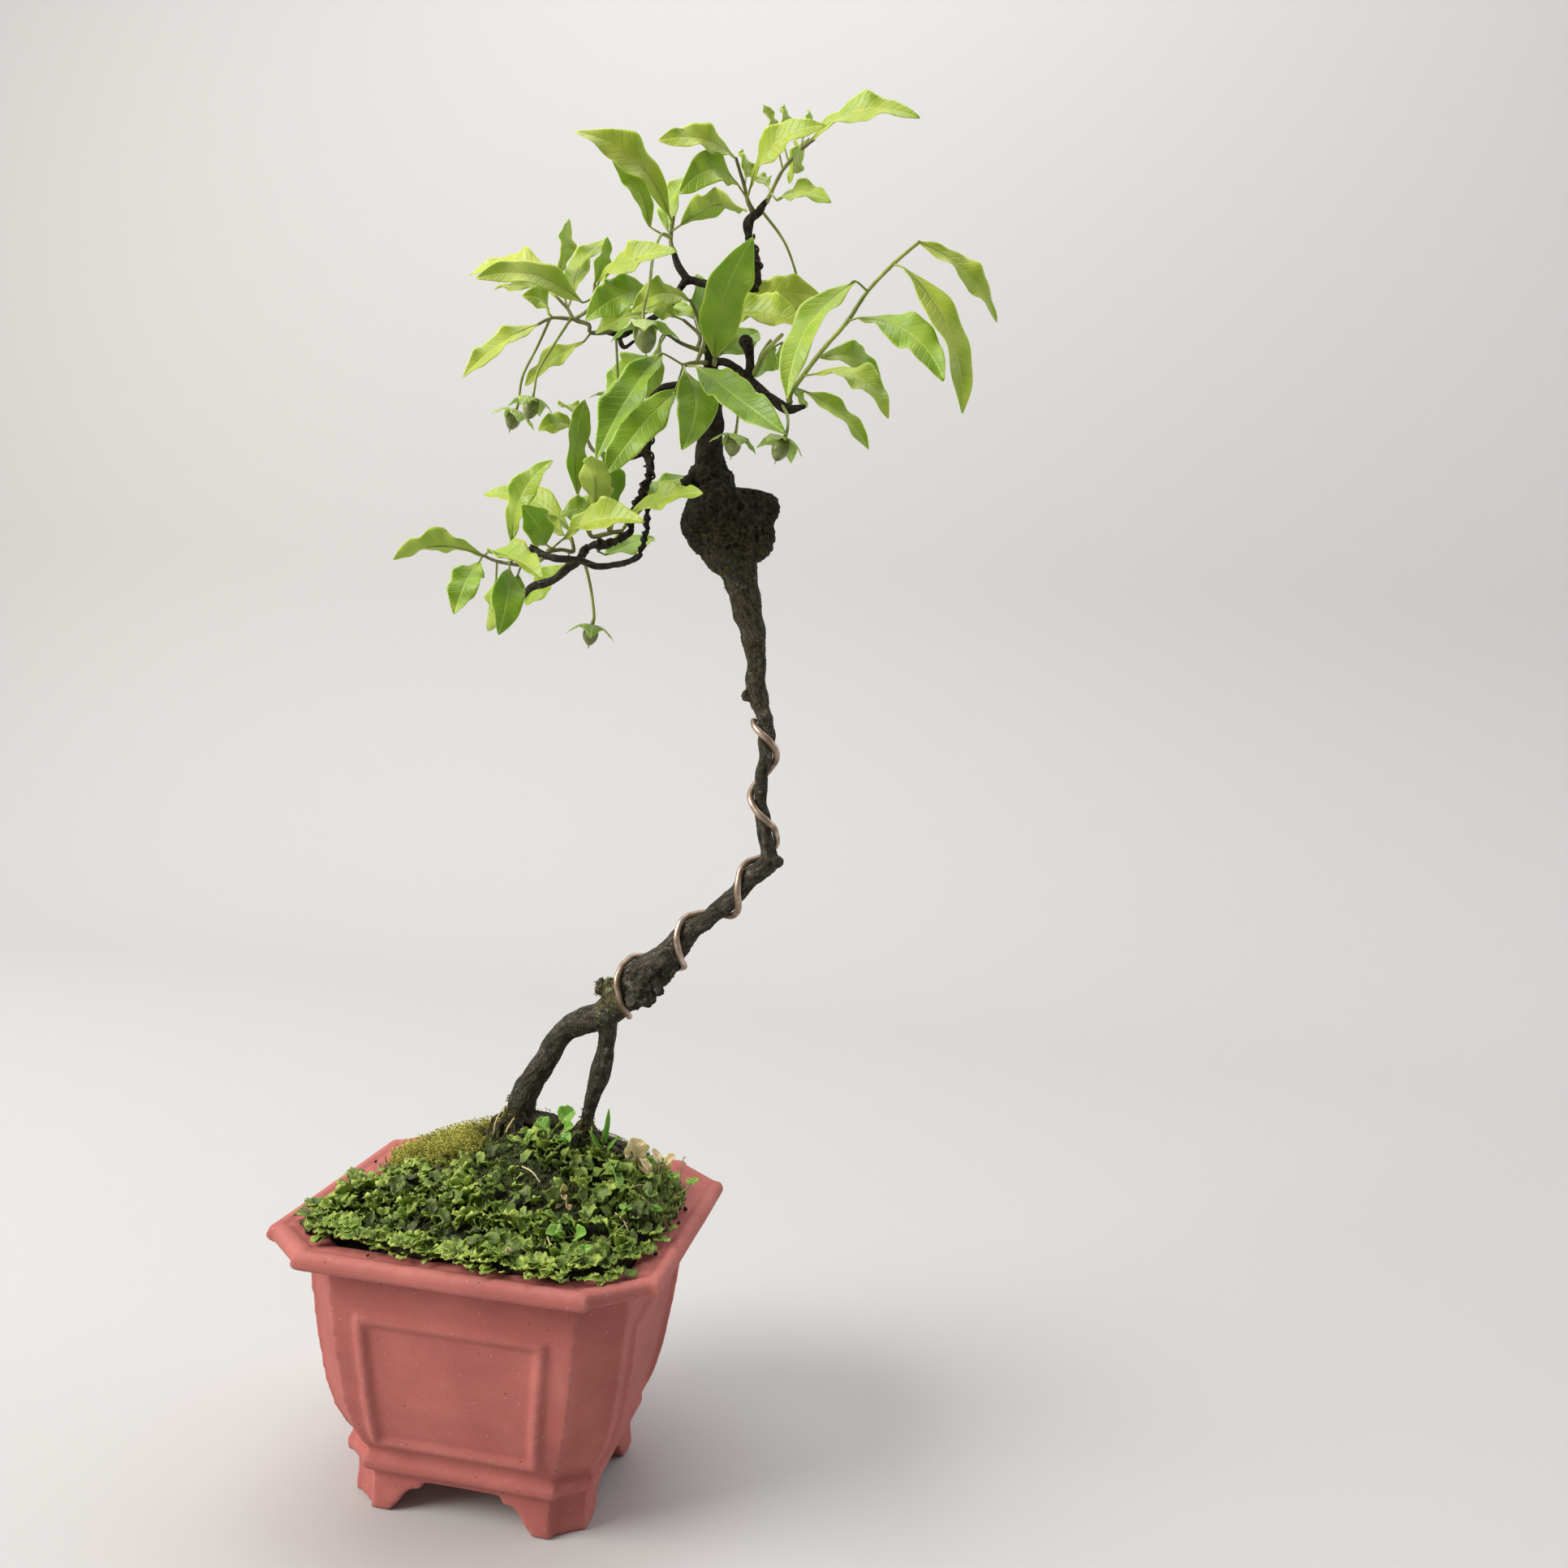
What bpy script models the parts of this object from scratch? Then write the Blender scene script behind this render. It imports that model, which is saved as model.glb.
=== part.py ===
# Bonsai of the species diospyros armata in its clay pot.
# Metres, +Z up. The design is laid out in millimetres in the pot's frame: X to the right along
# the pot's front, Y to the back, Z up from the surface that the feet stand on. At the end the
# whole tree is moved so that the middle of its box, at the bottom, is the origin.
import math

import bmesh
import bpy
from mathutils import Matrix, Vector, noise
from mathutils.bvhtree import BVHTree

MM = 0.001

# Driving dimensions, in millimetres
POT_LENGTH = 160.0
POT_DEPTH = 140.0
POT_HEIGHT = 116.0
FLOOR_TOP = 23.0
ARCH_HEIGHT = 14.0
SOIL_EDGE = 111.0
MOUND_RISE = 27.0
MOUND_CENTRE = (8.0, 12.0)
MOUND_REACH = (78.0, 72.0)
SEAT_GAP = 0.35
BLADE_THICK = 0.7
STALK_WIDE = 1.3
WIRE_RADIUS = 1.5
THIN_WIRE_RADIUS = 0.5
COIL_GAP = 0.75
THIN_COIL_GAP = 0.5
DRAIN_RADIUS = 7.0
DRAIN_PLACES = (-24.0, 24.0)

# A place in front of the tree, from which a leaf's turn is counted
FRONT_PLACE = Vector((194.0, -486.0, 336.0))

for old in list(bpy.data.objects):
    bpy.data.objects.remove(old, do_unlink=True)

PART = bpy.data.collections.new("diospyros_bonsai")
bpy.context.scene.collection.children.link(PART)
CUTTERS = bpy.data.collections.new("cutters")
bpy.context.scene.collection.children.link(CUTTERS)


# Materials

def finish(name, colour, roughness, metallic=0.0):
    material = bpy.data.materials.new(name)
    material.use_nodes = True
    shader = material.node_tree.nodes["Principled BSDF"]
    shader.inputs["Base Color"].default_value = (*colour, 1.0)
    shader.inputs["Roughness"].default_value = roughness
    shader.inputs["Metallic"].default_value = metallic
    return material


CLAY = finish("clay", (0.38, 0.15, 0.13), 0.75)
SOIL = finish("soil", (0.06, 0.05, 0.025), 0.95)
SCREEN = finish("screen", (0.03, 0.03, 0.03), 0.6)
BARK = finish("bark", (0.05, 0.042, 0.035), 0.9)
WIRE = finish("wire", (0.45, 0.24, 0.19), 0.4, 1.0)
DARK_WIRE = finish("dark_wire", (0.06, 0.05, 0.05), 0.45, 1.0)
LEAF = finish("leaf", (0.22, 0.38, 0.05), 0.5)
FRUIT = finish("fruit", (0.24, 0.34, 0.12), 0.55)
HERB = finish("herb", (0.2, 0.42, 0.06), 0.5)
LIVERWORT = finish("liverwort", (0.14, 0.28, 0.07), 0.6)
MOSS = finish("moss", (0.2, 0.27, 0.04), 0.9)
STRAW = finish("straw", (0.55, 0.42, 0.24), 0.8)


# Helpers

def add_object(name, bm, material, collection=PART):
    mesh = bpy.data.meshes.new(name)
    bmesh.ops.recalc_face_normals(bm, faces=bm.faces)
    bm.to_mesh(mesh)
    bm.free()
    mesh.materials.append(material)
    made = bpy.data.objects.new(name, mesh)
    collection.objects.link(made)
    return made


def as_cutter(cutter):
    cutter.hide_render = True
    cutter.display_type = "WIRE"
    return cutter


def evaluated_mesh(source):
    bpy.context.view_layer.update()
    return bpy.data.meshes.new_from_object(source.evaluated_get(bpy.context.evaluated_depsgraph_get()))


def boolean(base, others, operation, material, keep_others=False, solver="EXACT"):
    # others is a list of objects, or a collection that stays for the next piece
    group = others
    if isinstance(others, list):
        group = bpy.data.collections.new("operands")
        bpy.context.scene.collection.children.link(group)
        for other in others:
            group.objects.link(other)
    modifier = base.modifiers.new("boolean", "BOOLEAN")
    modifier.operation = operation
    modifier.operand_type = "COLLECTION"
    modifier.collection = group
    modifier.solver = solver
    joined = evaluated_mesh(base)
    base.modifiers.clear()
    base.data = joined
    joined.materials.clear()
    joined.materials.append(material)
    if isinstance(others, list):
        bpy.data.collections.remove(group)
        if not keep_others:
            for other in others:
                bpy.data.objects.remove(other, do_unlink=True)
    return base


def keep_main_body(made):
    # drops the scraps that a cut leaves and tidies the slivers
    bm = bmesh.new()
    bm.from_mesh(made.data)
    bmesh.ops.remove_doubles(bm, verts=bm.verts, dist=0.00001)
    todo = set(bm.verts)
    bodies = []
    while todo:
        stack = [todo.pop()]
        body = set(stack)
        while stack:
            for edge in stack.pop().link_edges:
                for vert in edge.verts:
                    if vert not in body:
                        body.add(vert)
                        stack.append(vert)
        todo -= body
        bodies.append(body)
    bodies.sort(key=len)
    for body in bodies[:-1]:
        bmesh.ops.delete(bm, geom=list(body), context="VERTS")
    bm.to_mesh(made.data)
    bm.free()


def smooth_look(made, angle=40):
    made.data.shade_smooth()
    made.data.set_sharp_from_angle(angle=math.radians(angle))


def along(route, place):
    # the point and the radius at a share of the route's length
    points = [Vector(p[:3]) for p in route]
    lengths = [(b - a).length for a, b in zip(points, points[1:])]
    rest = place * sum(lengths)
    for index, length in enumerate(lengths):
        if rest <= length or index == len(lengths) - 1:
            share = min(1.0, rest / length)
            point = points[index].lerp(points[index + 1], share)
            radius = route[index][3] + (route[index + 1][3] - route[index][3]) * share
            return point, radius
        rest -= length


def tube(name, route, material, sides=6, collection=PART, margin=0.0):
    # route: rows of x, y, z and radius, in millimetres
    points = [Vector(row[:3]) for row in route]
    if margin:
        points[0] = points[0] + (points[0] - points[1]).normalized() * margin
        points[-1] = points[-1] + (points[-1] - points[-2]).normalized() * margin
    curve = bpy.data.curves.new(name, "CURVE")
    curve.dimensions = "3D"
    curve.bevel_depth = MM
    curve.bevel_resolution = (sides - 4) // 2
    curve.use_fill_caps = True
    spline = curve.splines.new("POLY")
    spline.points.add(len(points) - 1)
    for knot, point, row in zip(spline.points, points, route):
        knot.co = (*(point * MM), 1.0)
        knot.radius = row[3] + margin
    guide = bpy.data.objects.new(name, curve)
    collection.objects.link(guide)
    mesh = evaluated_mesh(guide)
    bpy.data.objects.remove(guide, do_unlink=True)
    bpy.data.curves.remove(curve)
    bm = bmesh.new()
    bm.from_mesh(mesh)
    bpy.data.meshes.remove(mesh)
    bmesh.ops.remove_doubles(bm, verts=bm.verts, dist=0.00001)
    return add_object(name, bm, material, collection)


def roughen(made, height, grain):
    # bark relief: every corner moves along its normal, in or out
    bm = bmesh.new()
    bm.from_mesh(made.data)
    bm.normal_update()
    moves = [vert.normal * height * MM * noise.noise(vert.co / (grain * MM)) for vert in bm.verts]
    for vert, move in zip(bm.verts, moves):
        vert.co += move
    bmesh.ops.triangulate(bm, faces=bm.faces[:], quad_method="FIXED")
    bm.to_mesh(made.data)
    bm.free()


# Pot: one plan outline, drawn at many sizes up the wall

def plan(half_x, half_y, straight=0.74, step=2.6):
    # sixteen corners: four straight sides, and a diagonal face set in by a small step at each corner
    run_x = half_x * straight
    run_y = half_y * straight
    quarter = [(half_x, run_y), (half_x - step, run_y), (run_x, half_y - step), (run_x, half_y)]
    outline = list(quarter)
    outline += [(-x, y) for x, y in reversed(quarter)]
    outline += [(-x, -y) for x, y in quarter]
    outline += [(x, -y) for x, y in reversed(quarter)]
    return outline


def loft(name, rings, material, collection=PART):
    # rings: z with its plan, from the first cap to the last cap
    bm = bmesh.new()
    loops = []
    for z, outline in rings:
        loops.append([bm.verts.new((x * MM, y * MM, z * MM)) for x, y in outline])
    for low, high in zip(loops, loops[1:]):
        count = len(low)
        for i in range(count):
            bm.faces.new((low[i], low[(i + 1) % count], high[(i + 1) % count], high[i]))
    bm.faces.new(list(reversed(loops[0])))
    bm.faces.new(loops[-1])
    return add_object(name, bm, material, collection)


HALF_X = POT_LENGTH / 2
HALF_Y = POT_DEPTH / 2

# height, and how far the wall stands in from the rim's edge
WALL_OUT = [
    (0.0, 30.2), (9.0, 31.0), (17.0, 30.6), (17.8, 28.2), (21.0, 27.2), (24.2, 28.2), (25.0, 29.2),
    (30.0, 26.4), (38.0, 22.8), (50.0, 19.6), (70.0, 16.7), (92.0, 14.5), (106.0, 13.6),
]
LIP = [
    (108.2, 4.5), (109.2, 1.2), (110.6, 0.0), (113.6, 0.0), (115.4, 0.9), (116.0, 2.6),
    (115.9, 4.6), (114.9, 5.6), (114.8, 6.8), (115.3, 7.8), (115.0, 12.5),
]
WALL_IN = [(113.4, 15.4), (100.0, 19.0), (70.0, 21.5), (45.0, 25.0), (28.0, 32.0), (FLOOR_TOP, 37.0)]


def pot_rings(rows, straight, step):
    return [(z, plan(HALF_X - inset, HALF_Y - inset, straight, step)) for z, inset in rows]


def wall_inset(z):
    for (z0, in0), (z1, in1) in zip(WALL_OUT, WALL_OUT[1:]):
        if z0 <= z <= z1:
            return in0 + (in1 - in0) * (z - z0) / (z1 - z0)
    return WALL_OUT[-1][1]


def panel_frame(side):
    # a raised, rounded band round the panel of one wall, following the wall's curve
    low, high, band, sunk = 33.0, 87.0, 2.7, 1.4
    half_low, half_high = (33.0, 37.0) if side % 2 == 0 else (26.0, 30.0)
    reach = HALF_Y if side % 2 == 0 else HALF_X
    heights = [low + (high - low) * i / 4 for i in range(5)]
    right = [(half_low + (half_high - half_low) * i / 4, z) for i, z in enumerate(heights)]
    left = [(-x, z) for x, z in reversed(right)]
    turn = Matrix.Rotation(math.radians(90 * side), 3, "Z")
    curve_route = []
    for x, z in right + left:
        spot = turn @ Vector((x, -(reach - wall_inset(z) - sunk), z))
        curve_route.append(spot)
    curve = bpy.data.curves.new("band", "CURVE")
    curve.dimensions = "3D"
    curve.bevel_depth = band * MM
    curve.bevel_resolution = 1
    spline = curve.splines.new("POLY")
    spline.points.add(len(curve_route) - 1)
    for knot, spot in zip(spline.points, curve_route):
        knot.co = (*(spot * MM), 1.0)
    spline.use_cyclic_u = True
    guide = bpy.data.objects.new("band", curve)
    PART.objects.link(guide)
    mesh = evaluated_mesh(guide)
    bpy.data.objects.remove(guide, do_unlink=True)
    bm = bmesh.new()
    bm.from_mesh(mesh)
    bmesh.ops.remove_doubles(bm, verts=bm.verts, dist=0.00001)
    return add_object("band", bm, CLAY)


def arch_cutter(half_run, across):
    # the bracket arch between two feet, with its cusp, drawn along X and pushed through along Y
    right = [(half_run, -1.0), (half_run, 0.0), (half_run - 3.5, 4.0), (half_run - 6.0, 8.0),
             (half_run - 10.5, 10.4), (half_run - 13.0, 10.6), (half_run - 14.0, ARCH_HEIGHT)]
    outline = right + [(-x, z) for x, z in reversed(right)]
    bm = bmesh.new()
    front = [bm.verts.new((x * MM, -across * MM, z * MM)) for x, z in outline]
    face = bm.faces.new(front)
    pushed = bmesh.ops.extrude_face_region(bm, geom=[face])
    moved = [item for item in pushed["geom"] if isinstance(item, bmesh.types.BMVert)]
    bmesh.ops.translate(bm, verts=moved, vec=(0, 2 * across * MM, 0))
    return as_cutter(add_object("arch", bm, CLAY, CUTTERS))


def block_cutter(half_x, half_y, low, high):
    bm = bmesh.new()
    bmesh.ops.create_cube(bm, size=1.0)
    for vert in bm.verts:
        vert.co.x *= 2 * half_x * MM
        vert.co.y *= 2 * half_y * MM
        vert.co.z = (low if vert.co.z < 0 else high) * MM
    return as_cutter(add_object("block", bm, CLAY, CUTTERS))


def round_cutter(x, y, radius, low, high, sides=12):
    bm = bmesh.new()
    bmesh.ops.create_cone(bm, cap_ends=True, segments=sides, radius1=radius * MM, radius2=radius * MM,
                          depth=(high - low) * MM)
    bmesh.ops.translate(bm, verts=bm.verts, vec=(x * MM, y * MM, (low + high) / 2 * MM))
    return as_cutter(add_object("drill", bm, CLAY, CUTTERS))


def make_pot():
    rings = pot_rings(WALL_OUT, 0.765, 2.4) + pot_rings(LIP, 0.73, 3.0) + pot_rings(WALL_IN, 0.74, 1.2)
    pot = loft("pot", rings, CLAY)
    boolean(pot, [panel_frame(side) for side in range(4)], "UNION", CLAY)
    side_arch = arch_cutter(19.5, HALF_X)
    side_arch.rotation_euler.z = math.radians(90)
    cuts = [arch_cutter(30.0, HALF_Y), side_arch, block_cutter(41.0, 31.0, -1.0, ARCH_HEIGHT)]
    cuts += [round_cutter(x, 0.0, DRAIN_RADIUS, 0.0, 40.0) for x in DRAIN_PLACES]
    boolean(pot, cuts, "DIFFERENCE", CLAY)
    smooth_look(pot, 30)
    return pot


def make_drain_screen(number, x):
    # plastic mesh over a drain hole: a plate with square holes
    cell = 4.0
    cells = 5
    bm = bmesh.new()
    bmesh.ops.create_grid(bm, x_segments=cells, y_segments=cells, size=cells * cell / 2 * MM)
    for vert in bm.verts:
        vert.co += Vector((x, 0, FLOOR_TOP + SEAT_GAP)) * MM
    holes = []
    for face in bm.faces:
        centre = face.calc_center_median()
        column = round((centre.x / MM - x) / cell)
        row = round(centre.y / MM / cell)
        if column % 2 and row % 2:
            holes.append(face)
    bmesh.ops.delete(bm, geom=holes, context="FACES")
    pushed = bmesh.ops.extrude_face_region(bm, geom=bm.faces[:])
    moved = [item for item in pushed["geom"] if isinstance(item, bmesh.types.BMVert)]
    bmesh.ops.translate(bm, verts=moved, vec=(0, 0, 1.0 * MM))
    return add_object("drain_screen_%d" % number, bm, SCREEN)


# Soil: a mound that fills the pot

def mound(x, y):
    across = (x - MOUND_CENTRE[0]) / MOUND_REACH[0]
    deep = (y - MOUND_CENTRE[1]) / MOUND_REACH[1]
    fall = max(0.0, 1.0 - across * across - deep * deep)
    bumps = 2.0 * noise.noise(Vector((x / 24.0, y / 24.0, 0.0)))
    return SOIL_EDGE + MOUND_RISE * fall ** 1.25 + bumps


def make_soil():
    plug_rows = [(FLOOR_TOP + 1.8, 37.6), (28.0, 33.2), (45.0, 26.2), (70.0, 22.0), (100.0, 19.5),
                 (111.5, 16.8), (150.0, 16.8)]
    plug = loft("soil_plug", pot_rings(plug_rows, 0.74, 1.5), SOIL)
    bm = bmesh.new()
    ground_grid(bm, mound)
    pushed = bmesh.ops.extrude_face_region(bm, geom=bm.faces[:])
    for item in pushed["geom"]:
        if isinstance(item, bmesh.types.BMVert):
            item.co.z = 15.0 * MM
    soil = add_object("soil", bm, SOIL)
    boolean(soil, [plug], "INTERSECT", SOIL)
    return soil


# Wood: routes of x, y, z and radius

STEM = [
    (-9, 22, 116, 6.0), (-8, 20, 127, 6.6), (-8, 20, 138, 6.4), (-5, 19, 148, 5.6), (-1, 18, 160, 5.4),
    (5, 17, 169, 4.9), (13, 16, 184, 4.7), (22, 15, 191, 5.6), (33, 14, 196, 5.6), (42, 12, 206, 7.4),
    (50, 10, 214, 8.0), (58, 9, 221, 7.0), (67, 7, 233, 4.4), (77, 5, 242, 3.7), (87, 4, 251, 3.6),
    (94, 3, 260, 3.7), (101, 2, 267, 3.9), (100, 1, 277, 3.1), (97, 0, 292, 2.6),
    (98, 0, 310, 2.7), (98, 0, 318, 3.2), (96, 0, 326, 3.2), (93, 0, 335, 3.8), (92, 0, 348, 3.9),
    (90, 0, 358, 4.8), (87, 0, 368, 5.7), (84, 0, 379, 6.6), (81, 0, 388, 13.0), (80, 0, 394, 16.6),
    (78, 0, 401, 18.6), (78, 0, 408, 18.3), (77, 0, 412, 16.0), (72, 0, 415, 9.0), (70, 0, 419, 6.6),
    (69, 0, 431, 4.8), (70, 0, 437, 4.0), (70, 0, 444, 3.0), (70, 0, 452, 2.5), (67, 0, 461, 2.2),
    (68, 0, 471, 2.0), (72, 2, 481, 2.0), (78, 3, 488, 2.0), (83, 2, 493, 2.0), (83, 0, 499, 2.1),
    (81, 0, 504, 1.9), (80, 0, 509, 1.8), (80, 0, 515, 2.0), (83, 0, 518, 1.9), (86, 1, 522, 1.3),
]
SECOND_LEG = [
    (20, 28, 118, 3.6), (22, 27, 128, 3.5), (22, 26, 138, 3.2), (24, 25, 148, 2.8), (27, 22, 159, 3.4),
    (30, 20, 168, 4.4), (33, 17, 181, 3.6), (35, 13, 196, 3.8),
]
SURFACE_ROOTS = [
    [(23, 25, 141, 1.8), (34, 25, 138, 1.4), (47, 24, 132, 1.2), (63, 22, 121, 1.0)],
    [(23, 24, 139, 1.6), (34, 19, 138, 1.2), (45, 17, 133, 1.0), (55, 18, 127, 0.8)],
]
LOW_BRANCH = [
    (70, 0, 451, 2.3), (62, -2, 451, 2.2), (56, -4, 451, 1.9), (49, -5, 449, 1.8), (46, -6, 443, 1.7),
    (46, -7, 432, 1.7), (46, -8, 424, 1.7), (48, -9, 419, 1.7), (47, -10, 413, 1.6), (44, -10, 405, 1.6),
    (41, -10, 399, 1.5), (41, -10, 394, 1.5), (37, -10, 391, 1.5), (33, -10, 389, 1.6), (29, -12, 388, 1.7),
    (25, -13, 386, 1.7), (22, -14, 381, 1.6), (18, -15, 378, 1.7), (14, -16, 374, 1.6), (10, -17, 372, 1.6),
    (5, -18, 370, 1.5), (2, -19, 366, 1.3),
]
LOW_SIDE_BRANCH = [
    (46, -9, 411, 1.5), (48, -10, 400, 1.1), (48, -12, 392, 1.2), (47, -14, 385, 1.3), (44, -16, 382, 1.2),
    (38, -18, 380, 1.2), (32, -20, 379, 1.3), (25, -21, 381, 1.3), (18, -22, 381, 1.4), (12, -22, 382, 1.5),
    (6, -22, 384, 1.9),
]
FORK_STUB = [(42, 12, 203, 2.2), (36, 10, 208, 1.9), (31, 9, 210, 1.3)]
STUB_BRANCH = [(46, -8, 425, 1.4), (40, -8, 423, 1.3), (35, -8, 421, 1.2)]
LEFT_BRANCH = [
    (83, 1, 492, 1.7), (75, 2, 490, 1.6), (63, 3, 492, 1.6), (56, 2, 493, 1.6), (53, 1, 489, 1.4),
    (50, 0, 483, 1.3), (42, -2, 476, 1.2), (36, -4, 472, 1.3), (32, -5, 470, 1.3), (27, -6, 471, 1.1),
]
LEFT_HOOK = [(31, -5, 470, 1.0), (34, -6, 465, 0.9), (38, -7, 467, 0.8)]
LEFT_RISER = [(56, 2, 493, 1.5), (53, 1, 497, 1.5), (51, 1, 501, 1.4), (50, 0, 504, 1.1)]
RIGHT_BRANCH = [
    (67, 0, 461, 1.8), (73, -2, 461, 1.4), (79, -3, 458, 1.6), (84, -4, 454, 1.7), (88, -5, 451, 1.7),
    (93, -6, 447, 1.6), (97, -7, 444, 1.9), (101, -8, 442, 1.8), (107, -9, 443, 0.9),
]
RIGHT_STUB = [(84, -4, 454, 1.7), (84, -4, 461, 1.6), (83, -4, 466, 2.2), (82, -4, 468, 2.7)]
# lumps of bark on the stem, with their radius
LUMPS = [
    (105, 0, 268, 2.6), (64, 0, 419, 3.0), (52, 3, 212, 5.0), (88, -2, 396, 11.5), (68, 4, 402, 10.0),
    (90, -2, 333, 2.4),
]


def wood_pieces(collection, margin):
    routes = [(SECOND_LEG, 6), (LOW_BRANCH, 6), (LOW_SIDE_BRANCH, 4), (STUB_BRANCH, 4), (LEFT_BRANCH, 6),
              (LEFT_HOOK, 4), (LEFT_RISER, 6), (RIGHT_BRANCH, 6), (RIGHT_STUB, 6), (FORK_STUB, 4)]
    routes += [(root, 4) for root in SURFACE_ROOTS]
    pieces = [tube("stem", STEM, BARK, 8, collection, margin)]
    roughen(pieces[0], 1.1, 6.0)
    for route, sides in routes:
        piece = tube("limb", route, BARK, sides, collection, margin)
        roughen(piece, 0.3, 4.0)
        pieces.append(piece)
    for x, y, z, radius in LUMPS:
        bm = bmesh.new()
        bmesh.ops.create_icosphere(bm, subdivisions=1, radius=(radius + margin * 1.3) * MM)
        bmesh.ops.translate(bm, verts=bm.verts, vec=Vector((x, y, z)) * MM)
        piece = add_object("lump", bm, BARK, collection)
        roughen(piece, 0.5, 5.0)
        pieces.append(piece)
    return pieces


def make_trunk():
    pieces = wood_pieces(PART, 0.0)
    trunk = boolean(pieces[0], pieces[1:], "UNION", BARK)
    trunk.name = "trunk"
    keep_main_body(trunk)
    smooth_look(trunk, 50)
    return trunk


def make_bark_clearance():
    # the same wood a little fatter: what stands on the bark or round it is cut back by this
    pieces = wood_pieces(CUTTERS, SEAT_GAP)
    clearance = boolean(pieces[0], pieces[1:], "UNION", BARK)
    clearance.name = "bark_clearance"
    return as_cutter(clearance)


# Training wires: helixes pushed out until they clear the bark

def clear_of(tree, point, distance):
    for _ in range(12):
        near, normal, _, gap = tree.find_nearest(point * MM)
        if gap / MM >= distance:
            return point
        away = point - near / MM
        if away.dot(normal) < 0 or away.length < 0.01:
            away = normal * 1.0
        point = near / MM + away.normalized() * (distance + 0.02)
    return point


def coil(name, axis, places, radius, gap, first, last, steps, material, tree, sides=6):
    # places: shares of the axis route where the wire crosses the front, one turn apart;
    # it climbs from the right edge to the left edge of the front
    rows = []
    count = int((last - first) * steps)
    for i in range(count + 1):
        phase = first + (last - first) * i / count
        low = max(0, min(len(places) - 2, math.floor(phase)))
        share = places[low] + (places[low + 1] - places[low]) * (phase - low)
        here, thick = along(axis, min(0.999, max(0.001, share)))
        ahead, _ = along(axis, min(1.0, share + 0.004))
        direction = (ahead - here).normalized()
        front = FRONT_PLACE - here
        facing = (front - direction * front.dot(direction)).normalized()
        left = facing.cross(direction)
        angle = phase * 2 * math.pi
        outward = facing * math.cos(angle) + left * math.sin(angle)
        start = here + outward * (thick * 1.6 + 6.0)
        hit, _, _, _ = tree.ray_cast(start * MM, -outward, 0.03)
        spot = hit / MM if hit else here + outward * thick
        rows.append(clear_of(tree, spot + outward * radius, radius + gap))
    eased = [rows[0]]
    eased += [(a + b * 2 + c) / 4 for a, b, c in zip(rows, rows[1:], rows[2:])]
    eased.append(rows[-1])
    route = [clear_of(tree, spot, radius + gap) for spot in eased]
    for _ in range(3):
        for i in range(len(route) - 1):
            middle = (route[i] + route[i + 1]) / 2
            push = clear_of(tree, middle, radius + gap * 0.8) - middle
            route[i] = route[i] + push
            route[i + 1] = route[i + 1] + push
    made = tube(name, [(*spot, radius) for spot in route], material, sides)
    smooth_look(made, 60)
    return made


# Leaves: each blade and its stalk are one waved strip, three points wide

# share of the blade's length, and share of its width there
BLADE_SHAPE = [(0.0, 0.12), (0.19, 0.64), (0.5, 1.0), (0.8, 0.64), (1.0, 0.06)]
SMALL_SHAPE = [(0.0, 0.16), (0.5, 1.0), (1.0, 0.1)]
ROUND_SHAPE = [(0.0, 0.4), (0.5, 1.0), (1.0, 0.34)]


def blade(root, base, tip, width, turn=0.0, bow=0.0, side=0.0, fold=0.22, wave=0.06,
          shape=None, material=LEAF, facing=None, cells=2):
    # turn: degrees that the face is turned up from the front; bow: the midrib's arch towards the face;
    # side: its bend in the blade's own plane; fold: how far the margins stand up beside the midrib
    root, base, tip = Vector(root), Vector(base), Vector(tip)
    shape = shape or (BLADE_SHAPE if width > 10.0 else SMALL_SHAPE)
    axis = (tip - base).normalized()
    wanted = facing or (FRONT_PLACE - (base + tip) / 2)
    facing = (wanted - axis * wanted.dot(axis)).normalized()
    up = Vector((0.35, 0.0, 1.0))
    sense = 1.0 if axis.cross(facing).dot(up) > 0 else -1.0
    facing.rotate(Matrix.Rotation(math.radians(turn) * sense, 3, axis))
    across = axis.cross(facing)
    rows = []
    if (base - root).length > 3.2:
        rows.append((root, STALK_WIDE / 2, 0.0))
    else:
        base = root
    for share, wide in shape:
        arch = 4 * share * (1 - share)
        spot = base.lerp(tip, share) + facing * (bow * arch) + across * (side * arch)
        half = max(wide * width / 2, STALK_WIDE / 2 if share < 0.5 else 0.35)
        rows.append((spot, half, fold * half * min(1.0, 6 * share)))
    bm = bmesh.new()
    bmesh.ops.create_grid(bm, x_segments=cells, y_segments=len(rows) - 1, size=1.0)
    for vert in bm.verts:
        index = round((vert.co.y + 1) / 2 * (len(rows) - 1))
        column = round(vert.co.x)
        spot, half, lift = rows[index]
        ripple = wave * 2 * half * math.sin(index * 2.3 + column * 1.1 + root.x) if half > 1.0 else 0.0
        raised = lift + ripple if column else 0.0
        vert.co = (spot + across * (half * column) + facing * raised) * MM
    bmesh.ops.triangulate(bm, faces=bm.faces[:])
    bmesh.ops.solidify(bm, geom=bm.faces[:], thickness=BLADE_THICK * MM)
    return add_object("blade", bm, material)


def twig(route, material=LEAF):
    return tube("twig", route, material, 4)


def spray(name, twigs, leaves, material=LEAF):
    # one leafy shoot: its twigs and leaves joined, and cut back from the bark it stands on
    pieces = [twig(route, material) for route in twigs]
    pieces += [blade(*leaf, material=material) for leaf in leaves]
    shoot = pieces[0]
    if len(pieces) > 1:
        boolean(shoot, pieces[1:], "UNION", material)
    boolean(shoot, [BARK_CLEARANCE], "DIFFERENCE", material, keep_others=True)
    shoot.name = name
    shoot.data.name = name
    keep_main_body(shoot)
    smooth_look(shoot, 50)
    return shoot


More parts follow.
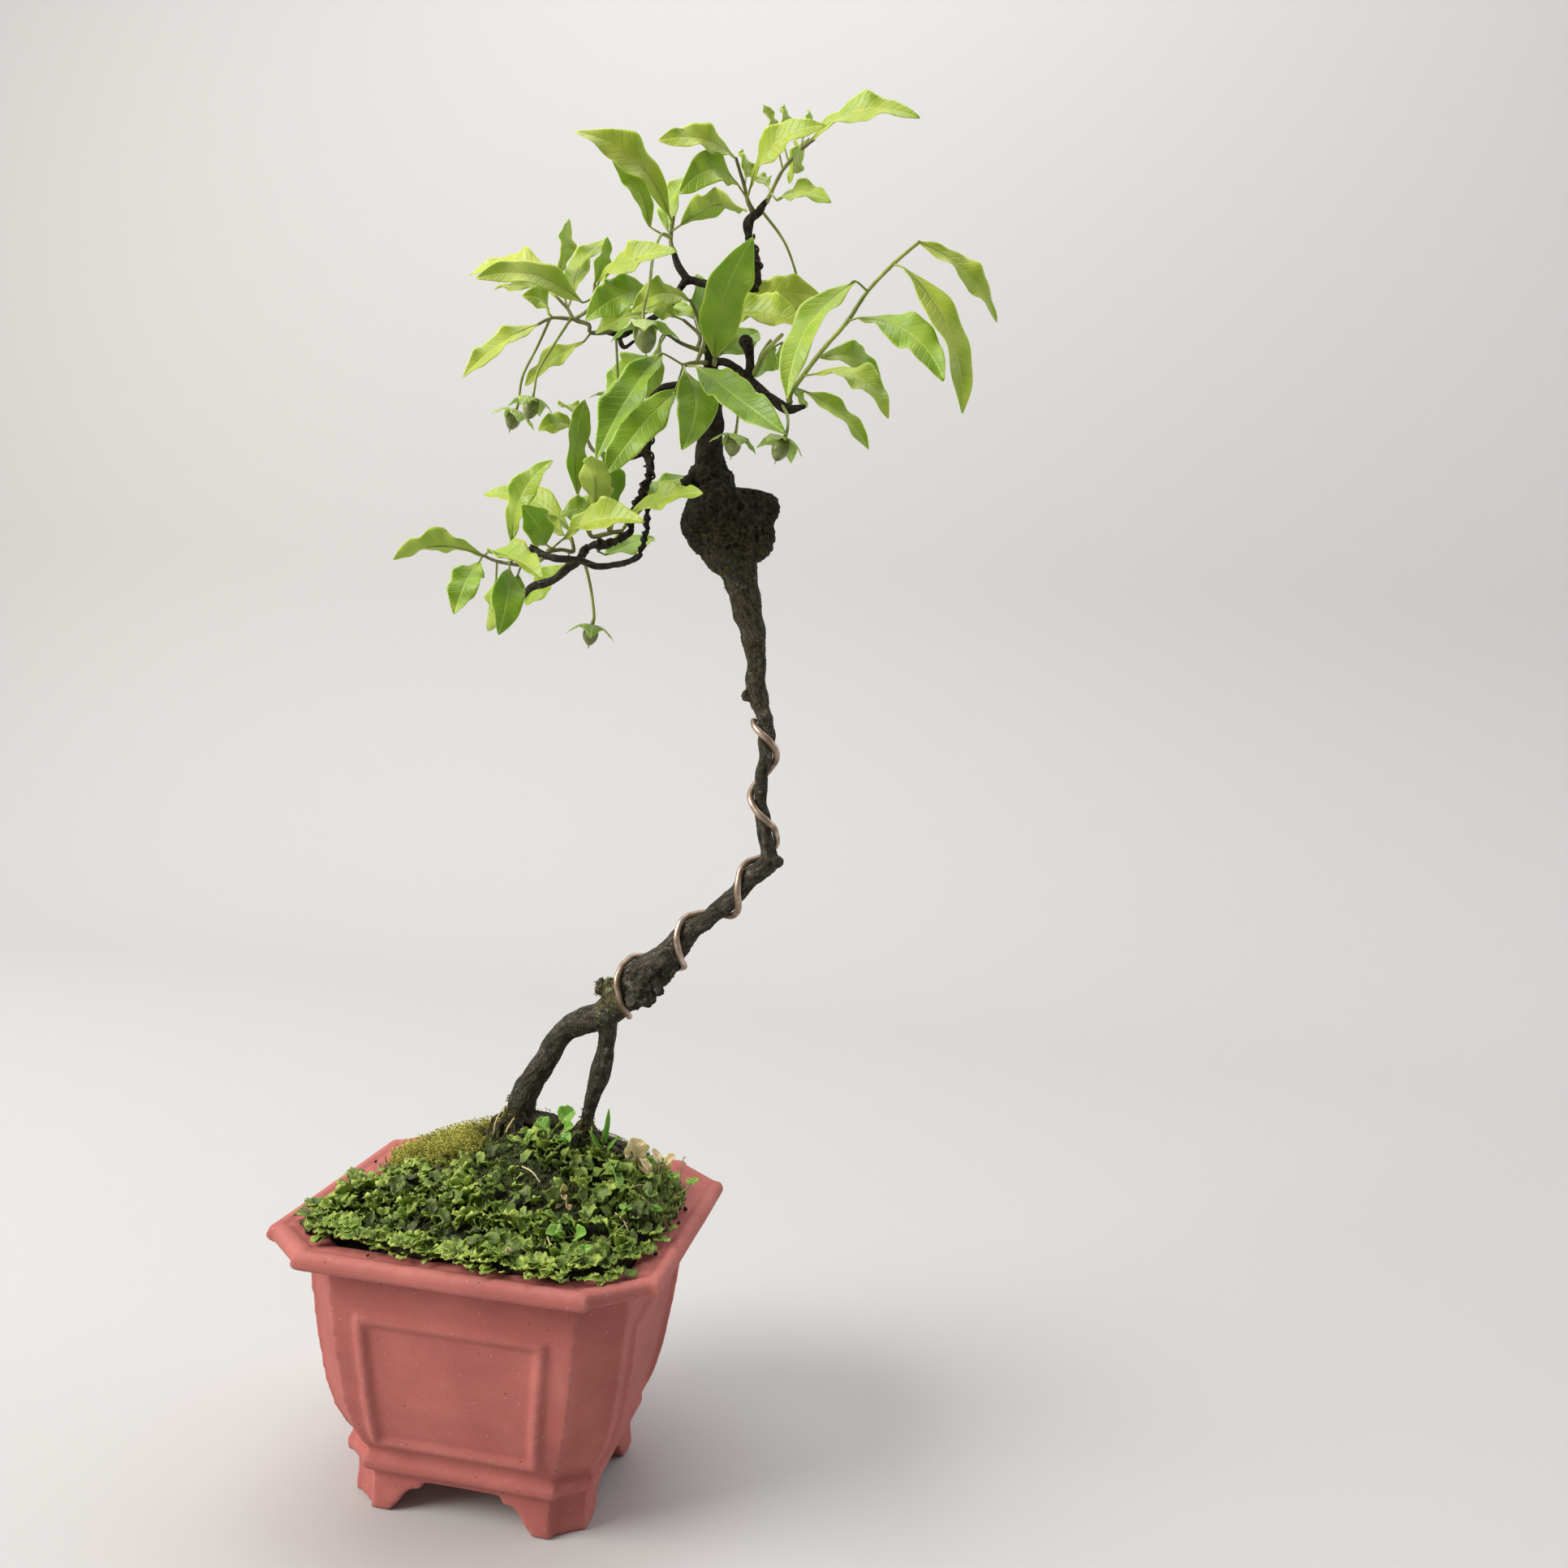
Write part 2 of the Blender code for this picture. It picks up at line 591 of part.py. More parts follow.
# Leafy shoots: twig routes of x, y, z and radius, then leaves as
# stalk root, blade base, tip, width, turn, bow, side and fold
SHOOTS = {
    "shoot_left_low": (
        [[(12, -22, 382, 1.1), (8, -23, 379, 0.9), (2, -24, 378, 0.9), (-7, -24, 379, 0.8),
          (-13, -24, 381, 0.7)]],
        [((-13, -24, 381), (-16, -25, 381), (-45, -34, 377), 12, 130, 2.5, -4, 0.5),
         ((-13, -24, 381), (-13, -27, 378), (-14, -45, 357), 12, 25, 3),
         ((-2, -24, 379), (0, -28, 376), (7, -52, 350), 12, 22, 2),
         ((-7, -24, 379), (-11, -15, 372), (-21, 2, 353), 11, 130, 1),
         ((-12, -24, 381), (-9, -28, 382), (22, -50, 371), 12, 50, 3, 0, 0.6),
         ((-1, -24, 379), (1, -30, 386), (20, -40, 415), 11, 30, 0, -5),
         ((3, -24, 378), (3, -27, 374), (5, -32, 363), 6, 20)]),
    "shoot_left_fork": (
        [[(13, -22, 384, 1.2), (17, -18, 385, 0.9), (20, -14, 385, 1.0), (19, -14, 390, 0.8)]],
        [((20, -14, 386), (16, -10, 394), (-27, 6, 409), 13, 38, 3, 4),
         ((14, -22, 385), (13, -25, 386), (10, -43, 398), 13, 25, 2),
         ((19, -14, 389), (16, -14, 391), (-1, -12, 401), 10, 125, 1),
         ((14, -21, 385), (21, -28, 388), (58, -46, 393), 13, 40, 3, -3, 0.5),
         ((19, -15, 385), (15, -9, 380), (-8, 8, 365), 11, 45, 1)]),
    "shoot_knot": (
        [[(38, -10, 394, 0.9), (34, -11, 393, 1.1), (31, -12, 392, 1.1), (27, -13, 391, 1.0),
          (25, -14, 394, 0.7)],
         [(34, -11, 393, 1.0), (32, -12, 398, 0.6)],
         [(29, -12, 391, 0.9), (29, -8, 390, 0.8), (28, -8, 386, 0.7)]],
        [((33, -11, 393), (34, -18, 397), (18, -25, 397), 12, 42, 4, 1),
         ((32, -12, 397), (32, -26, 399), (37, -46, 416), 13, 150, 2),
         ((34, -11, 393), (36, -14, 401), (30, -16, 424), 11, 50, 2),
         ((27, -13, 391), (23, -20, 406), (22, -14, 443), 12, 40, 2, -4.5),
         ((38, -10, 394), (44, -18, 400), (77, -38, 405), 12, 50, 2, -1),
         ((38, -10, 394), (44, -5, 403), (56, 16, 420), 11, 50, 2, -1.5),
         ((28, -8, 386), (30, -5, 385), (43, 18, 395), 12, 50, 1)]),
    "shoot_left_stub": (
        [[(37, -8, 421, 1.1), (31, -8, 423, 0.9), (24, -7, 425, 0.9), (21, -6, 429, 0.8),
          (19, -6, 433, 0.7), (17, -6, 436, 0.6)]],
        [((21, -6, 429), (16, -8, 434), (5, -18, 430), 10, 38, 3.5),
         ((19, -6, 433), (15, -4, 440), (6, 4, 445), 9, 60, 1)]),
    "shoot_middle": (
        [[(67, 0, 461, 1.2), (64, -8, 459, 1.0), (60, -12, 457, 1.0)],
         [(64, -8, 459, 1.0), (67, -9, 467, 0.9), (66, -13, 471, 0.8), (65, -18, 476, 0.8),
          (64, -22, 478, 0.7)]],
        [((60, -12, 457), (54, -21, 459), (39, -46, 415), 14, 30, 4, 0, 0.5),
         ((60, -12, 457), (63, -20, 453), (69, -40, 420), 15, 18, 3, -3.5),
         ((61, -11, 457), (67, -18, 455), (108, -46, 425), 14, 32, 3, 2),
         ((60, -12, 457), (57, -11, 448), (37, -30, 412), 15, 22, 3),
         ((64, -22, 478), (62, -24, 478), (47, -38, 469), 12, 40, 4, 2)]),
    "shoot_left_top": (
        [[(29, -6, 471, 1.2), (21, -8, 470, 1.0), (20, -8, 473, 1.0), (14, -8, 475, 1.0),
          (11, -8, 479, 0.8), (7, -10, 483, 0.7)],
         [(14, -8, 475, 0.9), (6, -10, 475, 0.8), (1, -12, 472, 0.7)],
         [(14, -8, 475, 0.9), (20, -10, 478, 0.8), (23, -12, 482, 0.8), (23, -12, 487, 0.7)]],
        [((1, -12, 472), (-2, -13, 472), (-21, -30, 447), 10, 50, 3),
         ((7, -10, 483), (6, -9.5, 484.5), (-38, 8, 497), 13, 45, 5, 7),
         ((6, -10, 475), (5, -13, 476), (0, -27, 478), 11, 50, 4),
         ((11, -8, 479), (5, -3, 494), (4, 8, 519), 9, 50, 1, -1),
         ((11, -8, 479), (11, -2, 487), (17, 18, 515), 11, 45, 1, -4),
         ((23, -12, 482), (20, -16, 479), (-11, -44, 479), 13, 40, 5, 3),
         ((23, -12, 487), (23, -13, 489), (28, -14, 504), 9, 50, 1),
         ((23, -12, 484), (28, -20, 486), (64, -42, 489), 12, 48, 4),
         ((21, -8, 470), (19, -10, 466), (-1, -18, 447), 10, 55, 2)]),
    "shoot_spur": (
        [[(67, 0, 465, 1.3), (63, -4, 465, 1.1), (59, -6, 466, 0.9), (56, -8, 467, 0.8), (51, -9, 470, 0.8)],
         [(63, -4, 465, 1.0), (63, -2, 471, 0.9), (57, -4, 476, 0.7)]],
        [((57, -4, 476), (54, -5, 477), (41, -8, 482), 11, 42, 1),
         ((63, -2, 471), (58, 7, 480), (45, 16, 488), 10, 55, 1),
         ((63, -2, 470), (62, 5, 474), (56, 16, 500), 12, 45, 2),
         ((51, -9, 470), (50, -11, 467), (50, -26, 441), 8, 55, 1),
         ((52, -9, 470), (44, -2, 462), (20, 16, 454), 13, 43, 2)]),
    "shoot_left_pair": (
        [[(53, 1, 489, 1.3), (53, -2, 487, 1.1), (51, -3, 484, 1.0)]],
        [((53, -2, 487), (47, -12, 485), (26, -28, 469), 15, 30, 4, 1),
         ((51, -3, 484), (42, -6, 478), (25, -14, 468), 11, 47, 2)]),
    "shoot_crown_left": (
        [[(50, 0, 503, 1.3), (49, 0, 507, 1.0), (49, 0, 511, 0.9), (50, -1, 516, 0.6)]],
        [((50, -1, 513), (49, -5, 516), (18, -26, 538), 15, 36, 4, 5),
         ((49, 0, 508), (41, -2, 512), (23, -14, 539), 11, 32, 3, 3),
         ((49, 0, 510), (46, 4, 513), (51, 16, 539), 12, 45, 2, -2),
         ((49, 0, 511), (54, -4, 512), (85, -27, 508), 13, 130, 5, 1)]),
    "shoot_crown": (
        [[(81, 0, 518, 1.3), (79, -2, 522, 1.0), (78, -3, 526, 0.9), (75, -7, 535, 0.7)]],
        [((75, -7, 535), (73, -8, 535), (50, -26, 534), 12, 50, 5),
         ((79, -2, 522), (76, -5, 526), (59, -26, 515), 14, 30, 6, 4),
         ((78, -3, 526), (77, 2, 532), (73, 12, 545), 9, 55, 1),
         ((79, -2, 522), (81, -6, 525), (112, -26, 538), 12, 45, 5, -4)]),
    "shoot_crown_right": (
        [[(86, 1, 522, 1.2), (87, 3, 526, 1.0), (91, 4, 535, 0.9), (97, 6, 543, 0.9), (102, 6, 547, 0.7)]],
        [((87, 3, 526), (85, 6, 530), (77, 14, 537), 8, 60, 1),
         ((101, 6, 547), (104, 6, 547), (144, -10, 547), 12, 48, 6, -3),
         ((87, 3, 526), (91, -3, 521), (114, -16, 515), 10, 55, 4),
         ((91, 4, 535), (88, 2, 546), (83, -2, 557), 7, 62, 1),
         ((93, 5, 538), (89, 8, 549), (88, 16, 564), 9, 50, 1),
         ((97, 6, 543), (97, 11, 551), (97, 20, 564), 7, 62, 1),
         ((97, 6, 543), (99, 12, 550), (90, 22, 537), 9, 60, 1),
         ((95, 5, 541), (97, -2, 543), (99, -16, 526), 9, 65, 1)]),
    "leaf_centre": (
        [[(69, 0, 460, 1.2), (72, -11, 460, 0.9)]],
        [((72, -11, 460), (73, -13, 461), (89, -32, 497), 17, 15, 3, -4.5)]),
    "leaf_right_high": (
        [[(72, 2, 481, 1.2), (74, 9, 484, 0.9)]],
        [((74, 9, 484), (76, 9, 484), (109, 17, 490), 15, 32, 3, -3)]),
    "leaf_right_middle": (
        [[(70, 0, 476, 1.2), (74, -4, 477, 0.9)]],
        [((74, -4, 477), (76, -4, 477), (106, -15, 471), 14, 38, 3, -2, 0.5)]),
    "leaf_right_back": (
        [[(68, 1, 463, 1.2), (70, 5, 466, 0.9)]],
        [((70, 5, 466), (71, 6, 466), (82, 18, 478), 13, 30, 1)]),
    "shoot_right_young": (
        [[(86, -4, 456, 1.4), (91, -9, 463, 1.1), (98, -14, 468, 0.8)],
         [(88, -6, 459, 1.0), (87, 2, 465, 0.8), (89, 8, 472, 0.7)]],
        [((89, 8, 472), (88, 9, 472), (81, 22, 461), 10, 45, 2),
         ((87, 2, 465), (94, 7, 471), (91, 14, 462), 8, 55, 1)]),
    "shoot_right_long": (
        [[(101, -7, 445, 1.5), (101, -7, 448, 1.3), (106, -10, 454, 1.1), (114, -14, 463, 1.0),
          (123, -18, 472, 1.0), (130, -20, 482, 0.9), (139, -22, 491, 0.9), (148, -24, 498, 0.7)]],
        [((130, -20, 482), (126, -25, 484), (108, -48, 437), 13, 35, 4, 5),
         ((123, -18, 472), (128, -22, 472), (161, -38, 446), 14, 36, 3, -5),
         ((139, -22, 491), (143, -24, 489), (168, -34, 436), 13, 40, 4, -5),
         ((148, -24, 498), (150, -24, 497), (177, -14, 473), 11, 48, 3, -3),
         ((106, -10, 454), (111, -13, 454), (141, -24, 436), 12, 46, 5, -5),
         ((110, -12, 458), (111, -3, 463), (133, 16, 456), 12, 45, 4, -4),
         ((103, -8, 450), (106, -3, 450), (131, 3, 430), 10, 48, 3, -1),
         ((101, -7, 448), (101, 0, 451), (105, 10, 447), 6, 55)]),
}

# Fruits: stalk route, berry centre, berry radius, how far the calyx is spun, and the shoot it hangs from
FRUITS = {
    "fruit_low": (
        [(24, -14, 383, 0.9), (28, -16, 373, 0.8), (31, -18, 361, 0.8)], (30, -18, 353), 3.0, 20, None),
    "fruit_left": (
        [(13, -9, 475, 0.8), (9, -17, 462, 0.7), (6, -23, 451, 0.7), (6, -26, 443, 0.7)],
        (5, -26, 437), 3.0, 0, "shoot_left_top"),
    "fruit_far_left": (
        [(5, -10, 475, 0.8), (-1, -8, 464, 0.7), (-8, -4, 454, 0.7), (-11, 0, 445, 0.7)],
        (-13, 0, 438), 3.0, 40, "shoot_left_top"),
    "fruit_inner_left": (
        [(30, -5, 471, 0.8), (32, -8, 461, 0.7), (33, -8, 449, 0.7)], (31, -8, 443), 3.0, 10, None),
    "fruit_right": (
        [(79, -3, 458, 0.8), (82, -8, 449, 0.7), (83, -14, 442, 0.7), (84, -20, 433, 0.7)],
        (83, -20, 426), 3.0, 30, None),
    "fruit_far_right": (
        [(98, -7, 444, 0.9), (103, -20, 437, 0.8), (105, -29, 430, 0.8)], (103, -30, 423), 3.2, 45, None),
    "fruit_front": (
        [(49, 0, 509, 0.9), (48, -10, 506, 0.8), (50, -25, 493, 0.8), (53, -37, 481, 0.8),
         (54, -46, 467, 0.8)],
        (55, -46, 458), 4.0, 15, "shoot_crown_left"),
    "fruit_top_right": (
        [(84, 1, 519, 0.9), (90, 10, 513, 0.8), (93, 16, 508, 0.7), (96, 22, 499, 0.7)],
        (98, 22, 490), 3.0, 25, None),
}


def make_calyx(place, upward, radius, spin):
    # four lobes in one, drooping like a parasol over the berry
    bm = bmesh.new()
    bmesh.ops.create_circle(bm, cap_ends=True, cap_tris=True, segments=16, radius=1.0)
    spokes = []
    for vert in bm.verts:
        reach = vert.co.length
        if reach < 0.5:
            continue
        step = round(math.degrees(math.atan2(vert.co.y, vert.co.x)) / 22.5) % 4
        vert.co *= (3.1, 2.1, 0.6, 2.1)[step]
        if step == 0:
            spokes += [edge for edge in vert.link_edges if edge.other_vert(vert).co.length < 0.5]
    bmesh.ops.subdivide_edges(bm, edges=spokes, cuts=1)
    for vert in bm.verts:
        vert.co *= radius
        vert.co.z = -0.25 * vert.co.length_squared / radius
    bmesh.ops.scale(bm, verts=bm.verts, vec=Vector((MM, MM, MM)))
    bmesh.ops.triangulate(bm, faces=bm.faces[:])
    bmesh.ops.solidify(bm, geom=bm.faces[:], thickness=BLADE_THICK * MM)
    spun = Matrix.Rotation(math.radians(spin), 4, "Z")
    leaning = upward.to_track_quat("Z", "Y").to_matrix().to_4x4()
    bmesh.ops.transform(bm, verts=bm.verts, matrix=Matrix.Translation(place * MM) @ leaning @ spun)
    return add_object("calyx", bm, FRUIT)


def make_fruit(name, route, berry, radius, spin, seat):
    centre = Vector(berry)
    upward = (Vector(route[-1][:3]) - centre).normalized()
    calyx = centre + upward * (radius * 1.3)
    stalk = twig(route + [(*(centre + upward * radius * 0.5), route[-1][3])], FRUIT)
    pieces = [make_calyx(calyx, upward, radius, spin)]
    bm = bmesh.new()
    bmesh.ops.create_uvsphere(bm, u_segments=7, v_segments=4, radius=radius * MM)
    bmesh.ops.rotate(bm, verts=bm.verts, matrix=upward.to_track_quat("Z", "Y").to_matrix())
    tip_down = -upward
    for vert in bm.verts:
        lean = max(0.0, vert.co.normalized().dot(tip_down) - 0.8)
        vert.co += tip_down * lean * 5 * radius * 0.35 * MM
        vert.co += centre * MM
    pieces.append(add_object("berry", bm, FRUIT))
    boolean(stalk, pieces, "UNION", FRUIT)
    cuts = [BARK_CLEARANCE]
    if seat:
        cuts += [tube("seat", row, FRUIT, 4, CUTTERS, SEAT_GAP) for row in SHOOTS[seat][0]]
    boolean(stalk, cuts, "DIFFERENCE", FRUIT, keep_others=True)
    for cut in cuts[1:]:
        bpy.data.objects.remove(cut, do_unlink=True)
    stalk.name = name
    stalk.data.name = name
    keep_main_body(stalk)
    smooth_look(stalk, 50)
    return stalk


# Ground cover: sheets that follow the soil, and small plants whose stalks stand in holes

def cover_height(x, y):
    height = mound(x, y)
    if abs(x) > 55 or abs(y) > 47 or abs(x) + abs(y) > 96:
        height = max(height, 116.4)
    return height


GRID_CELLS = (13, 12)
GRID_REACH = (81.0, 75.6)


def ground_grid(bm, height_of):
    # one grid for the soil and for every sheet on it, so that their triangles lie parallel
    bmesh.ops.create_grid(bm, x_segments=GRID_CELLS[0], y_segments=GRID_CELLS[1], size=1.0)
    for vert in bm.verts:
        x, y = vert.co.x * GRID_REACH[0], vert.co.y * GRID_REACH[1]
        vert.co = Vector((x, y, height_of(x, y))) * MM
    bmesh.ops.triangulate(bm, faces=bm.faces[:], quad_method="FIXED")


def sheet(name, outline, thick, rise, material):
    # outline: x, y points; thick at the edge, with rise more in the middle
    bm = bmesh.new()
    ground_grid(bm, cover_height)
    pushed = bmesh.ops.extrude_face_region(bm, geom=bm.faces[:])
    middle = sum((Vector((x, y, 0)) for x, y in outline), Vector()) / len(outline)
    reach = sum((Vector((x, y, 0)) - middle).length for x, y in outline) / len(outline)
    top = set(item for item in pushed["geom"] if isinstance(item, bmesh.types.BMVert))
    for vert in bm.verts:
        spot = Vector((vert.co.x, vert.co.y, 0)) / MM - middle
        swell = max(0.0, 1 - (spot.length / reach) ** 2)
        vert.co.z += (SEAT_GAP + (thick + rise * swell if vert in top else 0.0)) * MM
    made = add_object(name, bm, material)
    rows = [(z, outline) for z in (90.0, 170.0)]
    return boolean(made, [loft("outline", rows, material)], "INTERSECT", material)


LIVERWORT_OUTLINE = [
    (-71, -40), (-52, -57), (-36, -56), (-19, -62), (-8, -64), (0, -58), (9, -64), (26, -65), (38, -63),
    (51, -62), (60, -56), (66, -46), (67, -32), (72, -18), (69, -4), (67, 6), (66, 22), (60, 34), (51, 31),
    (44, 19), (32, 16), (20, 16), (8, 14), (0, 8), (-6, 1), (-12, -5), (-26, -16), (-40, -4), (-58, -4),
    (-73, 2), (-68, -12), (-66, -26),
]
MOSS_OUTLINE = [
    (-55, 6), (-40, 0), (-24, -10), (-14, 0), (-16, 14), (-18, 30), (-6, 38), (6, 42), (2, 50), (-16, 53),
    (-36, 50), (-54, 44), (-64, 34), (-66, 18),
]

# Thalli: flat forked ribbons of the liverwort, as base, tip and width, laid on the mat's edge
THALLI = [
    ((-60, -34), (-72, -44), 11), ((-46, -46), (-50, -61), 11), ((-24, -48), (-26, -66), 12),
    ((0, -50), (0, -66), 11), ((22, -54), (23, -69), 12), ((42, -50), (46, -67), 12),
    ((58, -40), (70, -48), 10), ((60, -22), (74, -24), 10), ((-58, -14), (-73, -20), 10),
    ((-28, -20), (-36, -34), 9),
]


def sheet_height(x, y):
    # height of the sheets' grid between its corners
    size_x = 2 * GRID_REACH[0] / GRID_CELLS[0]
    size_y = 2 * GRID_REACH[1] / GRID_CELLS[1]
    left = math.floor((x + GRID_REACH[0]) / size_x) * size_x - GRID_REACH[0]
    front = math.floor((y + GRID_REACH[1]) / size_y) * size_y - GRID_REACH[1]
    across = (x - left) / size_x
    deep = (y - front) / size_y
    near = cover_height(left, front) * (1 - across) + cover_height(left + size_x, front) * across
    far = cover_height(left, front + size_y) * (1 - across)
    far += cover_height(left + size_x, front + size_y) * across
    return near * (1 - deep) + far * deep


def thallus(base, tip, width):
    low = Vector((*base, sheet_height(*base) + 2.2))
    high = Vector((*tip, sheet_height(*tip) + 3.4))
    return blade(low, low, high, width, bow=1.2, fold=0.16, wave=0.1, shape=ROUND_SHAPE,
                 material=LIVERWORT, facing=Vector((0, 0, 1)))


# Small plants: foot x, y; then leaves as for the shoots, with the stalk root at the top of the stem
PLANTS = {
    "sorrel_back": (
        (14, 8), HERB, 143,
        [((14, 8, 142), (16, 12, 148), (21, 15, 152.5), 8, 30),
         ((14, 8, 142), (11, 11, 144), (5, 12, 146.5), 7, 30),
         ((14, 8, 142), (18, 2, 144), (25, 0, 144.5), 7, 60)]),
    "sorrel_front": (
        (41, -37), HERB, 123,
        [((41, -37, 122), (39, -43, 124), (33, -46, 126), 8, 60),
         ((41, -37, 122), (43, -41, 124), (48, -43, 127), 6, 40)]),
    "bud_sprig": (
        (33, -24), STRAW, 132,
        [((33, -24, 131), (32, -26, 133), (35, -31, 132), 4, 30),
         ((33, -24, 132), (31, -26, 135), (33, -28, 141), 6, 30)]),
    "grass_blade": (
        (36, 10), HERB, 139,
        [((36, 10, 138), (36, 10, 142), (38, 9.5, 157), 3, 30)]),
    "broad_blade": (
        (42, 5), HERB, 136,
        [((42, 5, 135), (43, 4, 137.5), (54, -12, 130), 5, 50)]),
    "dead_leaf": (
        (51, 11), STRAW, 134,
        [((51, 11, 133), (51, 11, 135), (48, 12, 145), 11, 15)]),
    "straw_sprig": (
        (61, 9), STRAW, 130,
        [((61, 9, 129), (60, 13, 135), (56, 16, 140), 4, 30),
         ((61, 9, 129), (63, 11, 136), (67, 12, 140), 4, 30)]),
}


def make_plant(name, foot, material, top, leaves):
    x, y = foot
    stem = [(x, y, mound(x, y) - 4.0, 0.75), (x, y, top, 0.75)]
    plant = twig(stem, material)
    blades = [blade(*leaf, material=material) for leaf in leaves]
    boolean(plant, blades, "UNION", material)
    plant.name = name
    plant.data.name = name
    keep_main_body(plant)
    smooth_look(plant, 50)
    return plant


def foot_hole(x, y):
    low = mound(x, y)
    return round_cutter(x, y, 1.15, low - 6.0, low + 16.0, 6)


# Build

make_trunk()
BARK_CLEARANCE = make_bark_clearance()
bark = BVHTree.FromObject(PART.objects["trunk"], bpy.context.evaluated_depsgraph_get())

make_pot()
for number, x in enumerate(DRAIN_PLACES):
    make_drain_screen(number + 1, x)

holes = [foot_hole(*plant[0]) for plant in PLANTS.values()]
soil = make_soil()
boolean(soil, holes + [BARK_CLEARANCE], "DIFFERENCE", SOIL, keep_others=True)
keep_main_body(soil)
smooth_look(soil, 50)

moss = sheet("moss_cushion", MOSS_OUTLINE, 1.4, 3.0, MOSS)
boolean(moss, holes + [BARK_CLEARANCE], "DIFFERENCE", MOSS, keep_others=True)
keep_main_body(moss)
smooth_look(moss, 50)

liverwort = sheet("liverwort", LIVERWORT_OUTLINE, 1.2, 0.8, LIVERWORT)
boolean(liverwort, [thallus(*row) for row in THALLI], "UNION", LIVERWORT)
boolean(liverwort, holes + [BARK_CLEARANCE], "DIFFERENCE", LIVERWORT, keep_others=True)
keep_main_body(liverwort)
smooth_look(liverwort, 50)

for name, row in PLANTS.items():
    make_plant(name, *row)

# places where the training wire crosses the front of the stem, as shares of the stem's length
TRAINING_TURNS = [0.170, 0.240, 0.312, 0.386, 0.4615, 0.528, 0.590]
coil("training_wire", STEM, TRAINING_TURNS, WIRE_RADIUS, COIL_GAP, 0.8, 5.25, 11, WIRE, bark)
BRANCH_TURNS = [0.20, 0.25, 0.31, 0.36, 0.42, 0.48, 0.54, 0.60, 0.66]
coil("wire_branch", LOW_BRANCH, BRANCH_TURNS, THIN_WIRE_RADIUS, THIN_COIL_GAP, 0.3, 6.1, 7, DARK_WIRE,
     bark, 4)
TOP_TURNS = [0.915, 0.930, 0.945, 0.958, 0.970]
coil("wire_top", STEM, TOP_TURNS, THIN_WIRE_RADIUS, THIN_COIL_GAP, 0.3, 3.8, 7, DARK_WIRE, bark, 4)

for name, (twigs, leaves) in SHOOTS.items():
    spray(name, twigs, leaves)
for name, row in FRUITS.items():
    make_fruit(name, *row)

for cutter in list(CUTTERS.objects):
    bpy.data.objects.remove(cutter, do_unlink=True)

# the middle of the tree's box, at the bottom, becomes the origin
corners = [vert.co for made in PART.objects for vert in made.data.vertices]
shift = Vector((
    -(min(c.x for c in corners) + max(c.x for c in corners)) / 2,
    -(min(c.y for c in corners) + max(c.y for c in corners)) / 2,
    -min(c.z for c in corners),
))
for made in PART.objects:
    made.data.transform(Matrix.Translation(shift))
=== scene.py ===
import functools
import math
import random

import bmesh
import bpy
import numpy as np
from mathutils import Matrix, Vector, noise
from mathutils.bvhtree import BVHTree
from mathutils.kdtree import KDTree


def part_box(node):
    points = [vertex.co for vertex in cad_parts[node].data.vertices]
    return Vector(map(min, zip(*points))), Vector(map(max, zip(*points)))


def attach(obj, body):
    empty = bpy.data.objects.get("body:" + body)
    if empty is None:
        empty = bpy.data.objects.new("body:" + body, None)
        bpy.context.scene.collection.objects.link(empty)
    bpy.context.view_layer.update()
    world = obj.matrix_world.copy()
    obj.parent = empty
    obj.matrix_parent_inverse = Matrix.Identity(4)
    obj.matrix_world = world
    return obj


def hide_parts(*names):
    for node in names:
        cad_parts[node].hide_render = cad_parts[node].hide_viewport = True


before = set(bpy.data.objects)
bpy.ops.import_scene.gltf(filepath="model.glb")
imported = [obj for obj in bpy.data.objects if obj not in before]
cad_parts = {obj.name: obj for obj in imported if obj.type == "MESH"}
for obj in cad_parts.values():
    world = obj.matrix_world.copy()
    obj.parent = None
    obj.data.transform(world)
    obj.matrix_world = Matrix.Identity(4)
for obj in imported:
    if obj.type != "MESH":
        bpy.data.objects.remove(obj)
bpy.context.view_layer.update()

# Everything is laid out in millimetres, from the floor under the pot's middle, as in the part's source:
# X to the right along the pot's front, Y to the back, Z up
mm = 0.001
potLow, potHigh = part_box("pot")
origin = Vector(((potLow.x + potHigh.x) / 2, (potLow.y + potHigh.y) / 2, potLow.z))
frontPlace = Vector((194.0, -486.0, 336.0))  # a leaf's turn is counted from here
print("frame loaded, pot's middle at", [round(c, 4) for c in origin])


# Colours and nodes

def colour(hexValue):
    # sRGB hex to the linear colour that a shader wants
    channels = [int(hexValue[i:i + 2], 16) / 255 for i in (1, 3, 5)]
    return (*[c / 12.92 if c <= 0.04045 else ((c + 0.055) / 1.055) ** 2.4 for c in channels], 1.0)


def addNode(material, kind, inputs=None, stops=None, **settings):
    # inputs: socket name or number with its value, a hex colour, or the node or output that feeds it
    tree = material.node_tree
    node = tree.nodes.new("ShaderNode" + kind)
    for name, value in settings.items():
        setattr(node, name, value)
    for name, value in (inputs or {}).items():
        if isinstance(value, bpy.types.Node):
            value = value.outputs[0]
        if isinstance(value, bpy.types.NodeSocket):
            tree.links.new(value, node.inputs[name])
        else:
            node.inputs[name].default_value = colour(value) if isinstance(value, str) else value
    for number, (place, hexValue) in enumerate(stops or []):
        ramp = node.color_ramp.elements
        stop = ramp[number] if number < 2 else ramp.new(place)
        stop.position = place
        stop.color = colour(hexValue)
    return node


def newMaterial(name, roughness, **sockets):
    material = bpy.data.materials.new(name)
    material.use_nodes = True
    shader = material.node_tree.nodes["Principled BSDF"]
    shader.inputs["Roughness"].default_value = roughness
    for socketName, value in sockets.items():
        shader.inputs[socketName.replace("_", " ")].default_value = value
    return material, shader, functools.partial(addNode, material)


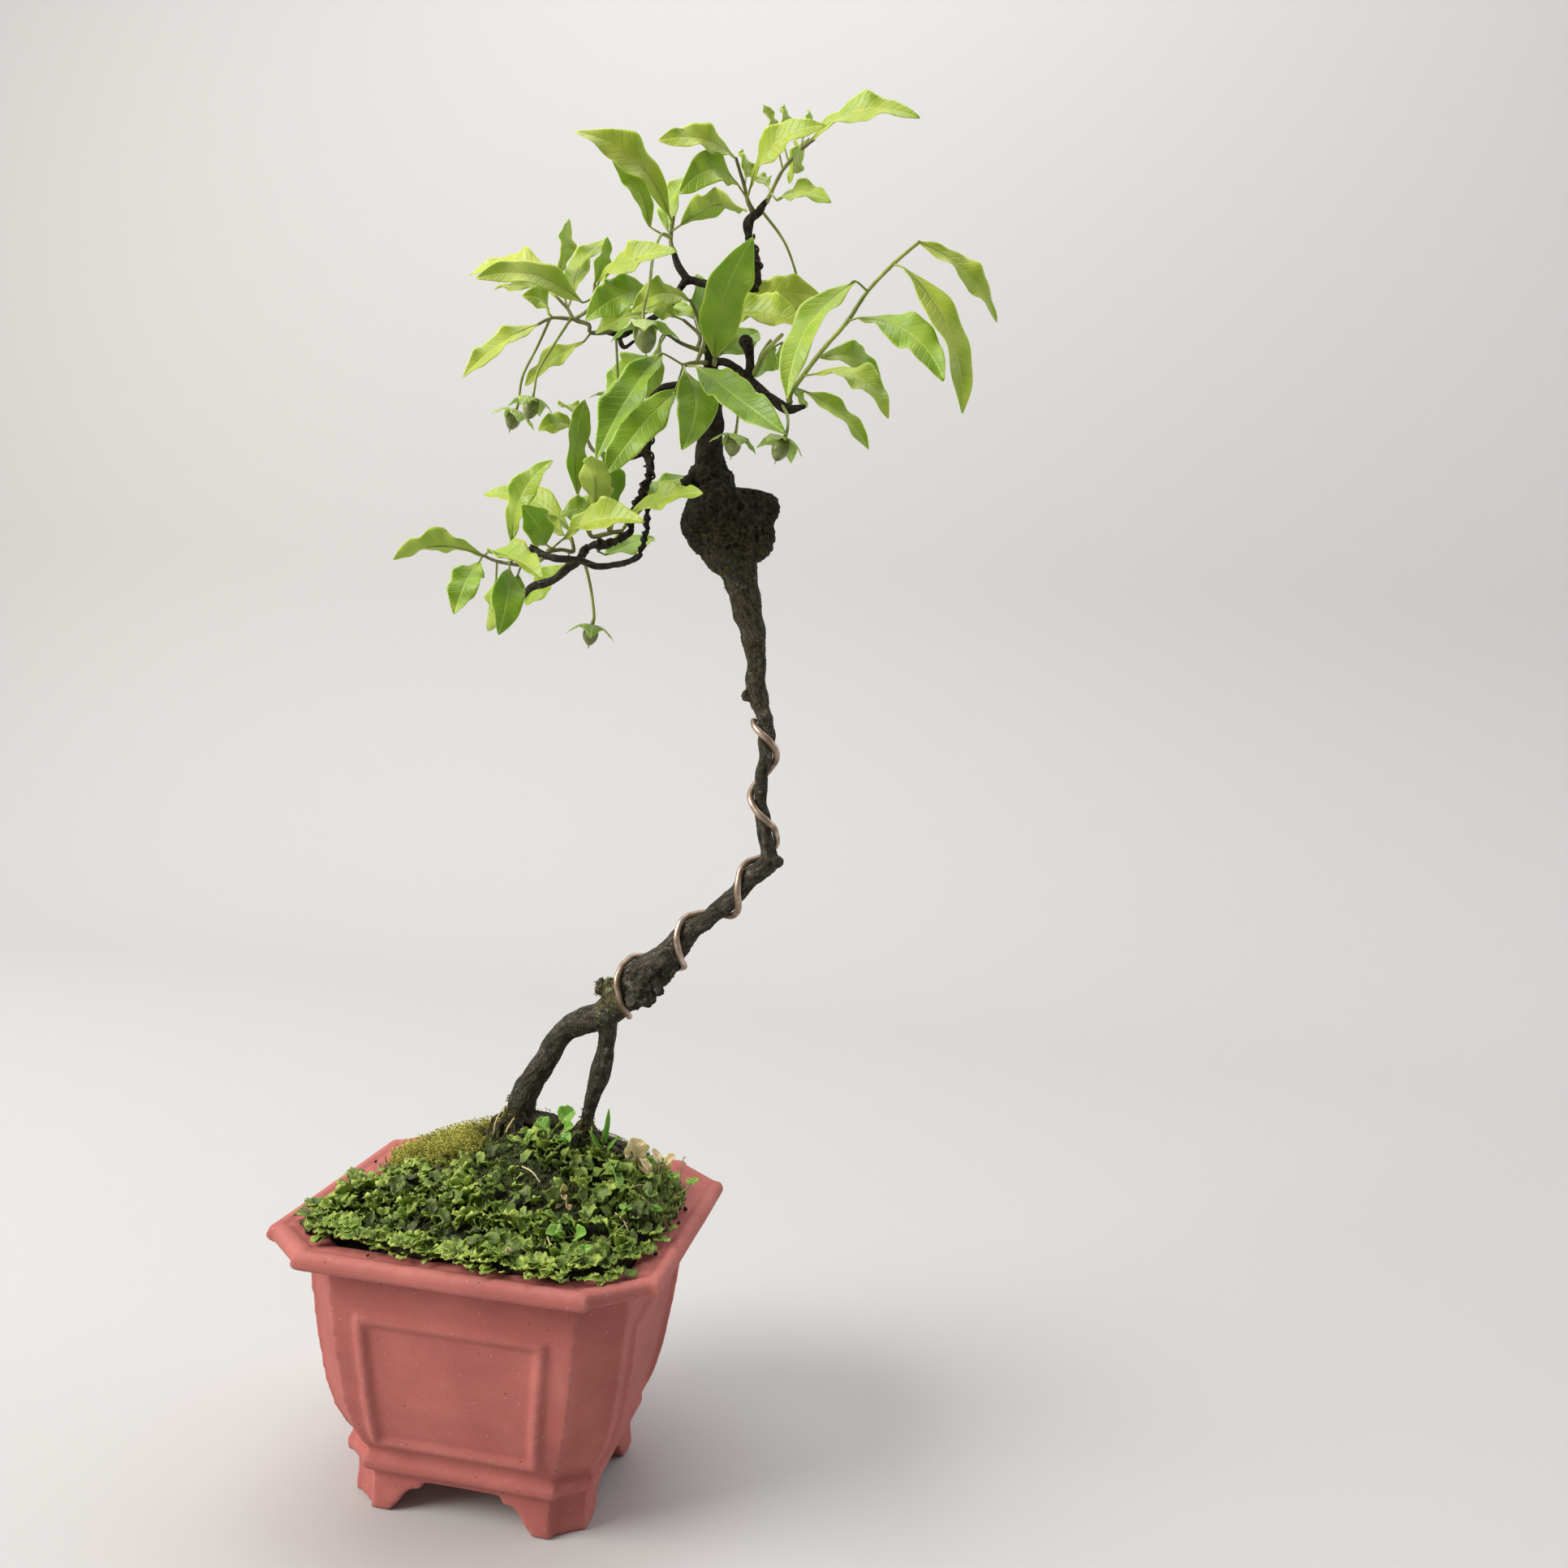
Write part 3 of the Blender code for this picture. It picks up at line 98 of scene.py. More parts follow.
def feed(shader, socketName, source):
    # source: a node, or one of its outputs
    output = source.outputs[0] if isinstance(source, bpy.types.Node) else source
    shader.id_data.links.new(output, shader.inputs[socketName])


def perMm(size):
    # texture scale for a grain of this size in millimetres
    return 1.0 / (size * mm)


# Materials

def firedClay():
    # unglazed red clay, pressed in a mould and fired: matt, dusty, with pale grit and worn rims
    material, shader, add = newMaterial("unglazedFiredClay", 0.82)
    place = add("TexCoord").outputs["Object"]
    cloud = add("TexNoise", {"Vector": place, "Scale": perMm(38), "Detail": 5.0}).outputs[0]
    body = add("ValToRGB", {0: cloud}, stops=[
        (0.3, "#A0564F"), (0.72, "#BC6D64"), (0.5, "#AF6159")]).outputs[0]
    film = add("TexNoise", {"Vector": place, "Scale": perMm(9), "Detail": 8.0, "Roughness": 0.7})
    dustyShare = add("MapRange", {0: film.outputs[0], 1: 0.52, 2: 0.82, 3: 0.0, 4: 0.22})
    dusty = add("Mix", {0: dustyShare, 6: body, 7: "#B98A82"}, data_type="RGBA").outputs[2]
    grit = add("TexVoronoi", {"Vector": place, "Scale": perMm(2.6), "Randomness": 1.0})
    speck = add("MapRange", {0: grit.outputs["Distance"], 1: 0.06, 2: 0.13, 3: 1.0, 4: 0.0})
    gritShade = add("SeparateColor", {0: grit.outputs["Color"]}).outputs[0]
    chosen = add("MapRange", {0: gritShade, 1: 0.6, 2: 0.62})
    specks = add("Math", {0: speck, 1: chosen}, operation="MULTIPLY")
    speckShare = add("Math", {0: specks, 1: 0.5}, operation="MULTIPLY")
    speckled = add("Mix", {0: speckShare, 6: dusty, 7: "#D9C3BC"}, data_type="RGBA").outputs[2]
    wear = add("Attribute", attribute_name="edgeWear").outputs["Fac"]
    scuffs = add("TexNoise", {"Vector": place, "Scale": perMm(3.2), "Detail": 6.0}).outputs[0]
    wornShare = add("MapRange", {0: scuffs, 1: 0.35, 2: 0.65})
    worn = add("Math", {0: wear, 1: wornShare}, operation="MULTIPLY")
    rubbedShare = add("Math", {0: worn, 1: 0.26}, operation="MULTIPLY")
    rubbed = add("Mix", {0: rubbedShare, 6: speckled, 7: "#C79A90"}, data_type="RGBA").outputs[2]
    # small pits: sunk in the bump and painted dark as the shade inside them
    holes = add("TexVoronoi", {"Vector": place, "Scale": perMm(6.5), "Randomness": 1.0})
    pits = add("MapRange", {0: holes.outputs["Distance"], 1: 0.035, 2: 0.075, 3: 1.0, 4: 0.0})
    pitShadeShare = add("Math", {0: pits, 1: 0.8}, operation="MULTIPLY")
    feed(shader, "Base Color", add("Mix", {0: pitShadeShare, 6: rubbed, 7: "#4B2624"},
                                   data_type="RGBA").outputs[2])
    fine = add("TexNoise", {"Vector": place, "Scale": perMm(0.9), "Detail": 8.0}).outputs[0]
    filmRelief = add("Math", {0: film.outputs[0], 1: 0.8}, operation="MULTIPLY")
    skinRelief = add("Math", {0: fine, 1: filmRelief}, operation="ADD")
    pitDepth = add("Math", {0: pits, 1: 1.4}, operation="MULTIPLY")
    relief = add("Math", {0: skinRelief, 1: pitDepth}, operation="SUBTRACT")
    bump = add("Bump", {"Height": relief, "Strength": 0.45, "Distance": 0.35 * mm})
    feed(shader, "Normal", bump.outputs[0])
    feed(shader, "Roughness", add("MapRange", {0: film.outputs[0], 1: 0.3, 2: 0.7, 3: 0.72, 4: 0.93}))
    return material


def agedBark():
    # old persimmon bark: near black, split lengthwise in short plates, with grey crust and a little moss
    material, shader, add = newMaterial("agedPersimmonBark", 0.88, Specular_IOR_Level=0.2)
    place = add("TexCoord").outputs["Object"]
    grain = add("Attribute", attribute_name="barkPlace").outputs["Vector"]
    plates = add("TexNoise", {"Vector": grain, "Scale": 0.9, "Detail": 9.0, "Roughness": 0.68})
    body = add("ValToRGB", {0: plates.outputs[0]}, stops=[
        (0.34, "#14120F"), (0.74, "#726E63"), (0.52, "#37342F")]).outputs[0]
    crust = add("TexNoise", {"Vector": place, "Scale": perMm(4.2), "Detail": 9.0, "Roughness": 0.75})
    pale = add("MapRange", {0: crust.outputs[0], 1: 0.57, 2: 0.68, 3: 0.0, 4: 0.75})
    greyed = add("Mix", {0: pale, 6: body, 7: "#918E84"}, data_type="RGBA").outputs[2]
    flecks = add("TexVoronoi", {"Vector": place, "Scale": perMm(1.5), "Randomness": 1.0})
    light = add("MapRange", {0: flecks.outputs["Distance"], 1: 0.14, 2: 0.2, 3: 0.55, 4: 0.0})
    powder = add("TexNoise", {"Vector": place, "Scale": perMm(1.1), "Detail": 5.0, "Roughness": 0.7})
    fleckShare = add("Math", {0: light, 1: pale}, operation="MULTIPLY")
    powderShare = add("MapRange", {0: powder.outputs[0], 1: 0.6, 2: 0.68, 3: 0.0, 4: 0.5})
    dusted = add("Math", {0: fleckShare, 1: powderShare}, operation="MAXIMUM")
    flecked = add("Mix", {0: dusted, 6: greyed, 7: "#A9A595"}, data_type="RGBA").outputs[2]
    mossy = add("Attribute", attribute_name="barkMoss").outputs["Fac"]
    patchy = add("TexNoise", {"Vector": place, "Scale": perMm(1.6), "Detail": 7.0}).outputs[0]
    grownShare = add("MapRange", {0: patchy, 1: 0.42, 2: 0.6})
    grown = add("Math", {0: mossy, 1: grownShare}, operation="MULTIPLY")
    sooty = add("Attribute", attribute_name="barkSoot").outputs["Fac"]
    sootShare = add("Math", {0: sooty, 1: 0.82}, operation="MULTIPLY")
    blackened = add("Mix", {0: sootShare, 6: flecked, 7: "#12110E"}, data_type="RGBA").outputs[2]
    feed(shader, "Base Color", add("Mix", {0: grown, 6: blackened, 7: "#5E5530"},
                                   data_type="RGBA").outputs[2])
    cracks = add("TexNoise", {"Vector": grain, "Scale": 2.6, "Detail": 6.0, "Roughness": 0.6}).outputs[0]
    plateRelief = add("Math", {0: plates.outputs[0], 1: 1.5}, operation="MULTIPLY")
    relief = add("Math", {0: plateRelief, 1: cracks}, operation="ADD")
    bump = add("Bump", {"Height": relief, "Strength": 0.9, "Distance": 0.5 * mm})
    feed(shader, "Normal", bump.outputs[0])
    feed(shader, "Roughness", add("MapRange", {0: plates.outputs[0], 1: 0.3, 2: 0.7, 3: 0.95, 4: 0.72}))
    return material


def youngBark(name, dark, middle, pale):
    # first-year wood and stalks: thin skin, greener where younger, with fine pale pores
    material, shader, add = newMaterial(name, 0.6)
    place = add("TexCoord").outputs["Object"]
    drift = add("TexNoise", {"Vector": place, "Scale": perMm(11), "Detail": 4.0}).outputs[0]
    body = add("ValToRGB", {0: drift}, stops=[
        (0.35, dark), (0.7, pale), (0.52, middle)]).outputs[0]
    pores = add("TexVoronoi", {"Vector": place, "Scale": perMm(0.9)}).outputs["Distance"]
    poreShare = add("MapRange", {0: pores, 1: 0.12, 2: 0.24, 3: 0.5, 4: 0.0})
    feed(shader, "Base Color", add("Mix", {0: poreShare, 6: body, 7: "#A39C72"},
                                   data_type="RGBA").outputs[2])
    fine = add("TexNoise", {"Vector": place, "Scale": perMm(0.6), "Detail": 4.0}).outputs[0]
    feed(shader, "Normal", add("Bump", {"Height": fine, "Strength": 0.4, "Distance": 0.15 * mm}).outputs[0])
    return material


def livingLeaf(name, dark, middle, lime, underside, vein, veinSpacing):
    # a leathery leaf blade: waxy upper face with sunk veins, paler matt underside, thin pale margin
    material, shader, add = newMaterial(name, 0.5, Subsurface_Weight=0.45, Subsurface_Scale=1.4 * mm)
    shader.inputs["Subsurface Radius"].default_value = (0.6, 1.0, 0.25)
    spot = add("Attribute", attribute_name="leafPlace").outputs["Vector"]
    across, _, tone = add("SeparateXYZ", {0: spot}).outputs
    sized = add("Attribute", attribute_name="leafMm").outputs["Vector"]
    acrossMm, alongMm, under = add("SeparateXYZ", {0: sized}).outputs
    place = add("TexCoord").outputs["Object"]
    offMiddle = add("Math", {0: acrossMm}, operation="ABSOLUTE")
    wobble = add("TexNoise", {"Vector": sized, "Scale": 0.3, "Detail": 2.0}).outputs[0]
    waver = add("Math", {0: wobble, 1: 2.2}, operation="MULTIPLY")
    waveredMm = add("Math", {0: alongMm, 1: waver}, operation="ADD")
    slant = add("Math", {0: offMiddle, 1: 0.85}, operation="MULTIPLY")
    run = add("Math", {0: waveredMm, 1: slant}, operation="SUBTRACT")
    ribDistance = add("Math", {0: run, 1: veinSpacing / 2}, operation="PINGPONG")
    ribs = add("MapRange", {0: ribDistance, 1: 0.05, 2: 0.42, 3: 1.0, 4: 0.0})
    middleRib = add("MapRange", {0: offMiddle, 1: 0.15, 2: 0.55, 3: 1.0, 4: 0.0})
    cells = add("TexVoronoi", {"Vector": sized, "Scale": 1.25}, feature="DISTANCE_TO_EDGE").outputs[0]
    net = add("MapRange", {0: cells, 1: 0.02, 2: 0.14, 3: 1.0, 4: 0.0})
    towardsEdge = add("Math", {0: across}, operation="ABSOLUTE")
    margin = add("MapRange", {0: towardsEdge, 1: 0.9, 2: 1.0})
    patch = add("TexNoise", {"Vector": place, "Scale": perMm(7), "Detail": 4.0}).outputs[0]
    ripeShare = add("MapRange", {0: patch, 1: 0.25, 2: 0.75, 3: -0.16, 4: 0.16})
    # the leaf's tone holds painted light and shade as well as its own colour; the patches add random tone
    toneWithPaintedLight = add("Math", {0: tone, 1: ripeShare}, operation="ADD")
    body = add("ValToRGB", {0: toneWithPaintedLight}, stops=[(0.0, dark), (1.0, lime), (0.45, middle)]).outputs[0]
    middleShare = add("Math", {0: middleRib, 1: 0.42}, operation="MULTIPLY")
    ribShare = add("Math", {0: ribs, 1: 0.09}, operation="MULTIPLY")
    netShare = add("Math", {0: net, 1: 0.07}, operation="MULTIPLY")
    fineShare = add("Math", {0: ribShare, 1: netShare}, operation="MAXIMUM")
    veins = add("Math", {0: middleShare, 1: fineShare}, operation="MAXIMUM")
    veined = add("Mix", {0: veins, 6: body, 7: vein}, data_type="RGBA").outputs[2]
    edgeShare = add("Math", {0: margin, 1: 0.55}, operation="MULTIPLY")
    edged = add("Mix", {0: edgeShare, 6: veined, 7: vein}, data_type="RGBA").outputs[2]
    underShare = add("Math", {0: under, 1: 0.7}, operation="MULTIPLY")
    turned = add("Mix", {0: underShare, 6: edged, 7: underside}, data_type="RGBA").outputs[2]
    marks = add("TexVoronoi", {"Vector": place, "Scale": perMm(9), "Randomness": 1.0}).outputs["Distance"]
    markShare = add("MapRange", {0: marks, 1: 0.035, 2: 0.075, 3: 0.7, 4: 0.0})
    feed(shader, "Base Color", add("Mix", {0: markShare, 6: turned, 7: "#6A5A22"},
                                   data_type="RGBA").outputs[2])
    waxy = add("MapRange", {0: patch, 1: 0.3, 2: 0.7, 3: 0.4, 4: 0.56})
    underDullness = add("Math", {0: under, 1: 0.22}, operation="MULTIPLY")
    feed(shader, "Roughness", add("Math", {0: waxy, 1: underDullness}, operation="ADD"))
    cellRelief = add("Math", {0: cells, 1: 0.8}, operation="MULTIPLY")
    ribRelief = add("Math", {0: ribs, 1: middleRib}, operation="ADD")
    relief = add("Math", {0: cellRelief, 1: ribRelief}, operation="SUBTRACT")
    bump = add("Bump", {"Height": relief, "Strength": 0.5, "Distance": 0.22 * mm})
    feed(shader, "Normal", bump.outputs[0])
    return material


def berrySkin():
    # unripe fruit: thick smooth skin, dull green with a grey bloom and fine dots
    material, shader, add = newMaterial("unripeBerrySkin", 0.38, Subsurface_Weight=0.1,
                                        Subsurface_Scale=0.8 * mm)
    place = add("TexCoord").outputs["Object"]
    bloom = add("TexNoise", {"Vector": place, "Scale": perMm(3), "Detail": 6.0}).outputs[0]
    body = add("ValToRGB", {0: bloom}, stops=[(0.3, "#59652A"), (0.7, "#8A9556")]).outputs[0]
    dots = add("TexVoronoi", {"Vector": place, "Scale": perMm(0.7)}).outputs["Distance"]
    dotShare = add("MapRange", {0: dots, 1: 0.1, 2: 0.2, 3: 0.5, 4: 0.0})
    feed(shader, "Base Color", add("Mix", {0: dotShare, 6: body, 7: "#B9C08C"},
                                   data_type="RGBA").outputs[2])
    feed(shader, "Roughness", add("MapRange", {0: bloom, 1: 0.3, 2: 0.7, 3: 0.3, 4: 0.55}))
    feed(shader, "Normal", add("Bump", {"Height": dots, "Strength": 0.2, "Distance": 0.1 * mm}).outputs[0])
    return material


def anodisedWire():
    # annealed aluminium training wire, anodised copper brown: soft satin metal, mottled from brown to
    # cream, the cream patches being painted highlight
    material, shader, add = newMaterial("anodisedAluminiumWire", 0.48, Metallic=1.0)
    place = add("TexCoord").outputs["Object"]
    mottleWithHighlight = add("TexNoise", {"Vector": place, "Scale": perMm(5), "Detail": 7.0}).outputs[0]
    # the cream end of this mottle is painted highlight
    body = add("ValToRGB", {0: mottleWithHighlight}, stops=[
        (0.3, "#7E6A5A"), (0.75, "#D2C4B4"), (0.52, "#AE9A86")]).outputs[0]
    feed(shader, "Base Color", body)
    feed(shader, "Roughness", add("MapRange", {0: mottleWithHighlight, 1: 0.3, 2: 0.7, 3: 0.56, 4: 0.4}))
    drawn = add("TexNoise", {"Vector": place, "Scale": perMm(0.7), "Detail": 5.0}).outputs[0]
    feed(shader, "Normal", add("Bump", {"Height": drawn, "Strength": 0.25,
                                        "Distance": 0.12 * mm}).outputs[0])
    return material


def annealedWire():
    # thin annealed wire, oxidised dark brown, dull
    material, shader, add = newMaterial("annealedDarkWire", 0.5, Metallic=1.0)
    place = add("TexCoord").outputs["Object"]
    scale = add("TexNoise", {"Vector": place, "Scale": perMm(2.2), "Detail": 6.0}).outputs[0]
    feed(shader, "Base Color", add("ValToRGB", {0: scale}, stops=[
        (0.3, "#2C2522"), (0.7, "#5F5048")]).outputs[0])
    feed(shader, "Roughness", add("MapRange", {0: scale, 1: 0.3, 2: 0.7, 3: 0.6, 4: 0.42}))
    feed(shader, "Normal", add("Bump", {"Height": scale, "Strength": 0.3, "Distance": 0.1 * mm}).outputs[0])
    return material


def pottingSoil():
    # fired clay grains and bark dust, damp: dark, coarse, with single pale grains
    material, shader, add = newMaterial("grittyPottingSoil", 0.95)
    place = add("TexCoord").outputs["Object"]
    grains = add("TexVoronoi", {"Vector": place, "Scale": perMm(2.2), "Randomness": 1.0})
    each = add("SeparateColor", {0: grains.outputs["Color"]}).outputs[0]
    feed(shader, "Base Color", add("ValToRGB", {0: each}, stops=[
        (0.0, "#1C150D"), (1.0, "#6E5A3E"), (0.55, "#33281A"), (0.85, "#4A3A26")]).outputs[0])
    fine = add("TexNoise", {"Vector": place, "Scale": perMm(0.7), "Detail": 6.0}).outputs[0]
    relief = add("Math", {0: fine, 1: grains.outputs["Distance"]}, operation="SUBTRACT")
    feed(shader, "Normal", add("Bump", {"Height": relief, "Strength": 0.9,
                                        "Distance": 0.9 * mm}).outputs[0])
    return material


def wovenScreen():
    # moulded plastic mesh: plain black, slightly glossy, dulled by soil
    material, shader, add = newMaterial("mouldedPlasticMesh", 0.5)
    place = add("TexCoord").outputs["Object"]
    dirt = add("TexNoise", {"Vector": place, "Scale": perMm(3), "Detail": 6.0}).outputs[0]
    feed(shader, "Base Color", add("ValToRGB", {0: dirt}, stops=[
        (0.4, "#101010"), (0.8, "#3A3028")]).outputs[0])
    feed(shader, "Roughness", add("MapRange", {0: dirt, 1: 0.3, 2: 0.8, 3: 0.42, 4: 0.85}))
    feed(shader, "Normal", add("Bump", {"Height": dirt, "Strength": 0.3, "Distance": 0.2 * mm}).outputs[0])
    return material


def growingCover(name, dark, middle, light, grain, roughness):
    # moist low plants: tone differs from shoot to shoot, with a fine cellular skin; on the liverwort lobes
    # the tone also holds painted light and shade
    material, shader, add = newMaterial(name, roughness, Subsurface_Weight=0.08, Subsurface_Scale=0.5 * mm)
    tone = add("Attribute", attribute_name="growthToneAndPaintedLight").outputs["Fac"]
    place = add("TexCoord").outputs["Object"]
    drift = add("TexNoise", {"Vector": place, "Scale": perMm(grain * 6), "Detail": 5.0}).outputs[0]
    driftShare = add("MapRange", {0: drift, 1: 0.25, 2: 0.75, 3: -0.2, 4: 0.2})
    mixed = add("Math", {0: tone, 1: driftShare}, operation="ADD")
    body = add("ValToRGB", {0: mixed}, stops=[(0.0, dark), (1.0, light), (0.5, middle)]).outputs[0]
    cells = add("TexVoronoi", {"Vector": place, "Scale": perMm(grain)}).outputs["Distance"]
    cellShare = add("MapRange", {0: cells, 1: 0.1, 2: 0.4, 3: 0.25, 4: 0.0})
    feed(shader, "Base Color", add("Mix", {0: cellShare, 6: body, 7: light},
                                   data_type="RGBA").outputs[2])
    feed(shader, "Roughness", add("MapRange", {0: drift, 1: 0.3, 2: 0.7, 3: roughness - 0.12,
                                               4: min(1.0, roughness + 0.12)}))
    feed(shader, "Normal", add("Bump", {"Height": cells, "Strength": 0.5, "Distance": 0.2 * mm}).outputs[0])
    return material


def plasterWall(name, tint, roughness):
    # plain painted studio surface
    material, shader, add = newMaterial(name, roughness)
    place = add("TexCoord").outputs["Object"]
    tooth = add("TexNoise", {"Vector": place, "Scale": perMm(4), "Detail": 3.0}).outputs[0]
    shader.inputs["Base Color"].default_value = colour(tint)
    feed(shader, "Normal", add("Bump", {"Height": tooth, "Strength": 0.05,
                                        "Distance": 0.2 * mm}).outputs[0])
    return material


clay = firedClay()
bark = agedBark()
twigSkin = youngBark("youngTwigBark", "#524E28", "#74753A", "#989E52")
stalkSkin = youngBark("tenderStalkSkin", "#6E7A2C", "#8C9A3E", "#B0B860")
leafBlade = livingLeaf("leatheryPersimmonLeaf", "#3E640A", "#7A9A12", "#B2B83E", "#9CA84A", "#C2CC62", 3.4)
calyxBlade = livingLeaf("greenCalyxLobe", "#66842A", "#8FA646", "#B9C474", "#9FAE66", "#C3CB84", 1.8)
herbBlade = livingLeaf("tenderSorrelLeaf", "#2C5A14", "#548C26", "#8CB44C", "#7DA34E", "#9CC05C", 1.4)
strawBlade = livingLeaf("driedStrawLeaf", "#94744A", "#C0A47A", "#E0CEAA", "#B69A6C", "#E2CB98", 1.6)
berry = berrySkin()
copperWire = anodisedWire()
darkWire = annealedWire()
grit = pottingSoil()
screenMesh = wovenScreen()
thallusSkin = growingCover("moistLiverwortThallus", "#282C0A", "#6E882A", "#B8C860", 0.8, 0.55)
matSkin = growingCover("shadedMatBase", "#1A1608", "#2B2A10", "#4A4A20", 1.2, 0.95)
grassSkin = growingCover("shortDarkMoss", "#1E2208", "#4F6326", "#9DB050", 0.6, 0.8)
lichenSkin = growingCover("crustLichen", "#545A3C", "#878E66", "#B7BC98", 0.6, 0.9)
mossSkin = growingCover("featheryCushionMoss", "#33300E", "#8E8E2C", "#D8D468", 0.6, 0.8)
print("materials made")


# Mesh helpers: a part is its points in millimetres, its faces and its marks, one row for each point

def joined(parts):
    # the points of all parts in one array, and their faces in one list
    faces, start = [], 0
    for part in parts:
        faces += [[index + start for index in face] for face in part["faces"]]
        start += len(part["points"])
    return np.vstack([part["points"] for part in parts]), faces


def meshObject(name, points, faces):
    # an object in the scene with its faces turned outward
    mesh = bpy.data.meshes.new(name)
    mesh.from_pydata(np.asarray(points).tolist(), [], faces)
    bm = bmesh.new()
    bm.from_mesh(mesh)
    bmesh.ops.recalc_face_normals(bm, faces=bm.faces)
    bm.to_mesh(mesh)
    bm.free()
    made = bpy.data.objects.new(name, mesh)
    bpy.context.scene.collection.objects.link(made)
    return made


def ringFaces(rings, count):
    # faces between rings of count points each, with a cap at both ends
    faces = []
    for r in range(rings - 1):
        for i in range(count):
            j = (i + 1) % count
            faces.append([r * count + i, r * count + j, (r + 1) * count + j, (r + 1) * count + i])
    last = (rings - 1) * count
    return faces + [list(range(count))[::-1], list(range(last, last + count))]


def addPiece(name, parts, material, replaced=()):
    points, faces = joined(parts)
    piece = meshObject(name, points * mm + np.array(origin), faces)
    mesh = piece.data
    for markName in parts[0].get("marks", {}):
        values = np.vstack([part["marks"][markName] for part in parts])
        kind, key = ("FLOAT_VECTOR", "vector") if values.shape[1] == 3 else ("FLOAT", "value")
        layer = mesh.attributes.new(markName, kind, "POINT")
        layer.data.foreach_set(key, values.astype(np.float32).ravel())
    mesh.shade_smooth()
    mesh.materials.append(material)
    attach(piece, "root")
    if replaced:
        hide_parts(*replaced)
    return piece


def smoothRoute(rows, step=1.5):
    # a curve through every row of x, y, z and radius
    rows = np.array(rows, float)
    ends = np.vstack([2 * rows[0] - rows[1], rows, 2 * rows[-1] - rows[-2]])
    made = []
    for a, b, c, d in zip(ends, ends[1:], ends[2:], ends[3:]):
        count = max(1, round(np.linalg.norm((c - b)[:3]) / step))
        for t in np.arange(count) / count:
            made.append(0.5 * (2 * b + (c - a) * t + (2 * a - 5 * b + 4 * c - d) * t ** 2
                               + (3 * b - a - 3 * c + d) * t ** 3))
    made.append(rows[-1])
    made = np.array(made)
    made[:, 3] = np.maximum(made[:, 3], rows[:, 3].min() * 0.9)
    return made


def roundEnds(rows):
    # shorter rings past both ends, so that a tube closes in a dome
    first, last = rows[0], rows[-1]
    back = (first - rows[1])[:3] / np.linalg.norm((first - rows[1])[:3])
    ahead = (last - rows[-2])[:3] / np.linalg.norm((last - rows[-2])[:3])
    angles = [math.radians(a) for a in (78, 50, 25)]
    start = [[*(first[:3] + back * first[3] * math.sin(a)), first[3] * math.cos(a)] for a in angles]
    end = [[*(last[:3] + ahead * last[3] * math.sin(a)), last[3] * math.cos(a)] for a in reversed(angles)]
    return np.vstack([start, rows, end])


def tubePart(rows, sides=12, height=0.0, grain=1.0, flat=False):
    # height and grain: relief of the skin in millimetres; flat leaves the ends cut square
    rows = np.asarray(rows, float)
    if not flat:
        rows = roundEnds(rows)
    run = np.gradient(rows[:, :3], axis=0)
    run /= np.linalg.norm(run, axis=1)[:, None]
    side = np.cross(run[0], (0.31, 0.95, 0.05))
    turns = np.arange(sides) * 2 * math.pi / sides
    points = []
    for row, direction in zip(rows, run):
        side = side - direction * side.dot(direction)
        side /= np.linalg.norm(side)
        other = np.cross(direction, side)
        outward = np.cos(turns)[:, None] * side + np.sin(turns)[:, None] * other
        ring = row[:3] + outward * row[3]
        if height:
            lift = [height * noise.noise(Vector(spot) / grain) for spot in ring]
            ring = ring + outward * np.array(lift)[:, None]
        points.append(ring)
    return {"points": np.vstack(points), "faces": ringFaces(len(rows), sides)}


@functools.lru_cache(None)
def slabFaces(rows, columns):
    faces = []
    under = rows * columns
    for r in range(rows - 1):
        for c in range(columns - 1):
            a, b = r * columns + c, r * columns + c + 1
            d, e = a + columns, b + columns
            faces.append([a, b, e, d])
            faces.append([d + under, e + under, b + under, a + under])
    rim = [c for c in range(columns)] + [r * columns + columns - 1 for r in range(1, rows)]
    rim += [(rows - 1) * columns + c for c in range(columns - 2, -1, -1)]
    rim += [r * columns for r in range(rows - 2, 0, -1)]
    for a, b in zip(rim, rim[1:] + rim[:1]):
        faces.append([b, a, a + under, b + under])
    return faces


def slabPart(upper, thickness):
    # a thin closed blade from a grid of points: top, bottom and the rim between
    normal = np.cross(np.gradient(upper, axis=1), np.gradient(upper, axis=0))
    normal /= np.maximum(np.linalg.norm(normal, axis=2), 1e-9)[..., None]
    rows, columns = upper.shape[:2]
    full = np.full((rows, columns), float(thickness))
    full[:, 0] = full[:, -1] = full[0] = full[-1] = thickness * 0.45
    lower = upper - normal * full[..., None]
    points = np.vstack([upper.reshape(-1, 3), lower.reshape(-1, 3)])
    return {"points": points, "faces": slabFaces(rows, columns)}


def widthAt(stops, shares):
    # smooth width through the stops of share and width
    places, widths = zip(*stops)
    slopes = np.gradient(np.array(widths), np.array(places))
    index = np.clip(np.searchsorted(places, shares, side="right") - 1, 0, len(places) - 2)
    x0, x1 = np.array(places)[index], np.array(places)[index + 1]
    y0, y1 = np.array(widths)[index], np.array(widths)[index + 1]
    t = (shares - x0) / (x1 - x0)
    span = x1 - x0
    return ((1 + 2 * t) * (1 - t) ** 2 * y0 + t * (1 - t) ** 2 * span * slopes[index]
            + t * t * (3 - 2 * t) * y1 + t * t * (t - 1) * span * slopes[index + 1])


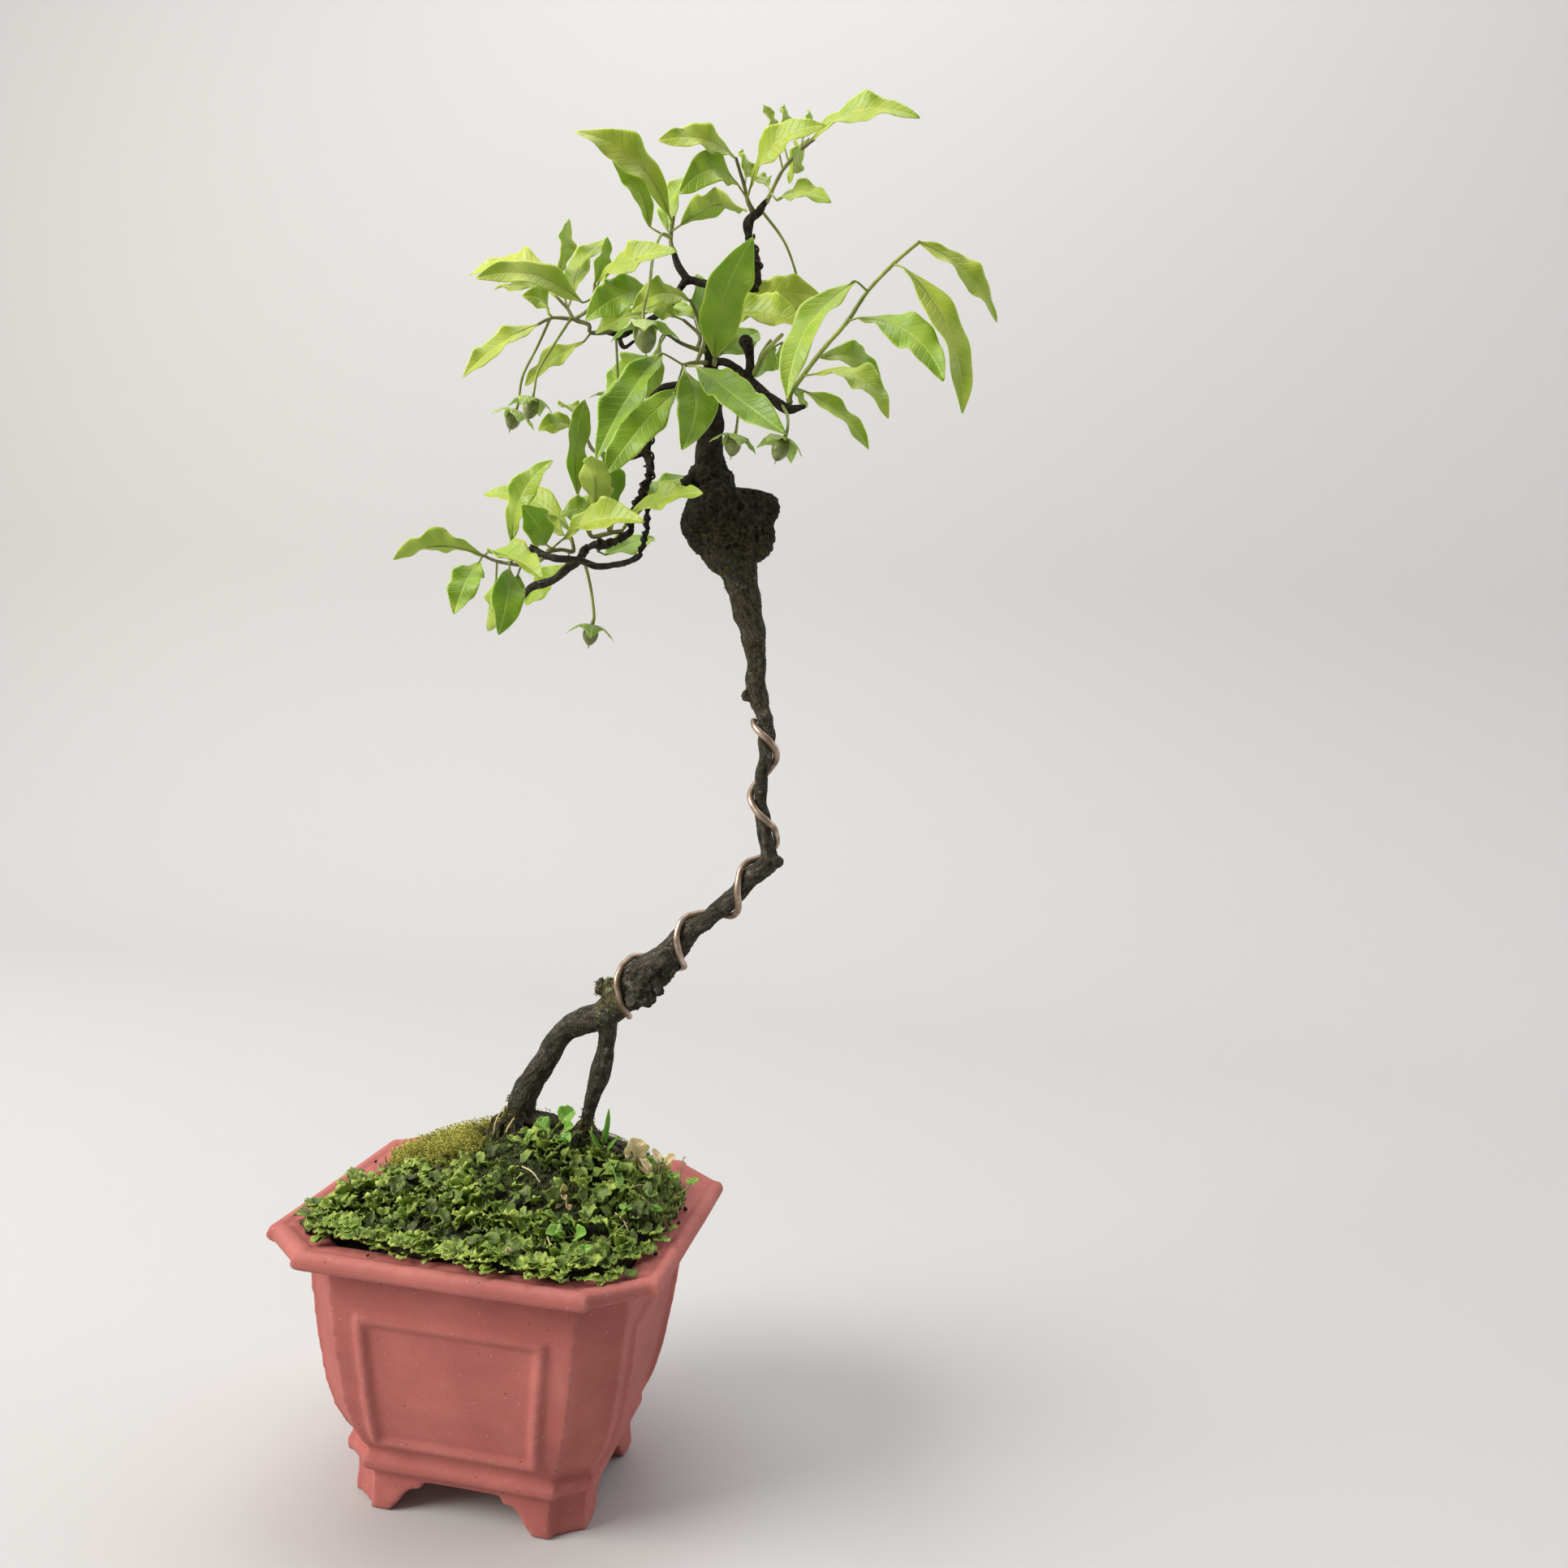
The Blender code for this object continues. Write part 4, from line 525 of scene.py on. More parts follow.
def remeshed(name, parts, voxel, smoothing=0.0, rounds=0):
    # melts overlapping closed parts into one skin; returns it as points in millimetres and faces
    holder = meshObject(name, *joined(parts))
    skin = holder.modifiers.new("skin", "REMESH")
    skin.mode = "VOXEL"
    skin.voxel_size = voxel
    if rounds:
        ease = holder.modifiers.new("ease", "SMOOTH")
        ease.factor = smoothing
        ease.iterations = rounds
    graph = bpy.context.evaluated_depsgraph_get()
    made = bpy.data.meshes.new_from_object(holder.evaluated_get(graph))
    points = np.zeros(len(made.vertices) * 3)
    made.vertices.foreach_get("co", points)
    normals = np.zeros(len(made.vertices) * 3)
    made.vertices.foreach_get("normal", normals)
    skinFaces = [list(face.vertices) for face in made.polygons]
    bpy.data.objects.remove(holder, do_unlink=True)
    bpy.data.meshes.remove(made)
    return points.reshape(-1, 3), normals.reshape(-1, 3), skinFaces


def edgeMarks(points, normals, faces, rounds=2):
    # how far each point stands out from its neighbours: the edges that hands and brushes rub
    pairs = np.array([(a, b) for face in faces for a, b in zip(face, face[1:] + face[:1])])
    count = np.bincount(pairs.ravel(), minlength=len(points))[:, None]
    values = None
    for _ in range(rounds):
        sums = np.zeros((len(points), 3 if values is None else 1))
        source = points if values is None else values
        np.add.at(sums, pairs[:, 0], source[pairs[:, 1]])
        np.add.at(sums, pairs[:, 1], source[pairs[:, 0]])
        if values is None:
            values = ((points - sums / count) * normals).sum(axis=1)[:, None]
        else:
            values = (values + sums / count) / 2
    return values


# Pot

potDesign = {
    "halfX": (potHigh.x - potLow.x) / 2 / mm,  # 80
    "halfY": (potHigh.y - potLow.y) / 2 / mm,  # 70
    "archHeight": 14.0,
    "drainRadius": 7.0,
    "drainPlaces": (-24.0, 24.0),
    "bandRadius": 2.7,
    "bandSunk": 0.6,
    "bandLow": 33.0,
    "bandHigh": 87.0,
    "unevenness": 0.35,  # the hand-pressed wall wanders this much
    "voxel": 1.0,
    "kept": 0.6,  # share of the faces that stays
}
# height, and how far the wall stands in from the rim's edge
wallOut = [
    (0.0, 30.2), (9.0, 31.0), (16.8, 30.8), (17.8, 28.0), (19.4, 27.0), (22.4, 27.0), (24.2, 28.2),
    (25.2, 29.6), (30.0, 26.4), (38.0, 22.8), (50.0, 19.6), (70.0, 16.7), (92.0, 14.5), (106.0, 13.6),
]
lip = [
    (108.2, 4.5), (109.2, 1.2), (110.6, 0.0), (113.6, 0.0), (115.4, 0.9), (116.0, 2.6),
    (115.9, 4.6), (114.9, 5.6), (114.8, 6.8), (115.3, 7.8), (115.0, 12.5),
]
wallIn = [(113.4, 15.4), (100.0, 19.0), (70.0, 21.5), (45.0, 25.0), (28.0, 32.0), (23.0, 37.0)]


def plan(inset, straight, step):
    # four straight sides, and a diagonal face set in by a small step at each corner
    halfX, halfY = potDesign["halfX"] - inset, potDesign["halfY"] - inset
    runX, runY = halfX * straight, halfY * straight
    quarter = [(halfX, runY), (halfX - step, runY), (runX, halfY - step), (runX, halfY)]
    outline = quarter + [(-x, y) for x, y in reversed(quarter)]
    return outline + [(-x, -y) for x, y in outline[:4]] + [(x, -y) for x, y in reversed(quarter)]


def loftPart(rings):
    points = np.array([point for ring in rings for point in ring], float)
    return {"points": points, "faces": ringFaces(len(rings), len(rings[0]))}


def potRings(rows, straight, step):
    return [[(x, y, z) for x, y in plan(inset, straight, step)] for z, inset in rows]


def bandPart(side):
    # the raised, rounded band round the panel of one wall, following the wall's curve
    low, high = potDesign["bandLow"], potDesign["bandHigh"]
    halfLow, halfHigh = (33.0, 37.0) if side % 2 == 0 else (26.0, 30.0)
    reach = potDesign["halfY"] if side % 2 == 0 else potDesign["halfX"]
    heights, insets = zip(*wallOut)
    levels = np.linspace(low, high, 19)
    right = [(halfLow + (halfHigh - halfLow) * (z - low) / (high - low), z) for z in levels]
    upper = [(x, high) for x in np.linspace(halfHigh, -halfHigh, 20)[1:-1]]
    lower = [(x, low) for x in np.linspace(-halfLow, halfLow, 20)[1:-1]]
    turn = Matrix.Rotation(math.radians(90 * side), 3, "Z")
    route = []
    for x, z in right + upper + [(-x, z) for x, z in reversed(right)] + lower:
        depth = reach - np.interp(z, heights, insets) - potDesign["bandSunk"]
        route.append((*(turn @ Vector((x, -depth, z))), potDesign["bandRadius"]))
    return tubePart(route + route[:3], 12, flat=True)


def archOutline(halfRun):
    # bracket arch between two feet, with its cusp
    high = potDesign["archHeight"]
    right = [(halfRun, -1.0), (halfRun, 0.5), (halfRun - 1.6, 1.6), (halfRun - 3.5, 4.0),
             (halfRun - 4.6, 6.2),
             (halfRun - 6.2, 8.3), (halfRun - 8.4, 9.8), (halfRun - 10.5, 10.4), (halfRun - 12.6, 10.5),
             (halfRun - 13.2, 11.6), (halfRun - 14.0, high)]
    return right + [(-x, z) for x, z in reversed(right)]


def cutAway(points, faces, cutters):
    # takes closed shapes out of one closed shape
    base = meshObject("shape", points, faces)
    tools = [meshObject("shape", part["points"], part["faces"]) for part in cutters]
    for tool in tools:
        cut = base.modifiers.new("cut", "BOOLEAN")
        cut.object = tool
        cut.operation = "DIFFERENCE"
        cut.solver = "EXACT"
    made = bpy.data.meshes.new_from_object(base.evaluated_get(bpy.context.evaluated_depsgraph_get()))
    left = {"points": np.array([v.co for v in made.vertices]),
            "faces": [list(f.vertices) for f in made.polygons]}
    for shape in [base] + tools:
        bpy.data.objects.remove(shape, do_unlink=True)
    bpy.data.meshes.remove(made)
    return left


def makePot():
    shell = loftPart(potRings(wallOut, 0.765, 2.4) + potRings(lip, 0.73, 3.0) + potRings(wallIn, 0.74, 1.2))
    halfX, halfY, high = potDesign["halfX"], potDesign["halfY"], potDesign["archHeight"]
    alongFront = loftPart([[(x, y, z) for x, z in archOutline(30.0)] for y in (-halfY, halfY)])
    alongSide = loftPart([[(x, y, z) for y, z in archOutline(19.5)] for x in (-halfX, halfX)])
    hollow = loftPart([[(41, 31, z), (-41, 31, z), (-41, -31, z), (41, -31, z)] for z in (-1.0, high)])
    drains = []
    for x in potDesign["drainPlaces"]:
        hole = [(x, 0.0, 0.0, potDesign["drainRadius"]), (x, 0.0, 40.0, potDesign["drainRadius"])]
        drains.append(tubePart(hole, 32, flat=True))
    body = cutAway(shell["points"], shell["faces"], [alongFront, alongSide, hollow] + drains)
    bands = [bandPart(side) for side in range(4)]
    points, normals, faces = remeshed("potSkin", [body] + bands, potDesign["voxel"], 0.5, 8)
    wear = np.clip(edgeMarks(points, normals, faces) * 9.0 - 0.12, 0.0, 1.0)
    sway = [noise.noise(Vector(p) / 38.0) for p in points]
    foot = np.clip(points[:, 2] / 6.0, 0.0, 1.0)
    points = points + normals * (np.array(sway) * potDesign["unevenness"] * foot)[:, None]
    points[:, 2] = np.maximum(points[:, 2], 0.0)
    pot = addPiece("clayPot", [{"points": points, "faces": faces, "marks": {"edgeWear": wear}}], clay,
                   ["pot"])
    # the wall's hidden inside needs fewer points than the outside
    hidden = pot.vertex_groups.new(name="hidden")
    inside = (np.abs(points[:, 0]) < halfX - 17) & (np.abs(points[:, 1]) < halfY - 17) & (points[:, 2] > 16)
    hidden.add([int(i) for i in np.nonzero(inside)[0]], 1.0, "REPLACE")
    thin = pot.modifiers.new("thin", "DECIMATE")
    thin.ratio = potDesign["kept"]
    thin.vertex_group = "hidden"
    thin.vertex_group_factor = 0.5
    return pot


makePot()
for number in (1, 2):
    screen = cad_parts["drain_screen_%d" % number]
    screen.data.materials.clear()
    screen.data.materials.append(screenMesh)
print("pot made")


# Wood: the same routes as the part's source, drawn finer

stem = [
    (-9, 22, 116, 6.0), (-8, 20, 127, 6.6), (-8, 20, 138, 6.4), (-5, 19, 148, 5.6), (-1, 18, 160, 5.4),
    (5, 17, 169, 4.9), (13, 16, 184, 4.7), (22, 15, 191, 5.6), (33, 14, 196, 5.6), (42, 12, 206, 7.4),
    (50, 10, 214, 8.0), (58, 9, 221, 7.0), (67, 7, 233, 4.4), (77, 5, 242, 3.7), (87, 4, 251, 3.6),
    (94, 3, 260, 3.7), (101, 2, 267, 3.9), (100, 1, 277, 3.1), (97, 0, 292, 2.6),
    (98, 0, 310, 2.7), (98, 0, 318, 3.2), (96, 0, 326, 3.2), (93, 0, 335, 3.8), (92, 0, 348, 3.9),
    (90, 0, 358, 4.8), (87, 0, 368, 5.7), (84, 0, 379, 6.6), (81, 0, 388, 8.0), (80, 0, 394, 8.4),
    (78, 0, 401, 8.4), (78, 0, 408, 8.0), (77, 0, 412, 7.4), (72, 0, 415, 6.8), (70, 0, 419, 6.4),
    (69, 0, 431, 4.8), (70, 0, 437, 4.0), (70, 0, 444, 3.0), (70, 0, 452, 2.5), (67, 0, 461, 2.2),
    (68, 0, 471, 2.0), (72, 2, 481, 2.0), (78, 3, 488, 2.0), (83, 2, 493, 2.0), (83, 0, 499, 2.1),
    (81, 0, 504, 1.9), (80, 0, 509, 1.8), (80, 0, 515, 2.0), (83, 0, 518, 1.9), (86, 1, 522, 1.3),
]
secondLeg = [
    (20, 28, 118, 3.6), (22, 27, 128, 3.5), (22, 26, 138, 3.2), (24, 25, 148, 2.8), (27, 22, 159, 3.4),
    (30, 20, 168, 4.4), (33, 17, 181, 3.6), (35, 13, 196, 3.8),
]
surfaceRoots = [
    [(23, 25, 141, 1.8), (34, 25, 138, 1.4), (47, 24, 132, 1.2), (63, 22, 121, 1.0)],
    [(23, 24, 139, 1.6), (34, 19, 138, 1.2), (45, 17, 133, 1.0), (55, 18, 127, 0.8)],
]
lowBranch = [
    (70, 0, 451, 2.3), (62, -2, 451, 2.2), (56, -4, 451, 1.9), (49, -5, 449, 1.8), (46, -6, 443, 1.7),
    (46, -7, 432, 1.7), (46, -8, 424, 1.7), (48, -9, 419, 1.7), (47, -10, 413, 1.6), (44, -10, 405, 1.6),
    (41, -10, 399, 1.5), (41, -10, 394, 1.5), (37, -10, 391, 1.5), (33, -10, 389, 1.6), (29, -12, 388, 1.7),
    (25, -13, 386, 1.7), (22, -14, 381, 1.6), (18, -15, 378, 1.7), (14, -16, 374, 1.6), (10, -17, 372, 1.6),
    (5, -18, 370, 1.5), (2, -19, 366, 1.3),
]
lowSideBranch = [
    (46, -9, 411, 1.5), (48, -10, 400, 1.1), (48, -12, 392, 1.2), (47, -14, 385, 1.3), (44, -16, 382, 1.2),
    (38, -18, 380, 1.2), (32, -20, 379, 1.3), (25, -21, 381, 1.3), (18, -22, 381, 1.4), (12, -22, 382, 1.5),
    (6, -22, 384, 1.9),
]
forkStub = [(42, 12, 203, 2.2), (36, 10, 208, 1.9), (31, 9, 210, 1.3)]
stubBranch = [(46, -8, 425, 1.4), (40, -8, 423, 1.3), (35, -8, 421, 1.2)]
leftBranch = [
    (83, 1, 492, 1.7), (75, 2, 490, 1.6), (63, 3, 492, 1.6), (56, 2, 493, 1.6), (53, 1, 489, 1.4),
    (50, 0, 483, 1.3), (42, -2, 476, 1.2), (36, -4, 472, 1.3), (32, -5, 470, 1.3), (27, -6, 471, 1.1),
]
leftHook = [(31, -5, 470, 1.0), (34, -6, 465, 0.9), (38, -7, 467, 0.8)]
leftRiser = [(56, 2, 493, 1.5), (53, 1, 497, 1.5), (51, 1, 501, 1.4), (50, 0, 504, 1.1)]
rightBranch = [
    (67, 0, 461, 1.8), (73, -2, 461, 1.4), (79, -3, 458, 1.6), (84, -4, 454, 1.7), (88, -5, 451, 1.7),
    (93, -6, 447, 1.6), (97, -7, 444, 1.9), (101, -8, 442, 1.8), (107, -9, 443, 0.9),
]
rightStub = [(84, -4, 454, 1.7), (84, -4, 461, 1.6), (83, -4, 466, 2.2), (82, -4, 468, 2.7)]
# lumps of bark on the stem, with their radius
lumps = [
    (105, 0, 268, 2.6), (64, 0, 419, 3.0), (90, -2, 333, 2.4), (61.5, 0, 414, 3.6),
    # the gall, wider above and narrowing down into the stem
    (76.5, 0, 400, 16.2), (83.4, 0, 403.6, 12.6), (87, -1, 394.5, 9.8), (79.5, 0, 390.5, 11.8),
         (68.6, 1, 399, 9.6),
    (90.5, 1, 405.5, 7.0), (82, 4, 383, 7.4), (75, -7, 405, 9.6), (86, -6, 400, 8.0), (79, 8, 399, 10.0),
    # the burl above the fork, and the knobby stub beside it
    (52, 3, 212, 5.2), (54, 2, 208, 3.8), (58, 3, 215.5, 3.2), (48, 5, 205, 3.6), (55, 2, 218, 3.8),
         (59.5, 1, 211.5, 1.8),
    (38, 11, 206, 3.2), (34.5, 10, 206, 2.6), (36, 10, 210, 2.3), (31.5, 9, 207, 1.9), (32, 9, 211, 1.2),
    (40, 9, 200, 3.4),
]
# strands that the leg bases split into, the root that joins them, and fine roots in the moss
rootStrands = [
    [(-8, 20, 140, 4.4), (-13, 15, 137, 3.2), (-19, 9, 134, 2.2), (-26, 3, 130, 1.2)],
    [(-7, 19, 142, 4.0), (-3, 13, 139, 3.0), (1, 8, 136, 2.0), (6, 3, 133, 1.0)],
    [(-9, 21, 140, 4.4), (-16, 22, 137, 3.0), (-24, 24, 133, 1.6), (-32, 26, 130, 0.9)],
    [(-6, 19, 146, 4.2), (0, 19, 145.5, 3.7), (6, 19, 145, 3.5), (11, 19.5, 144.5, 3.2),
     (14, 20, 142.5, 2.6),
     (15, 20, 138, 1.8)],
    [(23, 24, 143, 2.0), (30, 20, 140, 1.3), (36, 18.5, 138, 1.1), (42, 17, 135, 1.0),
     (48, 15.5, 131.5, 0.9),
     (54, 14, 127, 0.7)],
    [(24, 25, 141, 1.8), (31, 22, 138.5, 1.0), (38, 21, 136, 0.8), (46, 20, 132.5, 0.7),
     (53, 19, 127, 0.6)],
    [(-10, 16, 146, 1.0), (-11, 13, 140, 0.8), (-12, 10, 134, 0.6)],
    [(-5, 16, 146, 0.9), (-4, 12, 140, 0.7), (-5, 9, 134, 0.5)],
    [(20, 24, 142, 1.0), (17, 21, 138, 0.8), (14, 19, 134, 0.6)],
    [(26, 24, 142, 1.0), (29, 22, 138, 0.8), (31, 19, 134, 0.6)],
    [(21, 26, 139, 2.6), (17, 20, 138, 1.8), (14, 14, 136, 1.1), (12, 9, 134, 0.8)],
    [(22, 26, 140, 2.8), (26, 20, 137, 1.8), (29, 13, 134, 1.2), (31, 6, 132, 0.8)],
    [(23, 27, 139, 2.6), (29, 32, 136, 1.8), (37, 38, 131, 1.0)],
]
barkDesign = {
    "voxel": 0.48,
    "fissure": 0.42,  # depth of the lengthwise cracks
    "plateAcross": 1.5,
    "plateAlong": 4.5,
    "wartHeight": 1.0,  # the gall's warts
    "gallLow": 385.0,
    "gallHigh": 417.0,
    "kept": 0.45,
}


def fineRoots(x, y, z, reach, count, seed):
    # thin roots that leave the leg low down, arch outward and run into the moss
    rows = []
    for number in range(count):
        turn = 2.4 * number + seed
        drift = 0.5 * math.sin(turn * 3.7 + seed)
        far = reach * (0.75 + 0.5 * abs(math.sin(turn * 5.1)))
        high = 4.0 + 4.0 * abs(math.cos(turn * 2.3))
        slim = 0.42 + 0.3 * abs(math.sin(turn * 1.9))
        rows.append([(x + reach * 0.3 * math.cos(turn), y + reach * 0.3 * math.sin(turn), z + high, slim),
                     (x + far * 0.7 * math.cos(turn + drift * 0.5),
                      y + far * 0.7 * math.sin(turn + drift * 0.5),
                      z + high * 0.5, slim * 0.85),
                     (x + far * math.cos(turn + drift), y + far * math.sin(turn + drift), z - 3.0,
                      slim * 0.7)])
    return rows


def lumpPart(x, y, z, radius):
    bm = bmesh.new()
    bmesh.ops.create_icosphere(bm, subdivisions=4, radius=1.0)
    points = []
    for vert in bm.verts:
        spot = Vector((x, y, z)) + vert.co * radius
        points.append(spot + vert.co * 0.5 * noise.noise(spot / 5.0))
    faces = [[vert.index for vert in face.verts] for face in bm.faces]
    bm.free()
    return {"points": np.array(points), "faces": faces}


def makeTrunk():
    limbs = [secondLeg, lowBranch, lowSideBranch, stubBranch, leftBranch, leftHook, leftRiser, rightBranch,
             rightStub, forkStub] + surfaceRoots + rootStrands
    limbs += fineRoots(-8.0, 19.0, 139.0, 11.0, 22, 0.3) + fineRoots(23.0, 24.0, 138.0, 7.0, 14, 1.1)
    routes = [smoothRoute(route) for route in [stem] + limbs]
    parts = [tubePart(routes[0], 28, 1.1, 6.0)]
    parts += [tubePart(route, 16, 0.3, 4.0) for route in routes[1:]]
    parts += [lumpPart(*row) for row in lumps]
    points, normals, faces = remeshed("barkSkin", parts, barkDesign["voxel"], 0.5, 2)
    # every point's place along and round its limb, so that the cracks run lengthwise
    rows = np.vstack(routes)
    runs = np.concatenate([np.concatenate([[0],
                                           np.cumsum(np.linalg.norm(np.diff(r[:, :3], axis=0), axis=1))])
                           + 97.0 * number for number, r in enumerate(routes)])
    tree = KDTree(len(rows))
    for index, row in enumerate(rows):
        tree.insert(row[:3], index)
    tree.balance()
    places, moves, mossy, sooty = [], [], [], []
    across, lengthwise = barkDesign["plateAcross"], barkDesign["plateAlong"]
    for point, normal in zip(points, normals):
        _, index, _ = tree.find(point)
        outward = point - rows[index][:3]
        place = Vector((*(outward[:2] / across), outward[2] / across + runs[index] / lengthwise))
        places.append(place)
        thick = min(1.0, rows[index][3] / 4.0)
        crack = 1.0 - 2.2 * abs(noise.noise(place)) + 0.5 * noise.noise(place * 2.7)
        move = barkDesign["fissure"] * thick * (crack - 0.4)
        z = point[2]
        burl = 44 < point[0] < 66 and 202 < z < 221
        if burl or barkDesign["gallLow"] < z < barkDesign["gallHigh"]:
            move += barkDesign["wartHeight"] * (0.5 - abs(noise.noise(Vector(point) / 3.1)) * 2.6)
        moves.append(move)
        low = max(0.0, 1.0 - (z - 132.0) / 26.0) if z < 158 else 0.0
        gall = 0.55 if 325 < z < 398 and point[0] > 70 else 0.0
        stubGrowth = 1.0 if point[0] < 43 and 199 < z < 214 and point[1] < 16 else 0.0
        mossy.append([max(low, gall, stubGrowth, 0.25)])
        cutFace = 1.0 - math.dist(point, (60, 1, 216)) / 6.0
        sooty.append([min(1.0, max(0.0, (z - 376.0) / 18.0, cutFace))])
    points = points + normals * np.array(moves)[:, None]
    shoulder = (points[:, 2] > 411.5) & (points[:, 2] < 424) & (points[:, 0] > 78.5)
    points[shoulder, 2] = 411.5 + (points[shoulder, 2] - 411.5) * 0.3
    marks = {"barkPlace": np.array(places), "barkMoss": np.array(mossy), "barkSoot": np.array(sooty)}
    trunk = addPiece("barkTrunk", [{"points": points, "faces": faces, "marks": marks}], bark,
                     ["trunk"])
    # flat stretches need fewer points than cracks and warts
    trunk.modifiers.new("thin", "DECIMATE").ratio = barkDesign["kept"]
    return BVHTree.FromPolygons(points.tolist(), faces)


woodTree = makeTrunk()
print("trunk made")


# Wires: helixes pushed out until they lie on the bark

wireDesign = {
    "training": {"radius": 1.35, "gap": 0.15, "first": 0.8, "last": 5.25, "steps": 22, "sides": 16},
    "thin": {"radius": 0.5, "gap": 0.15, "first": 0.3, "last": 6.1, "steps": 16, "sides": 10},
    "top": {"radius": 0.5, "gap": 0.15, "first": 0.3, "last": 3.8, "steps": 16, "sides": 10},
}
# shares of the limb's length where the wire crosses its front, one turn apart
trainingTurns = [0.170, 0.240, 0.312, 0.386, 0.4615, 0.528, 0.590]
branchTurns = [0.20, 0.25, 0.31, 0.36, 0.42, 0.48, 0.54, 0.60, 0.66]
topTurns = [0.915, 0.930, 0.945, 0.958, 0.970]


def alongRoute(route, share):
    points = [Vector(row[:3]) for row in route]
    lengths = [(b - a).length for a, b in zip(points, points[1:])]
    rest = share * sum(lengths)
    for index, length in enumerate(lengths):
        if rest <= length or index == len(lengths) - 1:
            part = min(1.0, rest / length)
            return points[index].lerp(points[index + 1], part), route[index][3]
        rest -= length


def clearOf(point, distance):
    for _ in range(12):
        near, normal, _, gap = woodTree.find_nearest(point)
        away = point - near
        inside = away.dot(normal) < 0
        if gap >= distance and not inside:
            return point
        if inside or away.length < 0.01:
            away = normal
        point = near + away.normalized() * (distance + 0.02)
    return point


def makeCoil(name, node, axis, places, design, material):
    rows = []
    count = int((design["last"] - design["first"]) * design["steps"])
    distance = design["radius"] + design["gap"]
    for i in range(count + 1):
        phase = design["first"] + (design["last"] - design["first"]) * i / count
        low = max(0, min(len(places) - 2, math.floor(phase)))
        share = min(0.999, max(0.001, places[low] + (places[low + 1] - places[low]) * (phase - low)))
        here, thick = alongRoute(axis, share)
        ahead, _ = alongRoute(axis, min(1.0, share + 0.004))
        direction = (ahead - here).normalized()
        front = frontPlace - here
        facing = (front - direction * front.dot(direction)).normalized()
        angle = phase * 2 * math.pi
        outward = facing * math.cos(angle) + facing.cross(direction) * math.sin(angle)
        hit, _, _, _ = woodTree.ray_cast(here + outward * (thick * 1.6 + 6.0), -outward, 30.0)
        rows.append(clearOf((hit or here + outward * thick) + outward * design["radius"], distance))
    for _ in range(6):
        eased = [(a + b * 2 + c) / 4 for a, b, c in zip(rows, rows[1:], rows[2:])]
        rows = [rows[0]] + [clearOf(spot, distance) for spot in eased] + [rows[-1]]
    route = smoothRoute([(*spot, design["radius"]) for spot in rows], 0.8)
    return addPiece(name, [tubePart(route, design["sides"])], material, [node])


makeCoil("copperTrainingWire", "training_wire", stem, trainingTurns, wireDesign["training"], copperWire)
makeCoil("thinWireBranch", "wire_branch", lowBranch, branchTurns, wireDesign["thin"], darkWire)
makeCoil("thinWireTop", "wire_top", stem, topTurns, wireDesign["top"], darkWire)
print("wires made")


# Leaves

leafDesign = {
    "rows": 31,
    "columns": 13,
    "thickness": 0.35,
    "wave": 0.13,
    "stalkRadius": 0.45,
    "twigShare": 0.84,
    "curl": 7.0,  # degrees that a blade twists from base to tip, either way
}
# share of the blade's length, and share of its width there
broadShape = [(0.0, 0.09), (0.07, 0.3), (0.19, 0.63), (0.34, 0.9), (0.5, 1.0), (0.66, 0.9), (0.8, 0.66),
              (0.92, 0.35),
              (1.0, 0.05)]
roundShape = [(0.0, 0.35), (0.15, 0.8), (0.4, 1.0), (0.7, 0.92), (0.9, 0.6), (1.0, 0.3)]


